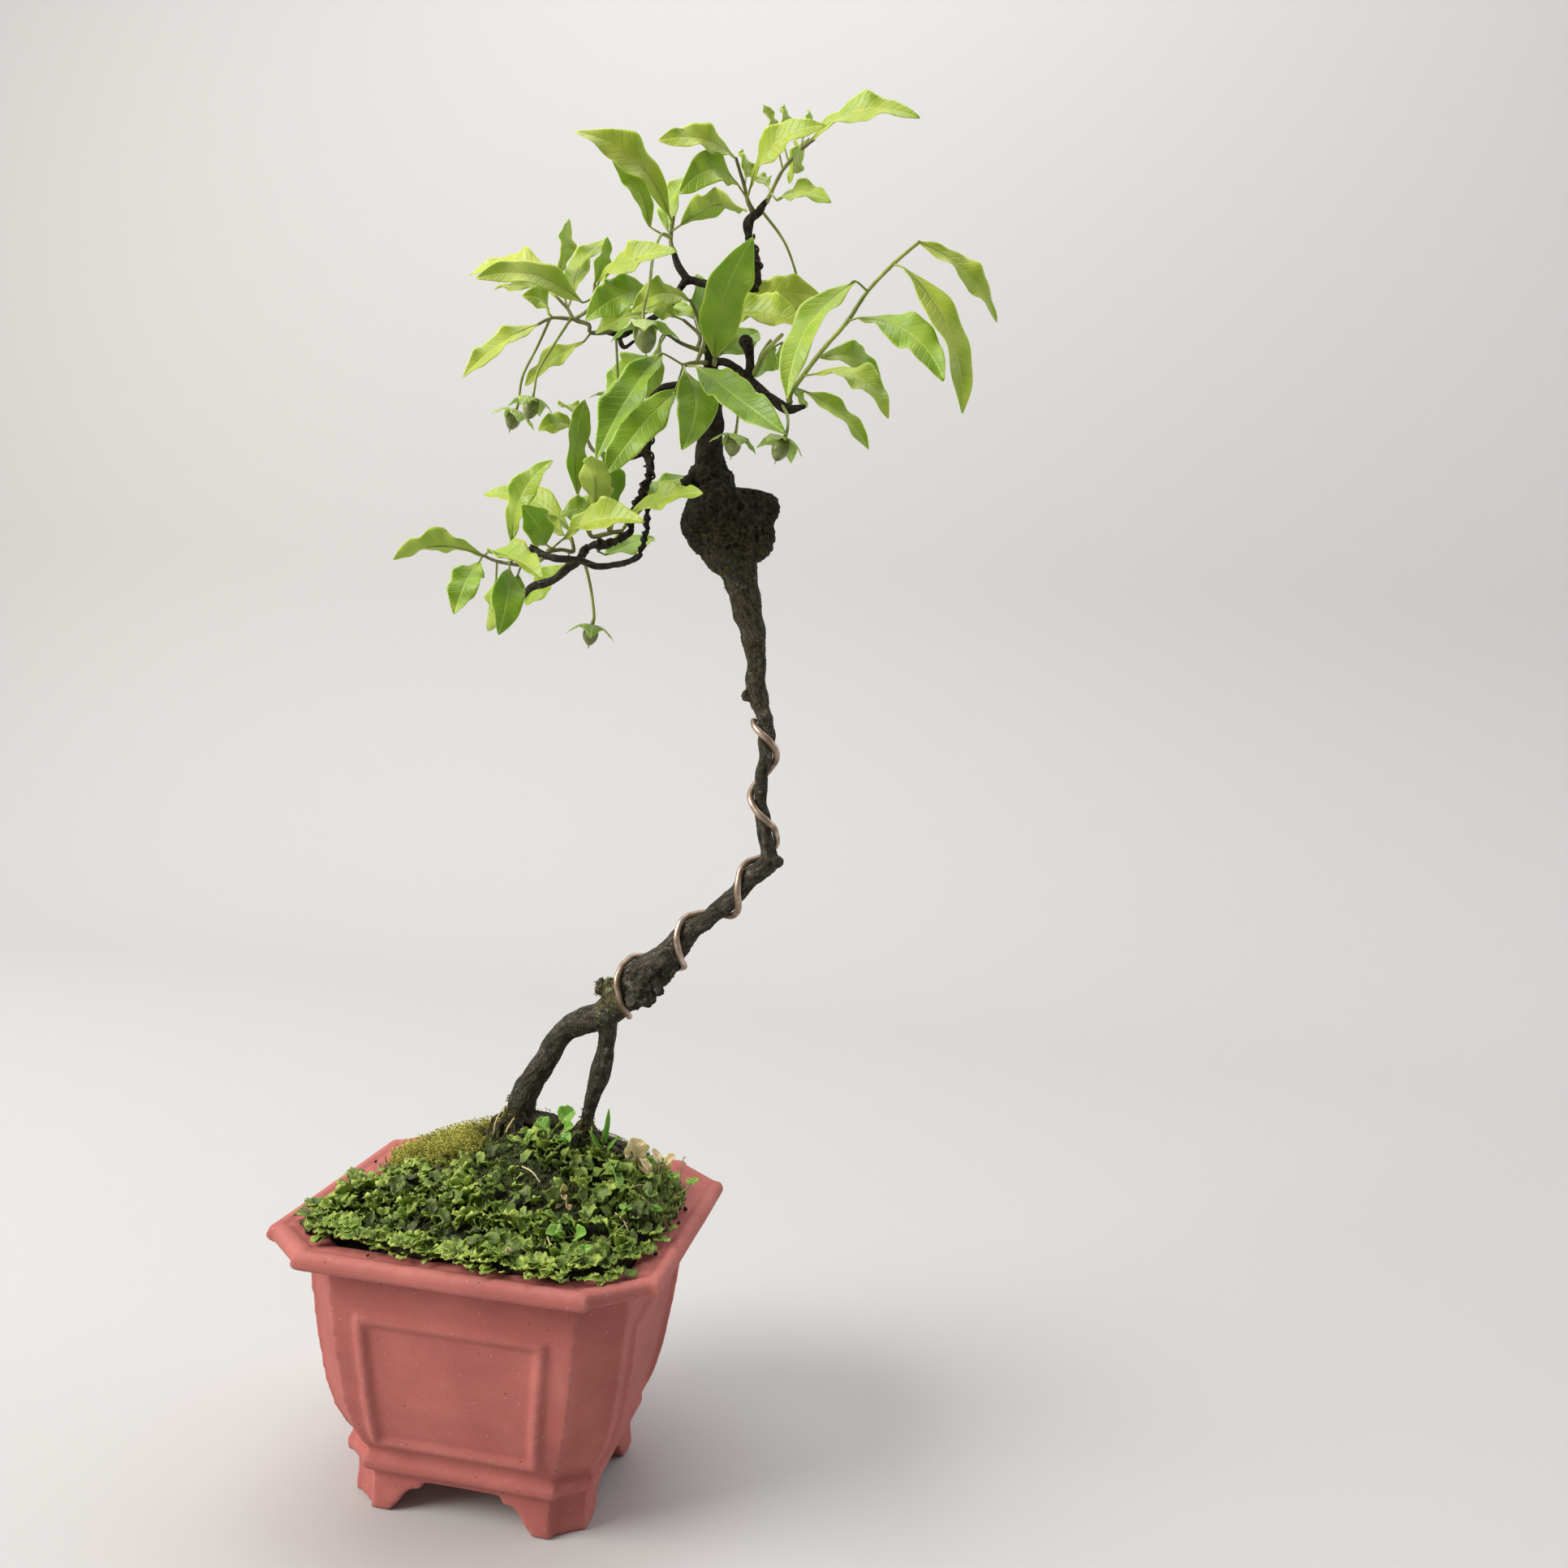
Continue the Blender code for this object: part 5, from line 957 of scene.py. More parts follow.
def bladePart(base, tip, width, turn=0.0, bow=0.0, side=0.0, fold=0.22, wave=0.06, tone=0.5,
              shape=broadShape,
              facing=None, rows=31, columns=13, thickness=0.35):
    # turn: degrees that the face is turned up from the front; bow: the midrib's arch towards the face;
    # side: its bend in the blade's own plane; fold: how far the margins stand up beside the midrib
    base, tip = Vector(base), Vector(tip)
    axis = (tip - base).normalized()
    wanted = facing or (frontPlace - (base + tip) / 2)
    facing = (wanted - axis * wanted.dot(axis)).normalized()
    sense = 1.0 if axis.cross(facing).dot(Vector((0.35, 0.0, 1.0))) > 0 else -1.0
    facing.rotate(Matrix.Rotation(math.radians(turn) * sense, 3, axis))
    across = axis.cross(facing)
    seed = base.x * 1.7 + tip.z
    s = np.linspace(0.0, 1.0, rows)
    a = np.linspace(-1.0, 1.0, columns)
    arch = (4 * s * (1 - s))[:, None]
    spots = np.array(base) + np.outer(s, tip - base)
    spots = spots + np.array(facing) * bow * arch + np.array(across) * side * arch
    half = np.maximum(widthAt(shape, s) * width / 2, 0.2)
    twist = math.radians(leafDesign["curl"]) * math.sin(seed) * s
    acrossRows = np.outer(np.cos(twist), across) + np.outer(np.sin(twist), facing)
    facingRows = np.outer(np.cos(twist), facing) - np.outer(np.sin(twist), across)
    bend = np.abs(a)[None, :] ** 1.3
    # the margins ripple, each side in its own rhythm, and stand in and out a little
    beat = s[:, None] * (9.0 + 6.0 * (seed % 1.0)) + np.sign(a)[None, :] * (1.1 + seed % 0.7) + seed
    ripple = wave * 2 * half[:, None] * bend * (np.sin(beat) + 0.35 * np.sin(2.3 * beat))
    lift = (fold * half * np.minimum(1.0, 6 * s))[:, None] * bend + ripple
    outline = a[None, :] * (1.0 + 0.06 * np.sin(1.4 * beat) * (s[:, None] < 0.97))
    upper = (spots[:, None, :] + acrossRows[:, None, :] * (half[:, None] * outline)[..., None]
             + facingRows[:, None, :] * lift[..., None])
    part = slabPart(upper, thickness)
    length = (tip - base).length
    acrossGrid, alongGrid = np.tile(a, rows), np.repeat(s, columns)
    place = np.stack([acrossGrid, alongGrid, np.full(rows * columns, tone)], axis=1)
    sized = np.stack([acrossGrid * np.repeat(half, columns), alongGrid * length + seed * 3,
                      np.zeros(rows * columns)],
                     axis=1)
    under = sized.copy()
    under[:, 2] = 1.0
    part["marks"] = {"leafPlace": np.vstack([place, place]), "leafMm": np.vstack([sized, under])}
    rib = [(*(spots[round(share * (rows - 1))] - facingRows[round(share * (rows - 1))] * thickness * 0.8),
            radius)
           for share, radius in ((0.06, 0.5), (0.2, 0.42), (0.4, 0.34), (0.6, 0.26))]
    return part, rib


# Leafy shoots: twig routes of x, y, z and radius, then leaves as
# stalk root, blade base, tip, width, turn, bow, side and fold
shoots = {
    "shoot_left_low": (
        [[(12, -22, 382, 1.1), (8, -23, 379, 0.9), (2, -24, 378, 0.9), (-7, -24, 379, 0.8),
          (-13, -24, 381, 0.7)]],
        [((-13, -24, 381), (-16, -25, 381), (-45, -34, 377), 12, 130, 2.5, -4, 0.5),
         ((-13, -24, 381), (-13, -27, 378), (-14, -45, 357), 12, 25, 3),
         ((-2, -24, 379), (0, -28, 376), (7, -52, 350), 12, 22, 2),
         ((-7, -24, 379), (-11, -15, 372), (-21, 2, 353), 11, 130, 1),
         ((-12, -24, 381), (-9, -28, 382), (22, -50, 371), 12, 50, 3, 0, 0.6),
         ((-1, -24, 379), (1, -30, 386), (20, -40, 415), 11, 30, 0, -5),
         ((3, -24, 378), (3, -27, 374), (5, -32, 363), 6, 20)]),
    "shoot_left_fork": (
        [[(13, -22, 384, 1.2), (17, -18, 385, 0.9), (20, -14, 385, 1.0), (19, -14, 390, 0.8)]],
        [((20, -14, 386), (16, -10, 394), (-27, 6, 409), 13, 38, 3, 4),
         ((14, -22, 385), (13, -25, 386), (10, -43, 398), 13, 25, 2),
         ((19, -14, 389), (16, -14, 391), (-1, -12, 401), 10, 125, 1),
         ((14, -21, 385), (21, -28, 388), (58, -46, 393), 13, 40, 3, -3, 0.5),
         ((19, -15, 385), (15, -9, 380), (-8, 8, 365), 11, 45, 1)]),
    "shoot_knot": (
        [[(38, -10, 394, 0.9), (34, -11, 393, 1.1), (31, -12, 392, 1.1), (27, -13, 391, 1.0),
          (25, -14, 394, 0.7)],
         [(34, -11, 393, 1.0), (32, -12, 398, 0.6)],
         [(29, -12, 391, 0.9), (29, -8, 390, 0.8), (28, -8, 386, 0.7)]],
        [((33, -11, 393), (34, -18, 397), (18, -25, 397), 12, 42, 4, 1),
         ((32, -12, 397), (32, -26, 399), (37, -46, 416), 13, 150, 2),
         ((34, -11, 393), (36, -14, 401), (30, -16, 424), 11, 50, 2),
         ((27, -13, 391), (23, -20, 406), (22, -14, 443), 12, 40, 2, -4.5),
         ((38, -10, 394), (44, -18, 400), (77, -38, 405), 12, 50, 2, -1),
         ((38, -10, 394), (44, -5, 403), (56, 16, 420), 11, 50, 2, -1.5),
         ((28, -8, 386), (30, -5, 385), (43, 18, 395), 12, 50, 1)]),
    "shoot_left_stub": (
        [[(37, -8, 421, 1.1), (31, -8, 423, 0.9), (24, -7, 425, 0.9), (21, -6, 429, 0.8),
          (19, -6, 433, 0.7), (17, -6, 436, 0.6)]],
        [((21, -6, 429), (16, -8, 434), (5, -18, 430), 10, 38, 3.5),
         ((19, -6, 433), (15, -4, 440), (6, 4, 445), 9, 60, 1)]),
    "shoot_middle": (
        [[(67, 0, 461, 1.2), (64, -8, 459, 1.0), (60, -12, 457, 1.0)],
         [(64, -8, 459, 1.0), (67, -9, 467, 0.9), (66, -13, 471, 0.8), (65, -18, 476, 0.8),
          (64, -22, 478, 0.7)]],
        [((60, -12, 457), (54, -21, 459), (39, -46, 415), 14, 30, 4, 0, 0.5),
         ((60, -12, 457), (63, -20, 453), (69, -40, 420), 15, 18, 3, -3.5),
         ((61, -11, 457), (67, -18, 455), (108, -46, 425), 14, 32, 3, 2),
         ((60, -12, 457), (57, -11, 448), (37, -30, 412), 15, 22, 3),
         ((64, -22, 478), (62, -24, 478), (47, -38, 469), 12, 40, 4, 2)]),
    "shoot_left_top": (
        [[(29, -6, 471, 1.2), (21, -8, 470, 1.0), (20, -8, 473, 1.0), (14, -8, 475, 1.0),
          (11, -8, 479, 0.8), (7, -10, 483, 0.7)],
         [(14, -8, 475, 0.9), (6, -10, 475, 0.8), (1, -12, 472, 0.7)],
         [(14, -8, 475, 0.9), (20, -10, 478, 0.8), (23, -12, 482, 0.8), (23, -12, 487, 0.7)]],
        [((1, -12, 472), (-2, -13, 472), (-21, -30, 447), 10, 50, 3),
         ((7, -10, 483), (6, -9.5, 484.5), (-38, 8, 497), 13, 45, 5, 7),
         ((6, -10, 475), (5, -13, 476), (0, -27, 478), 11, 50, 4),
         ((11, -8, 479), (5, -3, 494), (4, 8, 519), 9, 50, 1, -1),
         ((11, -8, 479), (11, -2, 487), (17, 18, 515), 11, 45, 1, -4),
         ((23, -12, 482), (20, -16, 479), (-11, -44, 479), 13, 40, 5, 3),
         ((23, -12, 487), (23, -13, 489), (28, -14, 504), 9, 50, 1),
         ((23, -12, 484), (28, -20, 486), (64, -42, 489), 12, 48, 4),
         ((21, -8, 470), (19, -10, 466), (-1, -18, 447), 10, 55, 2),
         ((7, -10, 483), (1, 0, 488), (-30, 15, 494), 10, 60, 2)]),
    "shoot_spur": (
        [[(67, 0, 465, 1.3), (63, -4, 465, 1.1), (59, -6, 466, 0.9), (56, -8, 467, 0.8),
          (51, -9, 470, 0.8)],
         [(63, -4, 465, 1.0), (63, -2, 471, 0.9), (57, -4, 476, 0.7)]],
        [((57, -4, 476), (54, -5, 477), (41, -8, 482), 11, 42, 1),
         ((63, -2, 471), (58, 7, 480), (45, 16, 488), 10, 55, 1),
         ((63, -2, 470), (62, 5, 474), (56, 16, 500), 12, 45, 2),
         ((51, -9, 470), (50, -11, 467), (50, -26, 441), 8, 55, 1),
         ((52, -9, 470), (44, -2, 462), (20, 16, 454), 13, 43, 2)]),
    "shoot_left_pair": (
        [[(53, 1, 489, 1.3), (53, -2, 487, 1.1), (51, -3, 484, 1.0)]],
        [((53, -2, 487), (47, -12, 485), (26, -28, 469), 15, 30, 4, 1),
         ((51, -3, 484), (42, -6, 478), (25, -14, 468), 11, 47, 2)]),
    "shoot_crown_left": (
        [[(50, 0, 503, 1.3), (49, 0, 507, 1.0), (49, 0, 511, 0.9), (50, -1, 516, 0.6)]],
        [((50, -1, 513), (49, -5, 516), (18, -26, 538), 15, 36, 4, 5),
         ((49, 0, 508), (41, -2, 512), (23, -14, 539), 11, 32, 3, 3),
         ((49, 0, 510), (46, 4, 513), (51, 16, 539), 12, 45, 2, -2),
         ((49, 0, 511), (54, -4, 512), (85, -27, 508), 13, 130, 5, 1)]),
    "shoot_crown": (
        [[(81, 0, 518, 1.3), (79, -2, 522, 1.0), (78, -3, 526, 0.9), (75, -7, 535, 0.7)]],
        [((75, -7, 535), (73, -8, 535), (50, -26, 534), 12, 50, 5),
         ((79, -2, 522), (76, -5, 526), (59, -26, 515), 14, 30, 6, 4),
         ((78, -3, 526), (77, 2, 532), (73, 12, 545), 9, 55, 1),
         ((79, -2, 522), (81, -6, 525), (112, -26, 538), 12, 45, 5, -4)]),
    "shoot_crown_right": (
        [[(86, 1, 522, 1.2), (87, 3, 526, 1.0), (91, 4, 535, 0.9), (97, 6, 543, 0.9), (102, 6, 547, 0.7)]],
        [((87, 3, 526), (85, 6, 530), (77, 14, 537), 8, 60, 1),
         ((101, 6, 547), (104, 6, 547), (144, -10, 547), 12, 48, 6, -3),
         ((87, 3, 526), (91, -3, 521), (114, -16, 515), 10, 55, 4),
         ((91, 4, 535), (88, 2, 546), (83, -2, 557), 7, 62, 1),
         ((93, 5, 538), (89, 8, 549), (88, 16, 564), 9, 50, 1),
         ((97, 6, 543), (97, 11, 551), (97, 20, 564), 7, 62, 1),
         ((97, 6, 543), (99, 12, 550), (90, 22, 537), 9, 60, 1),
         ((95, 5, 541), (97, -2, 543), (99, -16, 526), 9, 65, 1)]),
    "leaf_centre": (
        [[(69, 0, 460, 1.2), (72, -11, 460, 0.9)]],
        [((72, -11, 460), (73, -13, 461), (89, -32, 497), 17, 15, 3, -4.5)]),
    "leaf_right_high": (
        [[(72, 2, 481, 1.2), (74, 9, 484, 0.9)]],
        [((74, 9, 484), (76, 9, 484), (109, 17, 490), 15, 32, 3, -3)]),
    "leaf_right_middle": (
        [[(70, 0, 476, 1.2), (74, -4, 477, 0.9)]],
        [((74, -4, 477), (76, -4, 477), (106, -15, 471), 14, 38, 3, -2, 0.5)]),
    "leaf_right_back": (
        [[(68, 1, 463, 1.2), (70, 5, 466, 0.9)]],
        [((70, 5, 466), (71, 6, 466), (82, 18, 478), 13, 30, 1)]),
    "shoot_right_young": (
        [[(86, -4, 456, 1.4), (91, -9, 463, 1.1), (98, -14, 468, 0.8)],
         [(88, -6, 459, 1.0), (87, 2, 465, 0.8), (89, 8, 472, 0.7)]],
        [((89, 8, 472), (88, 9, 472), (81, 22, 461), 10, 45, 2),
         ((87, 2, 465), (94, 7, 471), (91, 14, 462), 8, 55, 1)]),
    "shoot_right_long": (
        [[(101, -7, 445, 1.5), (101, -7, 448, 1.3), (106, -10, 454, 1.1), (114, -14, 463, 1.0),
          (123, -18, 472, 1.0), (130, -20, 482, 0.9), (139, -22, 491, 0.9), (148, -24, 498, 0.7)]],
        [((130, -20, 482), (126, -25, 484), (108, -48, 437), 13, 35, 4, 5),
         ((123, -18, 472), (128, -22, 472), (161, -38, 446), 14, 36, 3, -5),
         ((139, -22, 491), (143, -24, 489), (168, -34, 436), 13, 40, 4, -5),
         ((148, -24, 498), (150, -24, 497), (177, -14, 473), 11, 48, 3, -3),
         ((106, -10, 454), (111, -13, 454), (141, -24, 436), 12, 46, 5, -5),
         ((110, -12, 458), (111, -3, 463), (133, 16, 456), 12, 45, 4, -4),
         ((103, -8, 450), (106, -3, 450), (131, 3, 430), 10, 48, 3, -1),
         ((101, -7, 448), (101, 0, 451), (105, 10, 447), 6, 55)]),
}
# how far each leaf goes from dark green (0) to lime (1): partly the leaf's own colour, partly painted light
# and shade set for how brightly each leaf is lit
leafTonesWithPaintedLight = {
    "shoot_left_low": [1.0, 0.5, 0.45, 0.6, 0.7, 0.6, 0.5],
    "shoot_left_fork": [0.7, 0.5, 0.6, 0.75, 0.6],
    "shoot_knot": [0.6, 0.7, 0.45, 0.65, 0.65, 0.5, 0.45],
    "shoot_left_stub": [0.8, 0.7],
    "shoot_middle": [0.35, 0.42, 0.32, 0.5, 0.7],
    "shoot_left_top": [0.85, 1.0, 0.75, 0.8, 0.7, 0.8, 0.7, 0.7, 0.8, 0.9],
    "shoot_spur": [0.7, 0.55, 0.5, 0.65, 0.6],
    "shoot_left_pair": [0.5, 0.6],
    "shoot_crown_left": [0.9, 0.75, 0.6, 0.85],
    "shoot_crown": [0.85, 0.6, 0.75, 0.75],
    "shoot_crown_right": [0.7, 0.75, 0.7, 0.75, 0.7, 0.7, 0.65, 0.7],
    "leaf_centre": [0.55],
    "leaf_right_high": [1.0],
    "leaf_right_middle": [0.8],
    "leaf_right_back": [0.6],
    "shoot_right_young": [0.55, 0.6],
    "shoot_right_long": [0.58, 0.5, 0.8, 0.85, 0.75, 0.65, 0.65, 0.6],
}
greenShoots = ("shoot_right_long", "shoot_right_young")  # this year's growth, its twig still green


def stalkRow(root, base, rib, radius):
    start = [(*root, radius)] if (Vector(base) - Vector(root)).length > 3.2 else []
    first = base if start else root
    return start + [(*first, radius * 0.85)] + rib


def makeShoot(name, twigs, leaves):
    blades, stalks = [], []
    slim = [[(x, y, z, radius * leafDesign["twigShare"]) for x, y, z, radius in route] for route in twigs]
    wood = [tubePart(smoothRoute(route, 1.2), 12, 0.16, 1.6) for route in slim]
    for leaf, tone in zip(leaves, leafTonesWithPaintedLight[name]):
        root, base, *rest = leaf
        if (Vector(base) - Vector(root)).length <= 3.2:
            base = root
        part, rib = bladePart(base, *rest, tone=tone, wave=leafDesign["wave"], rows=leafDesign["rows"],
                              columns=leafDesign["columns"], thickness=leafDesign["thickness"])
        blades.append(part)
        stalks.append(tubePart(smoothRoute(stalkRow(root, base, rib, leafDesign["stalkRadius"])), 8))
    addPiece("twigs." + name, wood, stalkSkin if name in greenShoots else twigSkin, [name])
    addPiece("stalks." + name, stalks, stalkSkin)
    addPiece("leaves." + name, blades, leafBlade)


for name, (twigs, leaves) in shoots.items():
    makeShoot(name, twigs, leaves)
print("leafy shoots made")


# Fruits: stalk route, berry centre, berry radius, how far the calyx is spun, and the shoot it hangs from
fruits = {
    "fruit_low": (
        [(24, -14, 383, 0.9), (28, -16, 373, 0.8), (31, -18, 361, 0.8)], (30, -18, 353), 3.0, 20, None),
    "fruit_left": (
        [(13, -9, 475, 0.8), (9, -17, 462, 0.7), (6, -23, 451, 0.7), (6, -26, 443, 0.7)],
        (5, -26, 437), 3.0, 0, "shoot_left_top"),
    "fruit_far_left": (
        [(5, -10, 475, 0.8), (-1, -8, 464, 0.7), (-8, -4, 454, 0.7), (-11, 0, 445, 0.7)],
        (-13, 0, 438), 3.0, 40, "shoot_left_top"),
    "fruit_inner_left": (
        [(30, -5, 471, 0.8), (32, -8, 461, 0.7), (33, -8, 449, 0.7)], (31, -8, 443), 3.0, 10, None),
    "fruit_right": (
        [(79, -3, 458, 0.8), (82, -8, 449, 0.7), (83, -14, 442, 0.7), (84, -20, 433, 0.7)],
        (83, -20, 426), 3.0, 30, None),
    "fruit_far_right": (
        [(98, -7, 444, 0.9), (103, -20, 437, 0.8), (105, -29, 430, 0.8)], (103, -30, 423), 3.2, 45, None),
    "fruit_front": (
        [(49, 0, 509, 0.9), (48, -10, 506, 0.8), (50, -25, 493, 0.8), (53, -37, 481, 0.8),
         (54, -46, 467, 0.8)],
        (55, -46, 458), 4.0, 15, "shoot_crown_left"),
    "fruit_top_right": (
        [(84, 1, 519, 0.9), (90, 10, 513, 0.8), (93, 16, 508, 0.7), (96, 22, 499, 0.7)],
        (98, 22, 490), 3.0, 25, None),
}
fruitDesign = {
    "lobeReach": 3.1,  # in berry radii
    "lobeWidth": 2.3,
    "droop": 0.17,
    "seatAbove": 1.2,
    "tipLength": 0.35,
    "styleRadius": 0.3,
    "stalkShare": 0.72,
}


def calyxParts(place, upward, radius, spin):
    # four veined lobes that droop like a parasol over the berry
    lean = upward.to_track_quat("Z", "Y").to_matrix()
    parts = []
    for quarter in range(4):
        turn = lean @ Matrix.Rotation(math.radians(spin + 90 * quarter), 3, "Z")
        reach = fruitDesign["lobeReach"] * radius
        lobe, _ = bladePart((0.15 * radius, 0, 0.05 * radius), (reach, 0, 0.05 * radius),
                            fruitDesign["lobeWidth"] * radius,
                            bow=0.22 * radius, fold=-0.24, wave=0.07,
                            tone=0.5 + 0.12 * math.sin(quarter * 2.0 + spin),
                            shape=[(0.0, 0.5), (0.18, 0.86), (0.4, 1.0), (0.62, 0.84), (0.85, 0.4),
                                   (1.0, 0.05)],
                            facing=Vector((0, 0, 1)), rows=15, columns=9, thickness=0.3)
        points = lobe["points"]
        points[:, 2] -= fruitDesign["droop"] * points[:, 0] ** 2 / radius
        lobe["points"] = points @ np.array(turn).T + np.array(place)
        parts.append(lobe)
    return parts


def berryPart(centre, upward, radius):
    rows = []
    for step in np.linspace(0.0, math.pi, 17)[1:-1]:
        height = math.cos(step)
        swell = math.sin(step) ** 0.9
        lower = max(0.0, -height - 0.8) * 5 * fruitDesign["tipLength"]
        spot = centre + upward * (height * radius * 1.22 - lower * radius * 0.6)
        rows.append((*spot, swell * radius))
    return tubePart(rows, 24, 0.12, 2.5, flat=True)


def makeFruit(name, route, berryCentre, radius, spin):
    centre = Vector(berryCentre)
    upward = (Vector(route[-1][:3]) - centre).normalized()
    seat = centre + upward * radius * fruitDesign["seatAbove"]
    slim = [(x, y, z, thick * fruitDesign["stalkShare"]) for x, y, z, thick in route]
    slim.append((*(centre + upward * radius * 1.1), slim[-1][3] * 1.5))
    stalk = tubePart(smoothRoute(slim, 1.0), 10, 0.08, 1.2)
    low = centre - upward * radius * 1.4
    style = tubePart([(*low, fruitDesign["styleRadius"]), (*(low - upward * radius * 0.45), 0.12)], 8)
    addPiece("stalk." + name, [stalk], stalkSkin, [name])
    addPiece("style." + name, [style], twigSkin)
    addPiece("calyx." + name, calyxParts(seat, upward, radius, spin), calyxBlade)
    addPiece("berry." + name, [berryPart(centre, upward, radius)], berry)


for name, (route, berryCentre, radius, spin, _) in fruits.items():
    makeFruit(name, route, berryCentre, radius, spin)
print("fruits made")


# Ground: the soil's mound, the moss and the liverwort mat on it, and small plants

groundDesign = {
    "soilEdge": 111.0,
    "rise": 27.0,
    "centre": (8.0, 12.0),
    "reach": (78.0, 72.0),
    "rim": 116.4,
    "cell": 1.25,
    "grain": 0.9,
    "seed": 11,
    "matThick": 0.8,
    "matShare": (0.92, 0.93),  # how much of the outline the mat fills, across and in front
    "bandStart": (-26, 4),  # the dark moss band
    "bandRun": (58, -28),
    "bandHalf": 9.5,
    "thalli": 920,
    "thallusLong": (4.0, 9.5),
    "feathers": 1700,
    "featherHigh": (4.0, 9.0),
    "featherLeaves": 10,
    "darkTufts": 2700,
    "crumbs": 420,
}
liverwortOutline = [
    (-71, -40), (-52, -57), (-36, -56), (-19, -62), (-8, -64), (0, -58), (9, -64), (26, -65), (38, -63),
    (51, -62), (60, -56), (66, -46), (67, -32), (72, -18), (69, -4), (67, 6), (66, 22), (60, 34), (51, 31),
    (44, 19), (32, 16), (20, 16), (8, 14), (0, 8), (-6, 1), (-12, -5), (-26, -16), (-40, -4), (-58, -4),
    (-73, 2), (-68, -12), (-66, -26),
]
mossOutline = [
    (-55, 6), (-40, 0), (-24, -10), (-14, 0), (-16, 14), (-18, 30), (-6, 38), (6, 42), (2, 50), (-16, 53),
    (-36, 50), (-54, 44), (-64, 34), (-66, 18),
]
chance = random.Random(groundDesign["seed"])


def mound(x, y):
    across = (x - groundDesign["centre"][0]) / groundDesign["reach"][0]
    deep = (y - groundDesign["centre"][1]) / groundDesign["reach"][1]
    fall = max(0.0, 1.0 - across * across - deep * deep)
    bumps = 2.0 * noise.noise(Vector((x / 24.0, y / 24.0, 0.0)))
    return groundDesign["soilEdge"] + groundDesign["rise"] * fall ** 1.25 + bumps


def coverHeight(x, y):
    height = mound(x, y)
    if abs(x) > 55 or abs(y) > 47 or abs(x) + abs(y) > 96:
        height = max(height, groundDesign["rim"])
    return height


def edgeDistance(x, y, outline):
    # distance to the outline, below zero outside it
    inside = False
    nearest = 1e9
    for (x0, y0), (x1, y1) in zip(outline, outline[1:] + outline[:1]):
        if (y0 > y) != (y1 > y) and x < (x1 - x0) * (y - y0) / (y1 - y0) + x0:
            inside = not inside
        runX, runY = x1 - x0, y1 - y0
        t = max(0.0, min(1.0, ((x - x0) * runX + (y - y0) * runY) / (runX * runX + runY * runY)))
        nearest = min(nearest, math.hypot(x - x0 - t * runX, y - y0 - t * runY))
    return nearest if inside else -nearest


def makeSoil():
    # rings that follow the pot's inside up, then shrink to the middle over the mound
    corners = plan(16.8, 0.74, 1.5)
    edge = []
    for (x0, y0), (x1, y1) in zip(corners, corners[1:] + corners[:1]):
        count = max(1, round(math.hypot(x1 - x0, y1 - y0) / 2.2))
        edge += [(x0 + (x1 - x0) * i / count, y0 + (y1 - y0) * i / count) for i in range(count)]
    halfX, halfY = potDesign["halfX"] - 16.8, potDesign["halfY"] - 16.8
    rings = []
    for z, inset in ((24.8, 37.6), (28.0, 33.2), (45.0, 26.2), (70.0, 22.0), (100.0, 19.5), (108.0, 17.6)):
        scaleX, scaleY = (halfX + 16.8 - inset) / halfX, (halfY + 16.8 - inset) / halfY
        rings.append([(x * scaleX, y * scaleY, z) for x, y in edge])
    for scale in np.linspace(1.0, 0.01, 64) ** 0.8:
        ring = []
        for x, y in edge:
            spot = Vector((x * scale, y * scale, 0.0))
            rough = groundDesign["grain"] * (noise.noise(spot / 1.9) + 0.6 * noise.noise(spot / 5.0))
            ring.append((spot.x, spot.y, mound(spot.x, spot.y) + rough - 0.4))
        rings.append(ring)
    addPiece("soilMound", [loftPart(rings)], grit, ["soil"])
    crumbs = []
    for _ in range(groundDesign["crumbs"]):
        x, y = chance.uniform(-60, 60), chance.uniform(-50, 52)
        if edgeDistance(x, y, liverwortOutline) > -1 or edgeDistance(x, y, mossOutline) > -1:
            continue
        if edgeDistance(x, y, corners) < 3:
            continue
        size = chance.uniform(0.5, 1.5)
        crumbs.append(lumpSmall(x, y, mound(x, y) + size * 0.3, size))
    # crumbs that fell on the rim
    for x, y, size in ((-61, -52, 1.5), (-63, -50, 0.9), (72, -30, 0.8), (73, 0, 0.7), (72, 14, 0.9),
                       (60, -58, 0.6),
                       (-30, -63.5, 0.6), (44, -63, 0.5), (-72, 20, 0.7), (10, 63, 0.7)):
        crumbs.append(lumpSmall(x, y, 116.2 + size * 0.4, size))
    addPiece("soilCrumbs", crumbs, grit)


def lumpSmall(x, y, z, radius):
    bm = bmesh.new()
    bmesh.ops.create_icosphere(bm, subdivisions=2, radius=1.0)
    points = []
    for vert in bm.verts:
        spot = Vector((x, y, z))
        points.append(spot + vert.co * radius * (1.0 + 0.5 * noise.noise(vert.co * 1.3 + spot)))
    faces = [[vert.index for vert in face.verts] for face in bm.faces]
    bm.free()
    return {"points": np.array(points), "faces": faces}


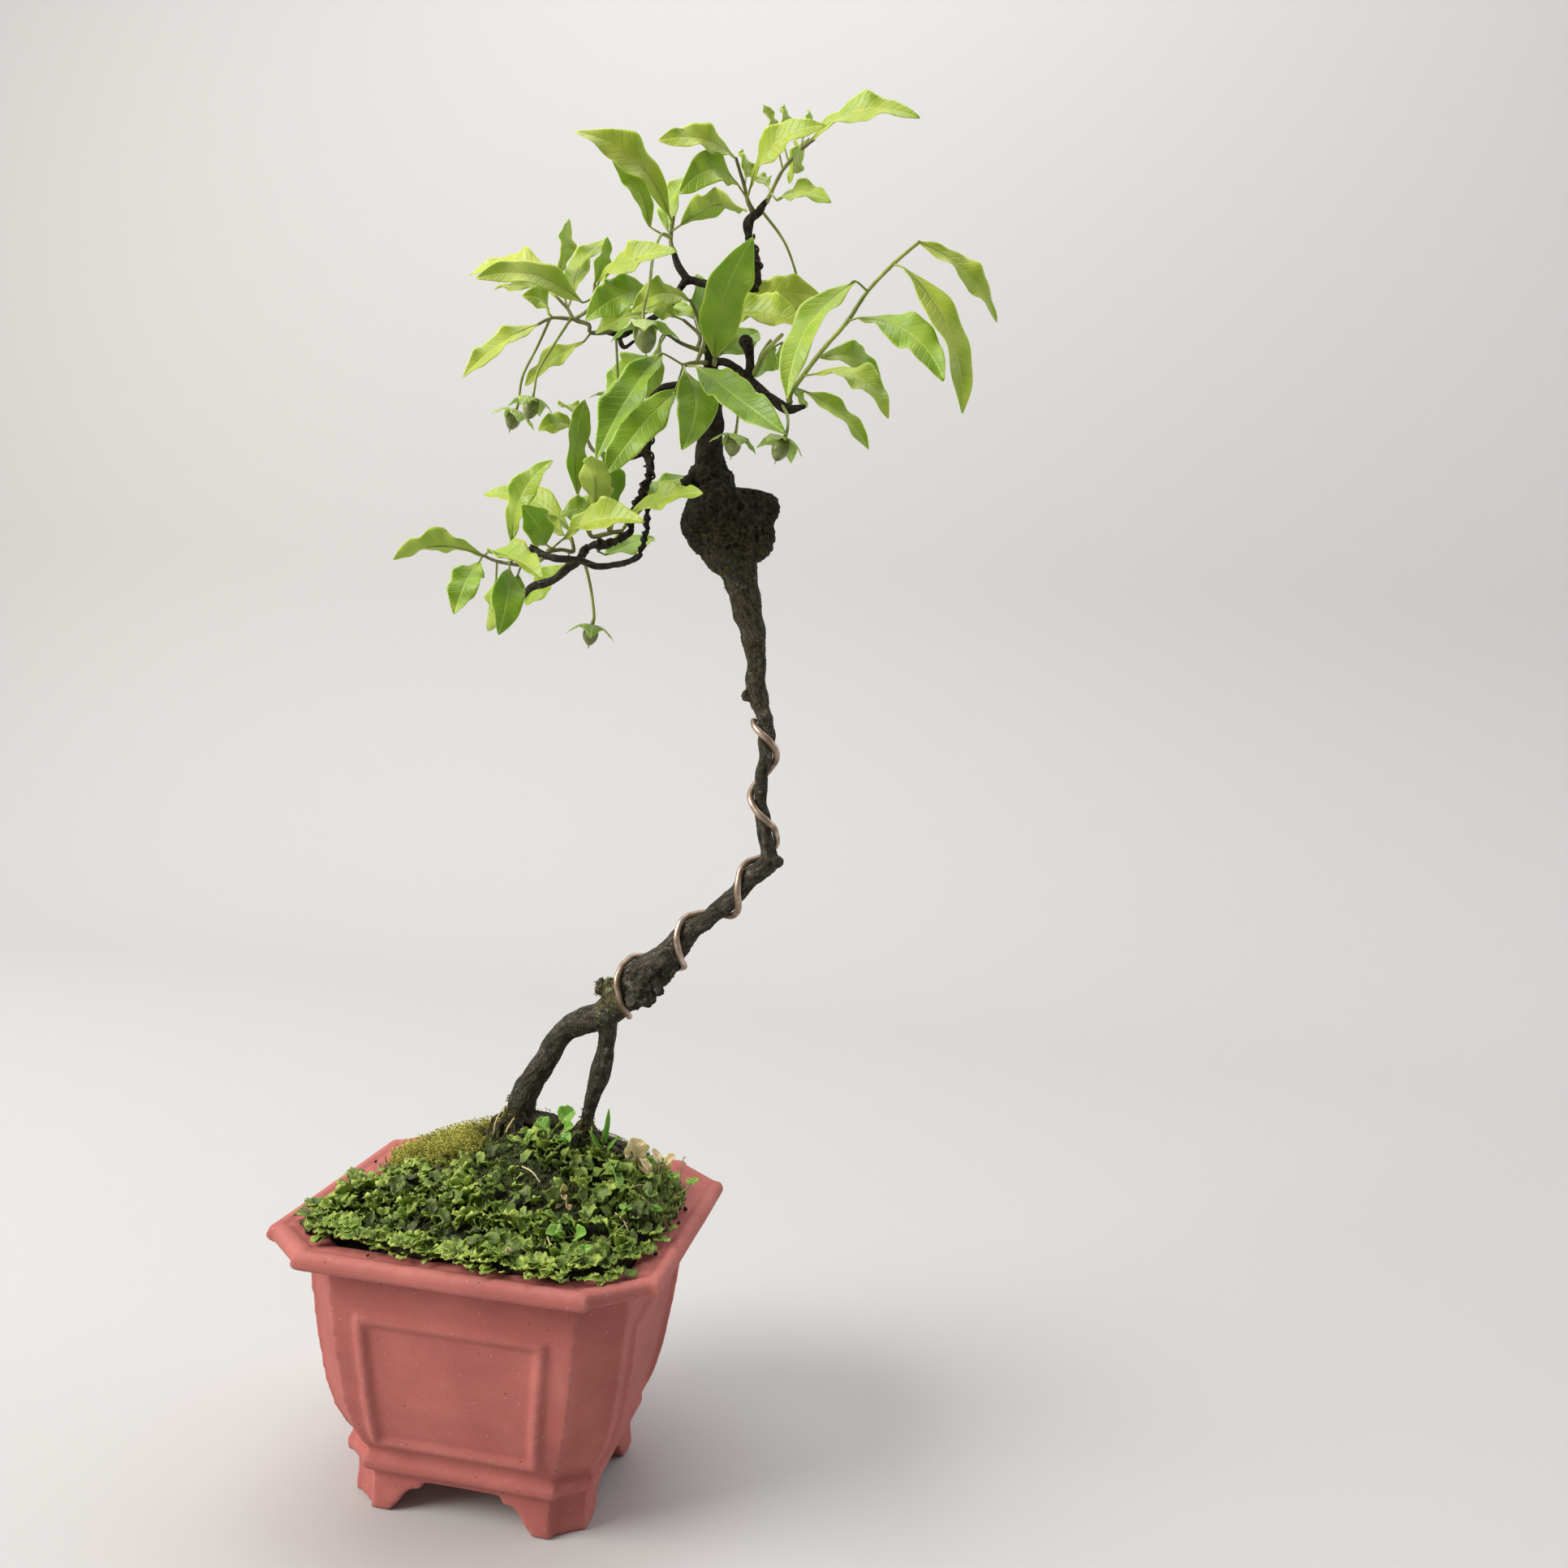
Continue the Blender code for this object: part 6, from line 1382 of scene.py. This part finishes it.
def matPart(outline, thick, rise, relief, grain, tone):
    # a closed mat: a fine grid inside the outline, thin at its edge
    cell = groundDesign["cell"]
    xs = np.arange(-76, 77, cell)
    ys = np.arange(-70, 60, cell)
    depth = {}
    for i, x in enumerate(xs):
        for j, y in enumerate(ys):
            depth[i, j] = edgeDistance(x, y, outline)
    kept = [(i, j) for i in range(len(xs) - 1) for j in range(len(ys) - 1)
            if max(depth[i, j], depth[i + 1, j], depth[i, j + 1], depth[i + 1, j + 1]) > 0.4]
    corners = sorted(set((i + a, j + b) for i, j in kept for a in (0, 1) for b in (0, 1)))
    number = {corner: index for index, corner in enumerate(corners)}
    top, low, tones = [], [], []
    for i, j in corners:
        x, y = xs[i], ys[j]
        swell = min(1.0, max(0.0, depth[i, j]) / 3.0) ** 0.5
        broad = min(1.0, max(0.0, depth[i, j]) / 22.0)
        lumpy = noise.noise(Vector((x, y, 3.0)) / grain) + 0.5 * noise.noise(Vector((x, y,
                                                                                     9.0)) / (grain * 0.4))
        base = coverHeight(x, y)
        top.append((x, y, base + 0.35 + (thick + rise * broad + relief * lumpy) * swell))
        low.append((x, y, base - 0.6))
        tones.append([max(0.0, min(1.0, tone + 0.35 * lumpy))])
    count = len(corners)
    faces, borders = [], {}
    for i, j in kept:
        face = [number[i, j], number[i + 1, j], number[i + 1, j + 1], number[i, j + 1]]
        faces.append(face)
        faces.append([index + count for index in reversed(face)])
        for a, b in zip(face, face[1:] + face[:1]):
            borders[a, b] = True
    for a, b in list(borders):
        if (b, a) not in borders:
            faces.append([b, a, a + count, b + count])
    return {"points": np.array(top + low), "faces": faces, "marks": {"growthToneAndPaintedLight": np.array(tones + tones)}}


def thallusPart(x, y, height, heading, length, width, lift, tone):
    # one lobe: narrow foot, round ruffled end with a shallow notch, a gutter along its middle
    rows, columns = 8, 6
    s = np.linspace(0.0, 1.0, rows)[:, None]
    a = np.linspace(-1.0, 1.0, columns)[None, :]
    phase = chance.uniform(0, 6.3)
    rounding = np.sqrt(1.0 - (np.maximum(0.0, s - 0.66) / 0.4) ** 2)
    half = width / 2 * np.minimum(1.0, 0.4 + 0.95 * s) * rounding
    elevation = lift - chance.uniform(0.2, 1.0) * s
    step = length / (rows - 1)
    notch = 0.2 * np.clip(1.0 - np.abs(a) * 2.2, 0.0, 1.0)
    cut = length * (0.14 * a * a + notch) * s ** 3
    waves = 0.15 * np.sin(8.0 * s + phase + np.sign(a)) + 0.09 * np.sin(17.0 * s + 2 * phase)
    frill = width * np.abs(a) ** 2.4 * waves
    frill = frill + 0.09 * width * s ** 4 * np.sin(4.0 * a + phase) + 0.16 * width * a * a
    ahead = np.cumsum(np.cos(elevation),
                      axis=0) * step - cut * np.cos(elevation) - frill * np.sin(elevation)
    rise = np.cumsum(np.sin(elevation), axis=0) * step - cut * np.sin(elevation) + frill * np.cos(elevation)
    sideways = half * a * (1.0 + 0.1 * np.sin(12.0 * s + phase)) + 0.14 * length * math.sin(phase) * s * s
    cos, sin = math.cos(heading), math.sin(heading)
    upper = np.stack([x + ahead * cos - sideways * sin, y + ahead * sin + sideways * cos, height + rise],
                     axis=2)
    part = slabPart(upper, 0.35)
    # darker at the foot and brighter towards the end and the margins: painted shade low among the lobes and
    # painted light on their lit ends and edges; the underside is three quarters as bright
    value = np.clip(tone + 0.42 * (s - 0.6) + 0.16 * np.abs(a) - 0.04, 0.0, 1.0).reshape(-1, 1)
    part["marks"] = {"growthToneAndPaintedLight": np.vstack([value, value * 0.75])}
    return part


def groundTop(x, y, thick):
    return coverHeight(x, y) + 0.35 + thick


# pale rosettes and single bright lobes along the front, as x, y, how many lobes, their length and tone
rosettes = [
    (-18, -58, 7, 7.5, 0.8), (4, -60, 9, 8.0, 0.85), (16, -60, 8, 7.0, 0.78), (36, -60, 7, 7.0, 0.82),
    (-46, -50, 6, 7.0, 0.66), (-60, -36, 6, 7.0, 0.62), (52, -54, 5, 7.5, 0.9), (64, -42, 6, 6.0, 0.5),
    (58, -50, 5, 5.5, 0.35), (67, -20, 6, 5.5, 0.55), (-30, -56, 6, 6.5, 0.6), (-62, -16, 6, 6.5, 0.55),
    (-64, -44, 6, 6.0, 0.5), (-57, -51, 6, 6.5, 0.6), (-68, -36, 6, 5.5, 0.45), (-50, -55, 6, 6.0, 0.5),
    (-38, -57, 6, 6.0, 0.55), (-7, -60, 6, 6.0, 0.6), (27, -61, 6, 6.0, 0.6), (45, -58, 6, 6.0, 0.7),
]


def inDarkBand(x, y):
    # the short dark moss that runs from the first leg to the front of the second
    startX, startY = groundDesign["bandStart"]
    runX, runY = groundDesign["bandRun"]
    t = max(0.0, min(1.0, ((x - startX) * runX + (y - startY) * runY) / (runX ** 2 + runY ** 2)))
    off = math.hypot(x - startX - runX * t, y - startY - runY * t)
    return off < groundDesign["bandHalf"] + 3 * noise.noise(Vector((x, y, 2.0)) / 8.0)


def makeLiverwort():
    # the mat ends short of the lobes, so that only they show along the pot's edge
    acrossShare, frontShare = groundDesign["matShare"]
    inner = [(x * acrossShare, y * frontShare if y < 0 else y) for x, y in liverwortOutline]
    mat = matPart(inner, groundDesign["matThick"], 0.3, 0.5, 3.0, 0.2)
    addPiece("liverwortMat", [mat], matSkin, ["liverwort"])
    fronds, skipped = [], 0
    low, high = groundDesign["thallusLong"]
    while len(fronds) < groundDesign["thalli"]:
        x, y = chance.uniform(-72, 72), chance.uniform(-65, 36)
        depth = edgeDistance(x, y, liverwortOutline)
        strip = edgeDistance(x, y, mossOutline)
        amongMoss = -7.5 < depth and -8 < strip < 9 and x > -60 and chance.random() < 0.45
        if depth < 0.5 and not amongMoss:
            continue
        length = chance.uniform(low, high) * (0.8 if depth < 4 else 1.0)
        rooty = 22 < x < 62 and abs(y - 26 + (x - 22) * 0.33) < 6.5
        sparse = x > 54 and y > -14 and chance.random() < 0.6
        if rooty or sparse:
            continue
        if inDarkBand(x, y) and chance.random() < 0.75:
            skipped += 1
            if skipped < 4000:
                continue
        patch = noise.noise(Vector((x, y, 0.0)) / 14.0)
        tone = 0.48 + 0.75 * patch + chance.uniform(-0.32, 0.32) + (0.3 if amongMoss else 0.0)
        upright = chance.uniform(0.2, 0.8) if depth < 4 else chance.uniform(0.6, 1.55)
        # the outermost lobes lie out over the pot's rim
        heading = math.atan2(y - 5, x) + chance.uniform(-0.9, 0.9) if depth < 4 else chance.uniform(0, 6.3)
        fronds.append(thallusPart(x, y, groundTop(x, y, chance.uniform(0.0, 0.9)), heading, length,
                                  length * chance.uniform(0.45, 0.85), upright, tone))
    addPiece("liverwortThalli", fronds, thallusSkin)
    lobes = []
    for x, y, count, length, tone in rosettes:
        for number in range(count):
            heading = 2 * math.pi * number / count + chance.uniform(-0.3, 0.3)
            start = length * 0.12
            lobes.append(thallusPart(x + start * math.cos(heading), y + start * math.sin(heading),
                                     groundTop(x, y, 1.6), heading, length * chance.uniform(0.8, 1.05),
                                     length * 0.72, 0.75, tone + chance.uniform(-0.08, 0.08)))
    addPiece("liverwortRosettes", lobes, thallusSkin)


def bundlePart(spikes):
    # moss leaves: slim three-sided points, each from a start along a direction, darker at its foot
    points, faces, tones = [], [], []
    for start, direction, length, radius, tone in spikes:
        side = direction.orthogonal().normalized()
        other = direction.cross(side)
        first = len(points)
        points += [start + (side * math.cos(turn) + other * math.sin(turn)) * radius for turn in (0.0, 2.1,
                                                                                                  4.2)]
        points.append(start + direction * length - Vector((0.0, 0.0, 0.12 * length)))
        faces += [[first + i for i in face] for face in ((0, 1, 3), (1, 2, 3), (2, 0, 3), (2, 1, 0))]
        tones += [[tone * 0.55]] * 3 + [[min(1.0, tone + 0.15)]]
    return {"points": np.array(points), "faces": faces, "marks": {"growthToneAndPaintedLight": np.array(tones)}}


def tuftPart(foot, up, high, tone, count=9, spread=0.75):
    # short leaves that stand up from one foot
    tangent = up.orthogonal().normalized()
    spikes = []
    for _ in range(count):
        around = chance.uniform(0, 6.3)
        outward = tangent * math.cos(around) + up.cross(tangent) * math.sin(around)
        direction = (up + outward * spread * chance.uniform(0.2, 1.2)).normalized()
        start = foot + up * high * 0.25 * chance.random()
        bright = max(0.0, min(1.0, tone + chance.uniform(-0.12, 0.12)))
        spikes.append((start, direction, high * chance.uniform(0.6, 1.1), 0.12 + high * 0.06, bright))
    return bundlePart(spikes)


def featherPart(foot, up, high, tone):
    # a moss shoot: a slim stem with short leaves standing off all along it
    tangent = up.orthogonal().normalized()
    other = up.cross(tangent)
    bow = (tangent * chance.uniform(-1, 1) + other * chance.uniform(-1, 1)) * high * 0.25
    leaves = groundDesign["featherLeaves"]
    spikes = [(foot, (up + bow * 0.5 / high).normalized(), high, 0.22, tone)]
    for number in range(leaves):
        share = (number + 1.0) / leaves
        outward = tangent * math.cos(number * 2.4) + other * math.sin(number * 2.4)
        start = foot + up * high * share * 0.9 + bow * share * share
        bright = max(0.0, min(1.0, tone + 0.3 * share - 0.15))
        spikes.append((start, (up + outward * 1.3).normalized(), high * 0.3 * (1.2 - 0.5 * share), 0.27,
                       bright))
    return bundlePart(spikes)


def makeMoss():
    mat = matPart(mossOutline, 1.0, 1.2, 0.9, 4.0, 0.05)
    addPiece("mossBase", [mat], mossSkin, ["moss_cushion"])
    feathers = []
    low, high = groundDesign["featherHigh"]
    while len(feathers) < groundDesign["feathers"]:
        x, y = chance.uniform(-67, 8), chance.uniform(-10, 54)
        depth = edgeDistance(x, y, mossOutline)
        if depth < 0.3:
            continue
        near = math.hypot(x + 8, y - 20)
        patch = noise.noise(Vector((x, y, 5.0)) / 11.0)
        if patch < -0.25 and chance.random() < 0.6:
            continue
        tone = 0.72 + 0.6 * patch - (0.45 if near < 15 else 0.0) + chance.uniform(-0.2, 0.2)
        lean = Vector((chance.uniform(-0.45, 0.35), chance.uniform(-0.5, 0.3), 1.0)).normalized()
        foot = Vector((x, y, groundTop(x, y, 0.4 + 1.2 * min(1.0, depth / 22.0))))
        feathers.append(featherPart(foot, lean, chance.uniform(low, high) * (0.7 if depth < 3 else 1.0),
                                    tone))
    addPiece("mossTufts", feathers, mossSkin)
    dark = []
    while len(dark) < groundDesign["darkTufts"]:
        # round the legs and the middle, over the liverwort's back edge, and grass-like at the right
        x, y = chance.uniform(-36, 72), chance.uniform(-36, 50)
        middle = 0.5 if inDarkBand(x, y) else math.hypot((x - 14) / 36.0, (y - 18) / 16.0)
        right = math.hypot((x - 60) / 14.0, (y - 2) / 24.0)
        back = y > 20 and edgeDistance(x, y, plan(18.0, 0.74, 1.5)) > 2.0
        if middle > 1.0 and right > 1.0 and not back:
            continue
        covered = middle < 1.0 or right < 1.0
        high = chance.uniform(2.2, 3.8) if right > 1.0 else chance.uniform(3.0, 6.0)
        tone = chance.uniform(0.05, 0.5) if right > 1.0 else chance.uniform(0.3, 0.85)
        foot = Vector((x, y, max(mound(x, y), groundTop(x, y, 0.5)) if covered else mound(x, y)))
        dark.append(tuftPart(foot, Vector((0, 0, 1)), high, tone, 7, 0.8 if right > 1.0 else 0.4))
    addPiece("mossDark", dark, grassSkin)


def onBark(x, y, z, radius, count, high, tone, name, skin):
    # moss tufts on the bark: points thrown at the wood from around a place
    tufts = []
    for _ in range(count):
        aim = Vector((chance.gauss(0, 1), chance.gauss(0, 1), chance.gauss(0, 1))).normalized()
        hit, normal, _, _ = woodTree.ray_cast(Vector((x, y, z)) + aim * radius * 2.0, -aim, radius * 2.0)
        if hit is None:
            continue
        tufts.append(tuftPart(hit, normal, chance.uniform(*high), tone, 7, 1.0))
    addPiece(name, tufts, skin)


makeSoil()
makeLiverwort()
makeMoss()
onBark(36, 9, 208, 5.0, 230, (0.5, 1.3), 0.55, "lichenOnStub", lichenSkin)
onBark(32, 9, 197, 4.0, 190, (0.3, 0.8), 0.7, "lichenOnFork", lichenSkin)
onBark(80, -4, 384, 10.0, 130, (0.3, 0.7), 0.3, "mossOnGall", mossSkin)
onBark(-8, 20, 141, 9.0, 240, (0.7, 1.7), 0.3, "mossOnLeg", mossSkin)
onBark(24, 24, 142, 6.0, 120, (0.6, 1.4), 0.25, "mossOnSecondLeg", mossSkin)
print("ground made")


# Small plants: stem route, leaves as for the shoots with the stalk root at the top of the stem, and tones

plantShapes = {"round": roundShape, "broad": broadShape,
               "grass": [(0.0, 0.7), (0.3, 1.0), (0.7, 0.7), (1.0, 0.08)],
               "bud": [(0.0, 0.5), (0.4, 1.0), (0.8, 0.7), (1.0, 0.1)]}
smallPlants = {
    "sorrel_back": {
        "stems": [[(14, 8, 134, 0.45), (14, 8, 142, 0.4)], [(14, 8, 138, 0.35), (12, 10, 143, 0.3)]],
        "leaves": [((14, 8, 142), (16, 12, 148), (21, 15, 152.5), 8, 30),
                   ((14, 8, 142), (11, 11, 144), (5, 12, 146.5), 7, 30),
                   ((14, 8, 142), (18, 2, 144), (25, 0, 144.5), 7, 60),
                   ((14, 8, 141), (10, 4, 143), (6, 0, 142), 6, 55),
                   ((14, 8, 142), (19, 8, 146), (24, 6, 149), 6, 40)],
        "tones": [0.72, 0.6, 0.66, 0.5, 0.75], "shape": "round", "blade": herbBlade, "fold": 0.75,
                    "slot": "herb"},
    "sorrel_front": {
        "stems": [[(41, -37, 116, 0.45), (41, -37, 122, 0.4)],
                  [(44, -34, 118, 0.35), (52, -38, 122, 0.3), (61, -42, 121, 0.25)],
                  [(50, -36, 118, 0.35), (56, -36, 124, 0.3), (61, -34, 129, 0.25)]],
        "leaves": [((41, -37, 122), (39, -43, 124), (33, -46, 126), 8, 60),
                   ((41, -37, 122), (43, -41, 124), (48, -43, 127), 6, 40),
                   ((41, -37, 121), (38, -36, 124), (33, -34, 126), 5, 50)],
        "tones": [0.7, 0.62, 0.55], "shape": "round", "blade": herbBlade, "fold": 0.7, "slot": "herb"},
    "bud_sprig": {
        "stems": [[(33, -24, 122, 0.45), (33, -24, 131, 0.4)]],
        "leaves": [((33, -24, 131), (32, -26, 133), (34, -29, 132.5), 2.4, 30),
                   ((33, -24, 132), (31.5, -25.5, 134), (32.5, -27, 138), 3.0, 30),
                   ((33, -24, 131), (34, -27, 130), (36, -29, 128.5), 2.4, 40),
                   ((33, -24, 130), (31.5, -26, 129), (30, -28, 128), 2.0, 40)],
        "tones": [0.2, 0.5, 0.1, 0.3], "shape": "bud", "blade": strawBlade, "fold": 0.8, "slot": "straw"},
    "grass_blade": {
        "stems": [[(36, 10, 130, 0.4), (36, 10, 139, 0.35)]],
        "leaves": [((36, 10, 138), (36, 10, 142), (38, 9.5, 157), 3, 30),
                   ((36, 10, 136), (35, 9, 139), (31, 6, 148), 2, 30),
                   ((36, 10, 136), (38, 9, 139), (43, 7, 146), 1.8, 40)],
        "tones": [0.6, 0.5, 0.45], "shape": "grass", "blade": herbBlade, "fold": 0.6, "slot": "herb"},
    "broad_blade": {
        "stems": [[(42, 5, 128, 0.5), (42, 5, 135, 0.45)]],
        "leaves": [((42, 5, 135), (42, 4, 137.5), (51, -11, 131), 6, 50)],
        "tones": [0.75], "shape": "grass", "blade": herbBlade, "fold": 0.5, "slot": "herb"},
    "dead_leaf": {
        "stems": [[(51, 11, 126, 0.5), (51, 11, 133, 0.45)]],
        "leaves": [((51, 11, 133), (51, 11, 135), (48, 12, 145), 11, 15),
                   ((51, 11, 133), (53, 9, 134), (57, 5, 133), 5, 60)],
        "tones": [0.7, 0.4], "shape": "broad", "blade": strawBlade, "fold": 0.45, "slot": "straw"},
    "straw_sprig": {
        "stems": [[(61, 9, 122, 0.45), (61, 9, 129, 0.4)], [(60, 14, 120, 0.4), (59, 13, 128, 0.35),
                                                            (56, 12, 134, 0.3)],
                  [(65, 22, 118, 0.4), (66, 26, 124, 0.35), (64, 38, 128, 0.3), (63, 46, 126, 0.25)]],
        "leaves": [((61, 9, 129), (60, 13, 135), (56, 16, 140), 4, 30),
                   ((61, 9, 129), (63, 11, 136), (67, 12, 140), 4, 30),
                   ((61, 9, 128), (58, 8, 133), (53, 8, 138), 4, 40)],
        "tones": [0.8, 0.6, 0.7], "shape": "bud", "blade": strawBlade, "fold": 0.5, "slot": "straw"},
}


def makePlant(name, design):
    blades = []
    wood = [tubePart(smoothRoute(route, 1.0), 8, 0.06, 1.2) for route in design["stems"]]
    for leaf, tone in zip(design["leaves"], design["tones"]):
        root, base, tip, width, turn = leaf
        part, rib = bladePart(base, tip, width, turn, fold=design["fold"], wave=0.07, tone=tone,
                              shape=plantShapes[design["shape"]], rows=17, columns=11, thickness=0.25)
        blades.append(part)
        wood.append(tubePart(smoothRoute([(*root, 0.38), (*base, 0.32), rib[1]], 1.0), 8))
    addPiece("stems." + name, wood, twigSkin, [name])
    addPiece("blades." + name, blades, design["blade"])


for name, design in smallPlants.items():
    makePlant(name, design)

# loose bits: dry stalks, needles and a curled dry leaf on the moss and the mat, as start, end and radius
looseStraws = [
    ((-24, 2), (-30, 14), 0.4), ((-21, 4), (-26, 20), 0.35), ((10, -14), (20, -20), 0.35),
               ((-44, -40), (-36, -46), 0.45),
    ((30, -40), (36, -47), 0.45), ((52, -20), (60, -26), 0.3), ((-56, 20), (-50, 30), 0.3),
               ((22, 36), (36, 42), 0.4),
    ((60, 6), (52, -4), 0.35), ((-12, -30), (-4, -27), 0.3), ((44, 22), (56, 26), 0.35),
               ((0, 44), (-12, 49), 0.35),
]


# dry stalks that lean on the legs
hangingStraws = [
    ((-4.5, 15.0, 148.0), (-8.0, 9.0, 136.0), 0.35), ((-11.0, 14.0, 150.0), (-12.5, 9.0, 137.0), 0.3),
    ((18.0, 22.0, 147.0), (15.0, 15.0, 137.0), 0.3), ((27.0, 21.0, 144.0), (32.0, 15.0, 134.0), 0.25),
]


# seedlings at the right: foot, top, and leaf tips round the top
seedlings = [
    ((54, 16), (55, 17, 134)), ((58, 19), (61, 20, 133)), ((62, 14), (66, 13, 130)),
             ((66, 12), (75, 12, 129)),
    ((50, 8), (49, 7, 134)), ((60, -2), (62, -4, 128)), ((64, -10), (66, -12, 126)),
             ((55, -18), (56, -20, 128)),
    ((46, -46), (50, -50, 124)), ((30, 40), (31, 41, 131)), ((-20, 40), (-21, 41, 135)),
]


def makeSeedlings():
    stems, blades = [], []
    for number, ((x, y), top) in enumerate(seedlings):
        foot = (x, y, groundTop(x, y, 0.0))
        middle = [(a + b) / 2 + bow for a, b, bow in zip(foot, top, (0.8, -0.8, 0.0))]
        stems.append(tubePart(smoothRoute([(*foot, 0.34), (*middle, 0.3), (*top, 0.24)], 0.9), 8))
        for turn in range(3):
            around = 2.1 * turn + number
            tip = Vector(top) + Vector((3.0 * math.cos(around), 2.0 * math.sin(around), 0.6 + turn * 0.5))
            part, _ = bladePart(top, tip, 2.2, 20, fold=0.5, wave=0.07, tone=0.55 + 0.1 * turn,
                                shape=roundShape, rows=9,
                                columns=7, thickness=0.25)
            blades.append(part)
    addPiece("seedlingStems", stems, stalkSkin)
    addPiece("seedlingBlades", blades, herbBlade)
    # two curled dry leaves that lie at the front edge
    dry = [bladePart((24, -57, 117.4), (22, -56, 123.5), 4.0, 15, fold=0.8, wave=0.1, tone=0.95)[0],
           bladePart((-59, -45, 117.6), (-67, -47, 117.4), 3.6, 40, fold=0.6, wave=0.1, tone=0.7)[0]]
    addPiece("dryLeaves", dry, strawBlade)


def makeLooseStraws():
    parts = []
    for (x0, y0), (x1, y1), radius in looseStraws:
        first = Vector((x0, y0, groundTop(x0, y0, 3.2)))
        last = Vector((x1, y1, groundTop(x1, y1, 3.6)))
        middle = (first + last) / 2 + Vector((0.6, -0.4, 1.2))
        parts.append(tubePart(smoothRoute([(*first, radius), (*middle, radius * 0.9),
                                           (*last, radius * 0.6)], 0.8), 8,
                              0.05, 0.9))
    for start, end, radius in hangingStraws:
        middle = (Vector(start) + Vector(end)) / 2 + Vector((-0.8, -1.0, 0.6))
        parts.append(tubePart(smoothRoute([(*start, radius), (*middle, radius), (*end, radius * 0.7)], 0.8),
                              8, 0.04, 0.9))
    marks = [np.column_stack([part["points"][:, 0] * 0, part["points"][:, 2] * 0 + 0.5,
                              part["points"][:, 2] * 0 + 0.7]) for part in parts]
    for part, mark in zip(parts, marks):
        part["marks"] = {"leafPlace": mark, "leafMm": part["points"] * np.array([1.0, 1.0, 0.0])}
    addPiece("looseStraws", parts, strawBlade)


makeSeedlings()
makeLooseStraws()
print("small plants made")


# Studio: pale floor that curves up behind, soft light from the front left, camera

studio = {
    "floorTint": "#BFBEBD",
    "sweepStart": 0.75,
    "sweepHeight": 2.4,
    "halfWidth": 2.6,
    "camera": Vector((194.1, -485.7, 336.2)),
    "yaw": -10.27,
    "pitch": 4.3,
    "roll": 3.32,
    "focal": 1550.0,  # in the photograph's pixels
    "imageWide": 1932.0,
    "sensor": 36.0,
}


def makeSweep():
    floorTop = origin.z - 0.0002
    radius = 0.5
    profile = [(-1.6, floorTop), (0.2, floorTop), (studio["sweepStart"], floorTop)]
    for step in np.linspace(0, math.pi / 2, 13)[1:]:
        profile.append((studio["sweepStart"] + radius * math.sin(step),
                        floorTop + radius * (1 - math.cos(step))))
    profile.append((studio["sweepStart"] + radius, studio["sweepHeight"]))
    half = studio["halfWidth"]
    points = [(x, y, z) for y, z in profile for x in (-half, half)]
    faces = [[2 * i, 2 * i + 1, 2 * i + 3, 2 * i + 2] for i in range(len(profile) - 1)]
    mesh = bpy.data.meshes.new("studioSweep")
    mesh.from_pydata(points, [], faces)
    mesh.shade_smooth()
    mesh.materials.append(plasterWall("mattStudioPaint", studio["floorTint"], 0.85))
    sweep = bpy.data.objects.new("studioSweep", mesh)
    bpy.context.scene.collection.objects.link(sweep)


def addSoftLight(name, place, target, size, power, tint):
    light = bpy.data.lights.new(name, "AREA")
    light.shape = "RECTANGLE"
    light.size, light.size_y = size
    light.energy = power
    light.color = colour(tint)[:3]
    holder = bpy.data.objects.new(name, light)
    holder.location = place
    holder.rotation_euler = (Vector(target) - Vector(place)).to_track_quat("-Z", "Y").to_euler()
    bpy.context.scene.collection.objects.link(holder)


def makeCamera():
    yaw, pitch, roll = (math.radians(studio[key]) for key in ("yaw", "pitch", "roll"))
    ahead = Vector((math.sin(yaw) * math.cos(pitch), math.cos(yaw) * math.cos(pitch), -math.sin(pitch)))
    level = Vector((math.cos(yaw), -math.sin(yaw), 0.0))
    up = level.cross(ahead)
    right = level * math.cos(roll) + up * math.sin(roll)
    above = up * math.cos(roll) - level * math.sin(roll)
    lens = bpy.data.cameras.new("photoCamera")
    lens.sensor_width = studio["sensor"]
    lens.lens = studio["focal"] / studio["imageWide"] * studio["sensor"]
    lens.clip_start = 0.01
    camera = bpy.data.objects.new("photoCamera", lens)
    turn = Matrix((right, above, -ahead)).transposed().to_4x4()
    camera.matrix_world = Matrix.Translation(origin + studio["camera"] * mm) @ turn
    bpy.context.scene.collection.objects.link(camera)
    bpy.context.scene.camera = camera


makeSweep()
makeCamera()
addSoftLight("keyWindow", (-1.7, -1.1, 1.45), (0.0, 0.0, 0.28), (1.3, 1.3), 70.0, "#FFFCF8")
addSoftLight("topSoft", (-0.2, 0.25, 2.0), (0.0, 0.0, 0.3), (1.5, 1.5), 17.0, "#FFFFFF")
addSoftLight("backRight", (1.5, 0.5, 0.8), (0.0, 0.0, 0.2), (0.9, 0.9), 6.0, "#F4F6FF")
addSoftLight("wallWash", (0.5, 0.35, 2.1), (0.2, 1.3, 0.4), (2.4, 0.6), 8.0, "#FFFFFF")
world = bpy.data.worlds.new("softRoom")
world.use_nodes = True
world.node_tree.nodes["Background"].inputs[0].default_value = colour("#F3F2F0")
world.node_tree.nodes["Background"].inputs[1].default_value = 0.29
bpy.context.scene.world = world
bpy.context.scene.view_settings.view_transform = "Standard"
print("studio made")
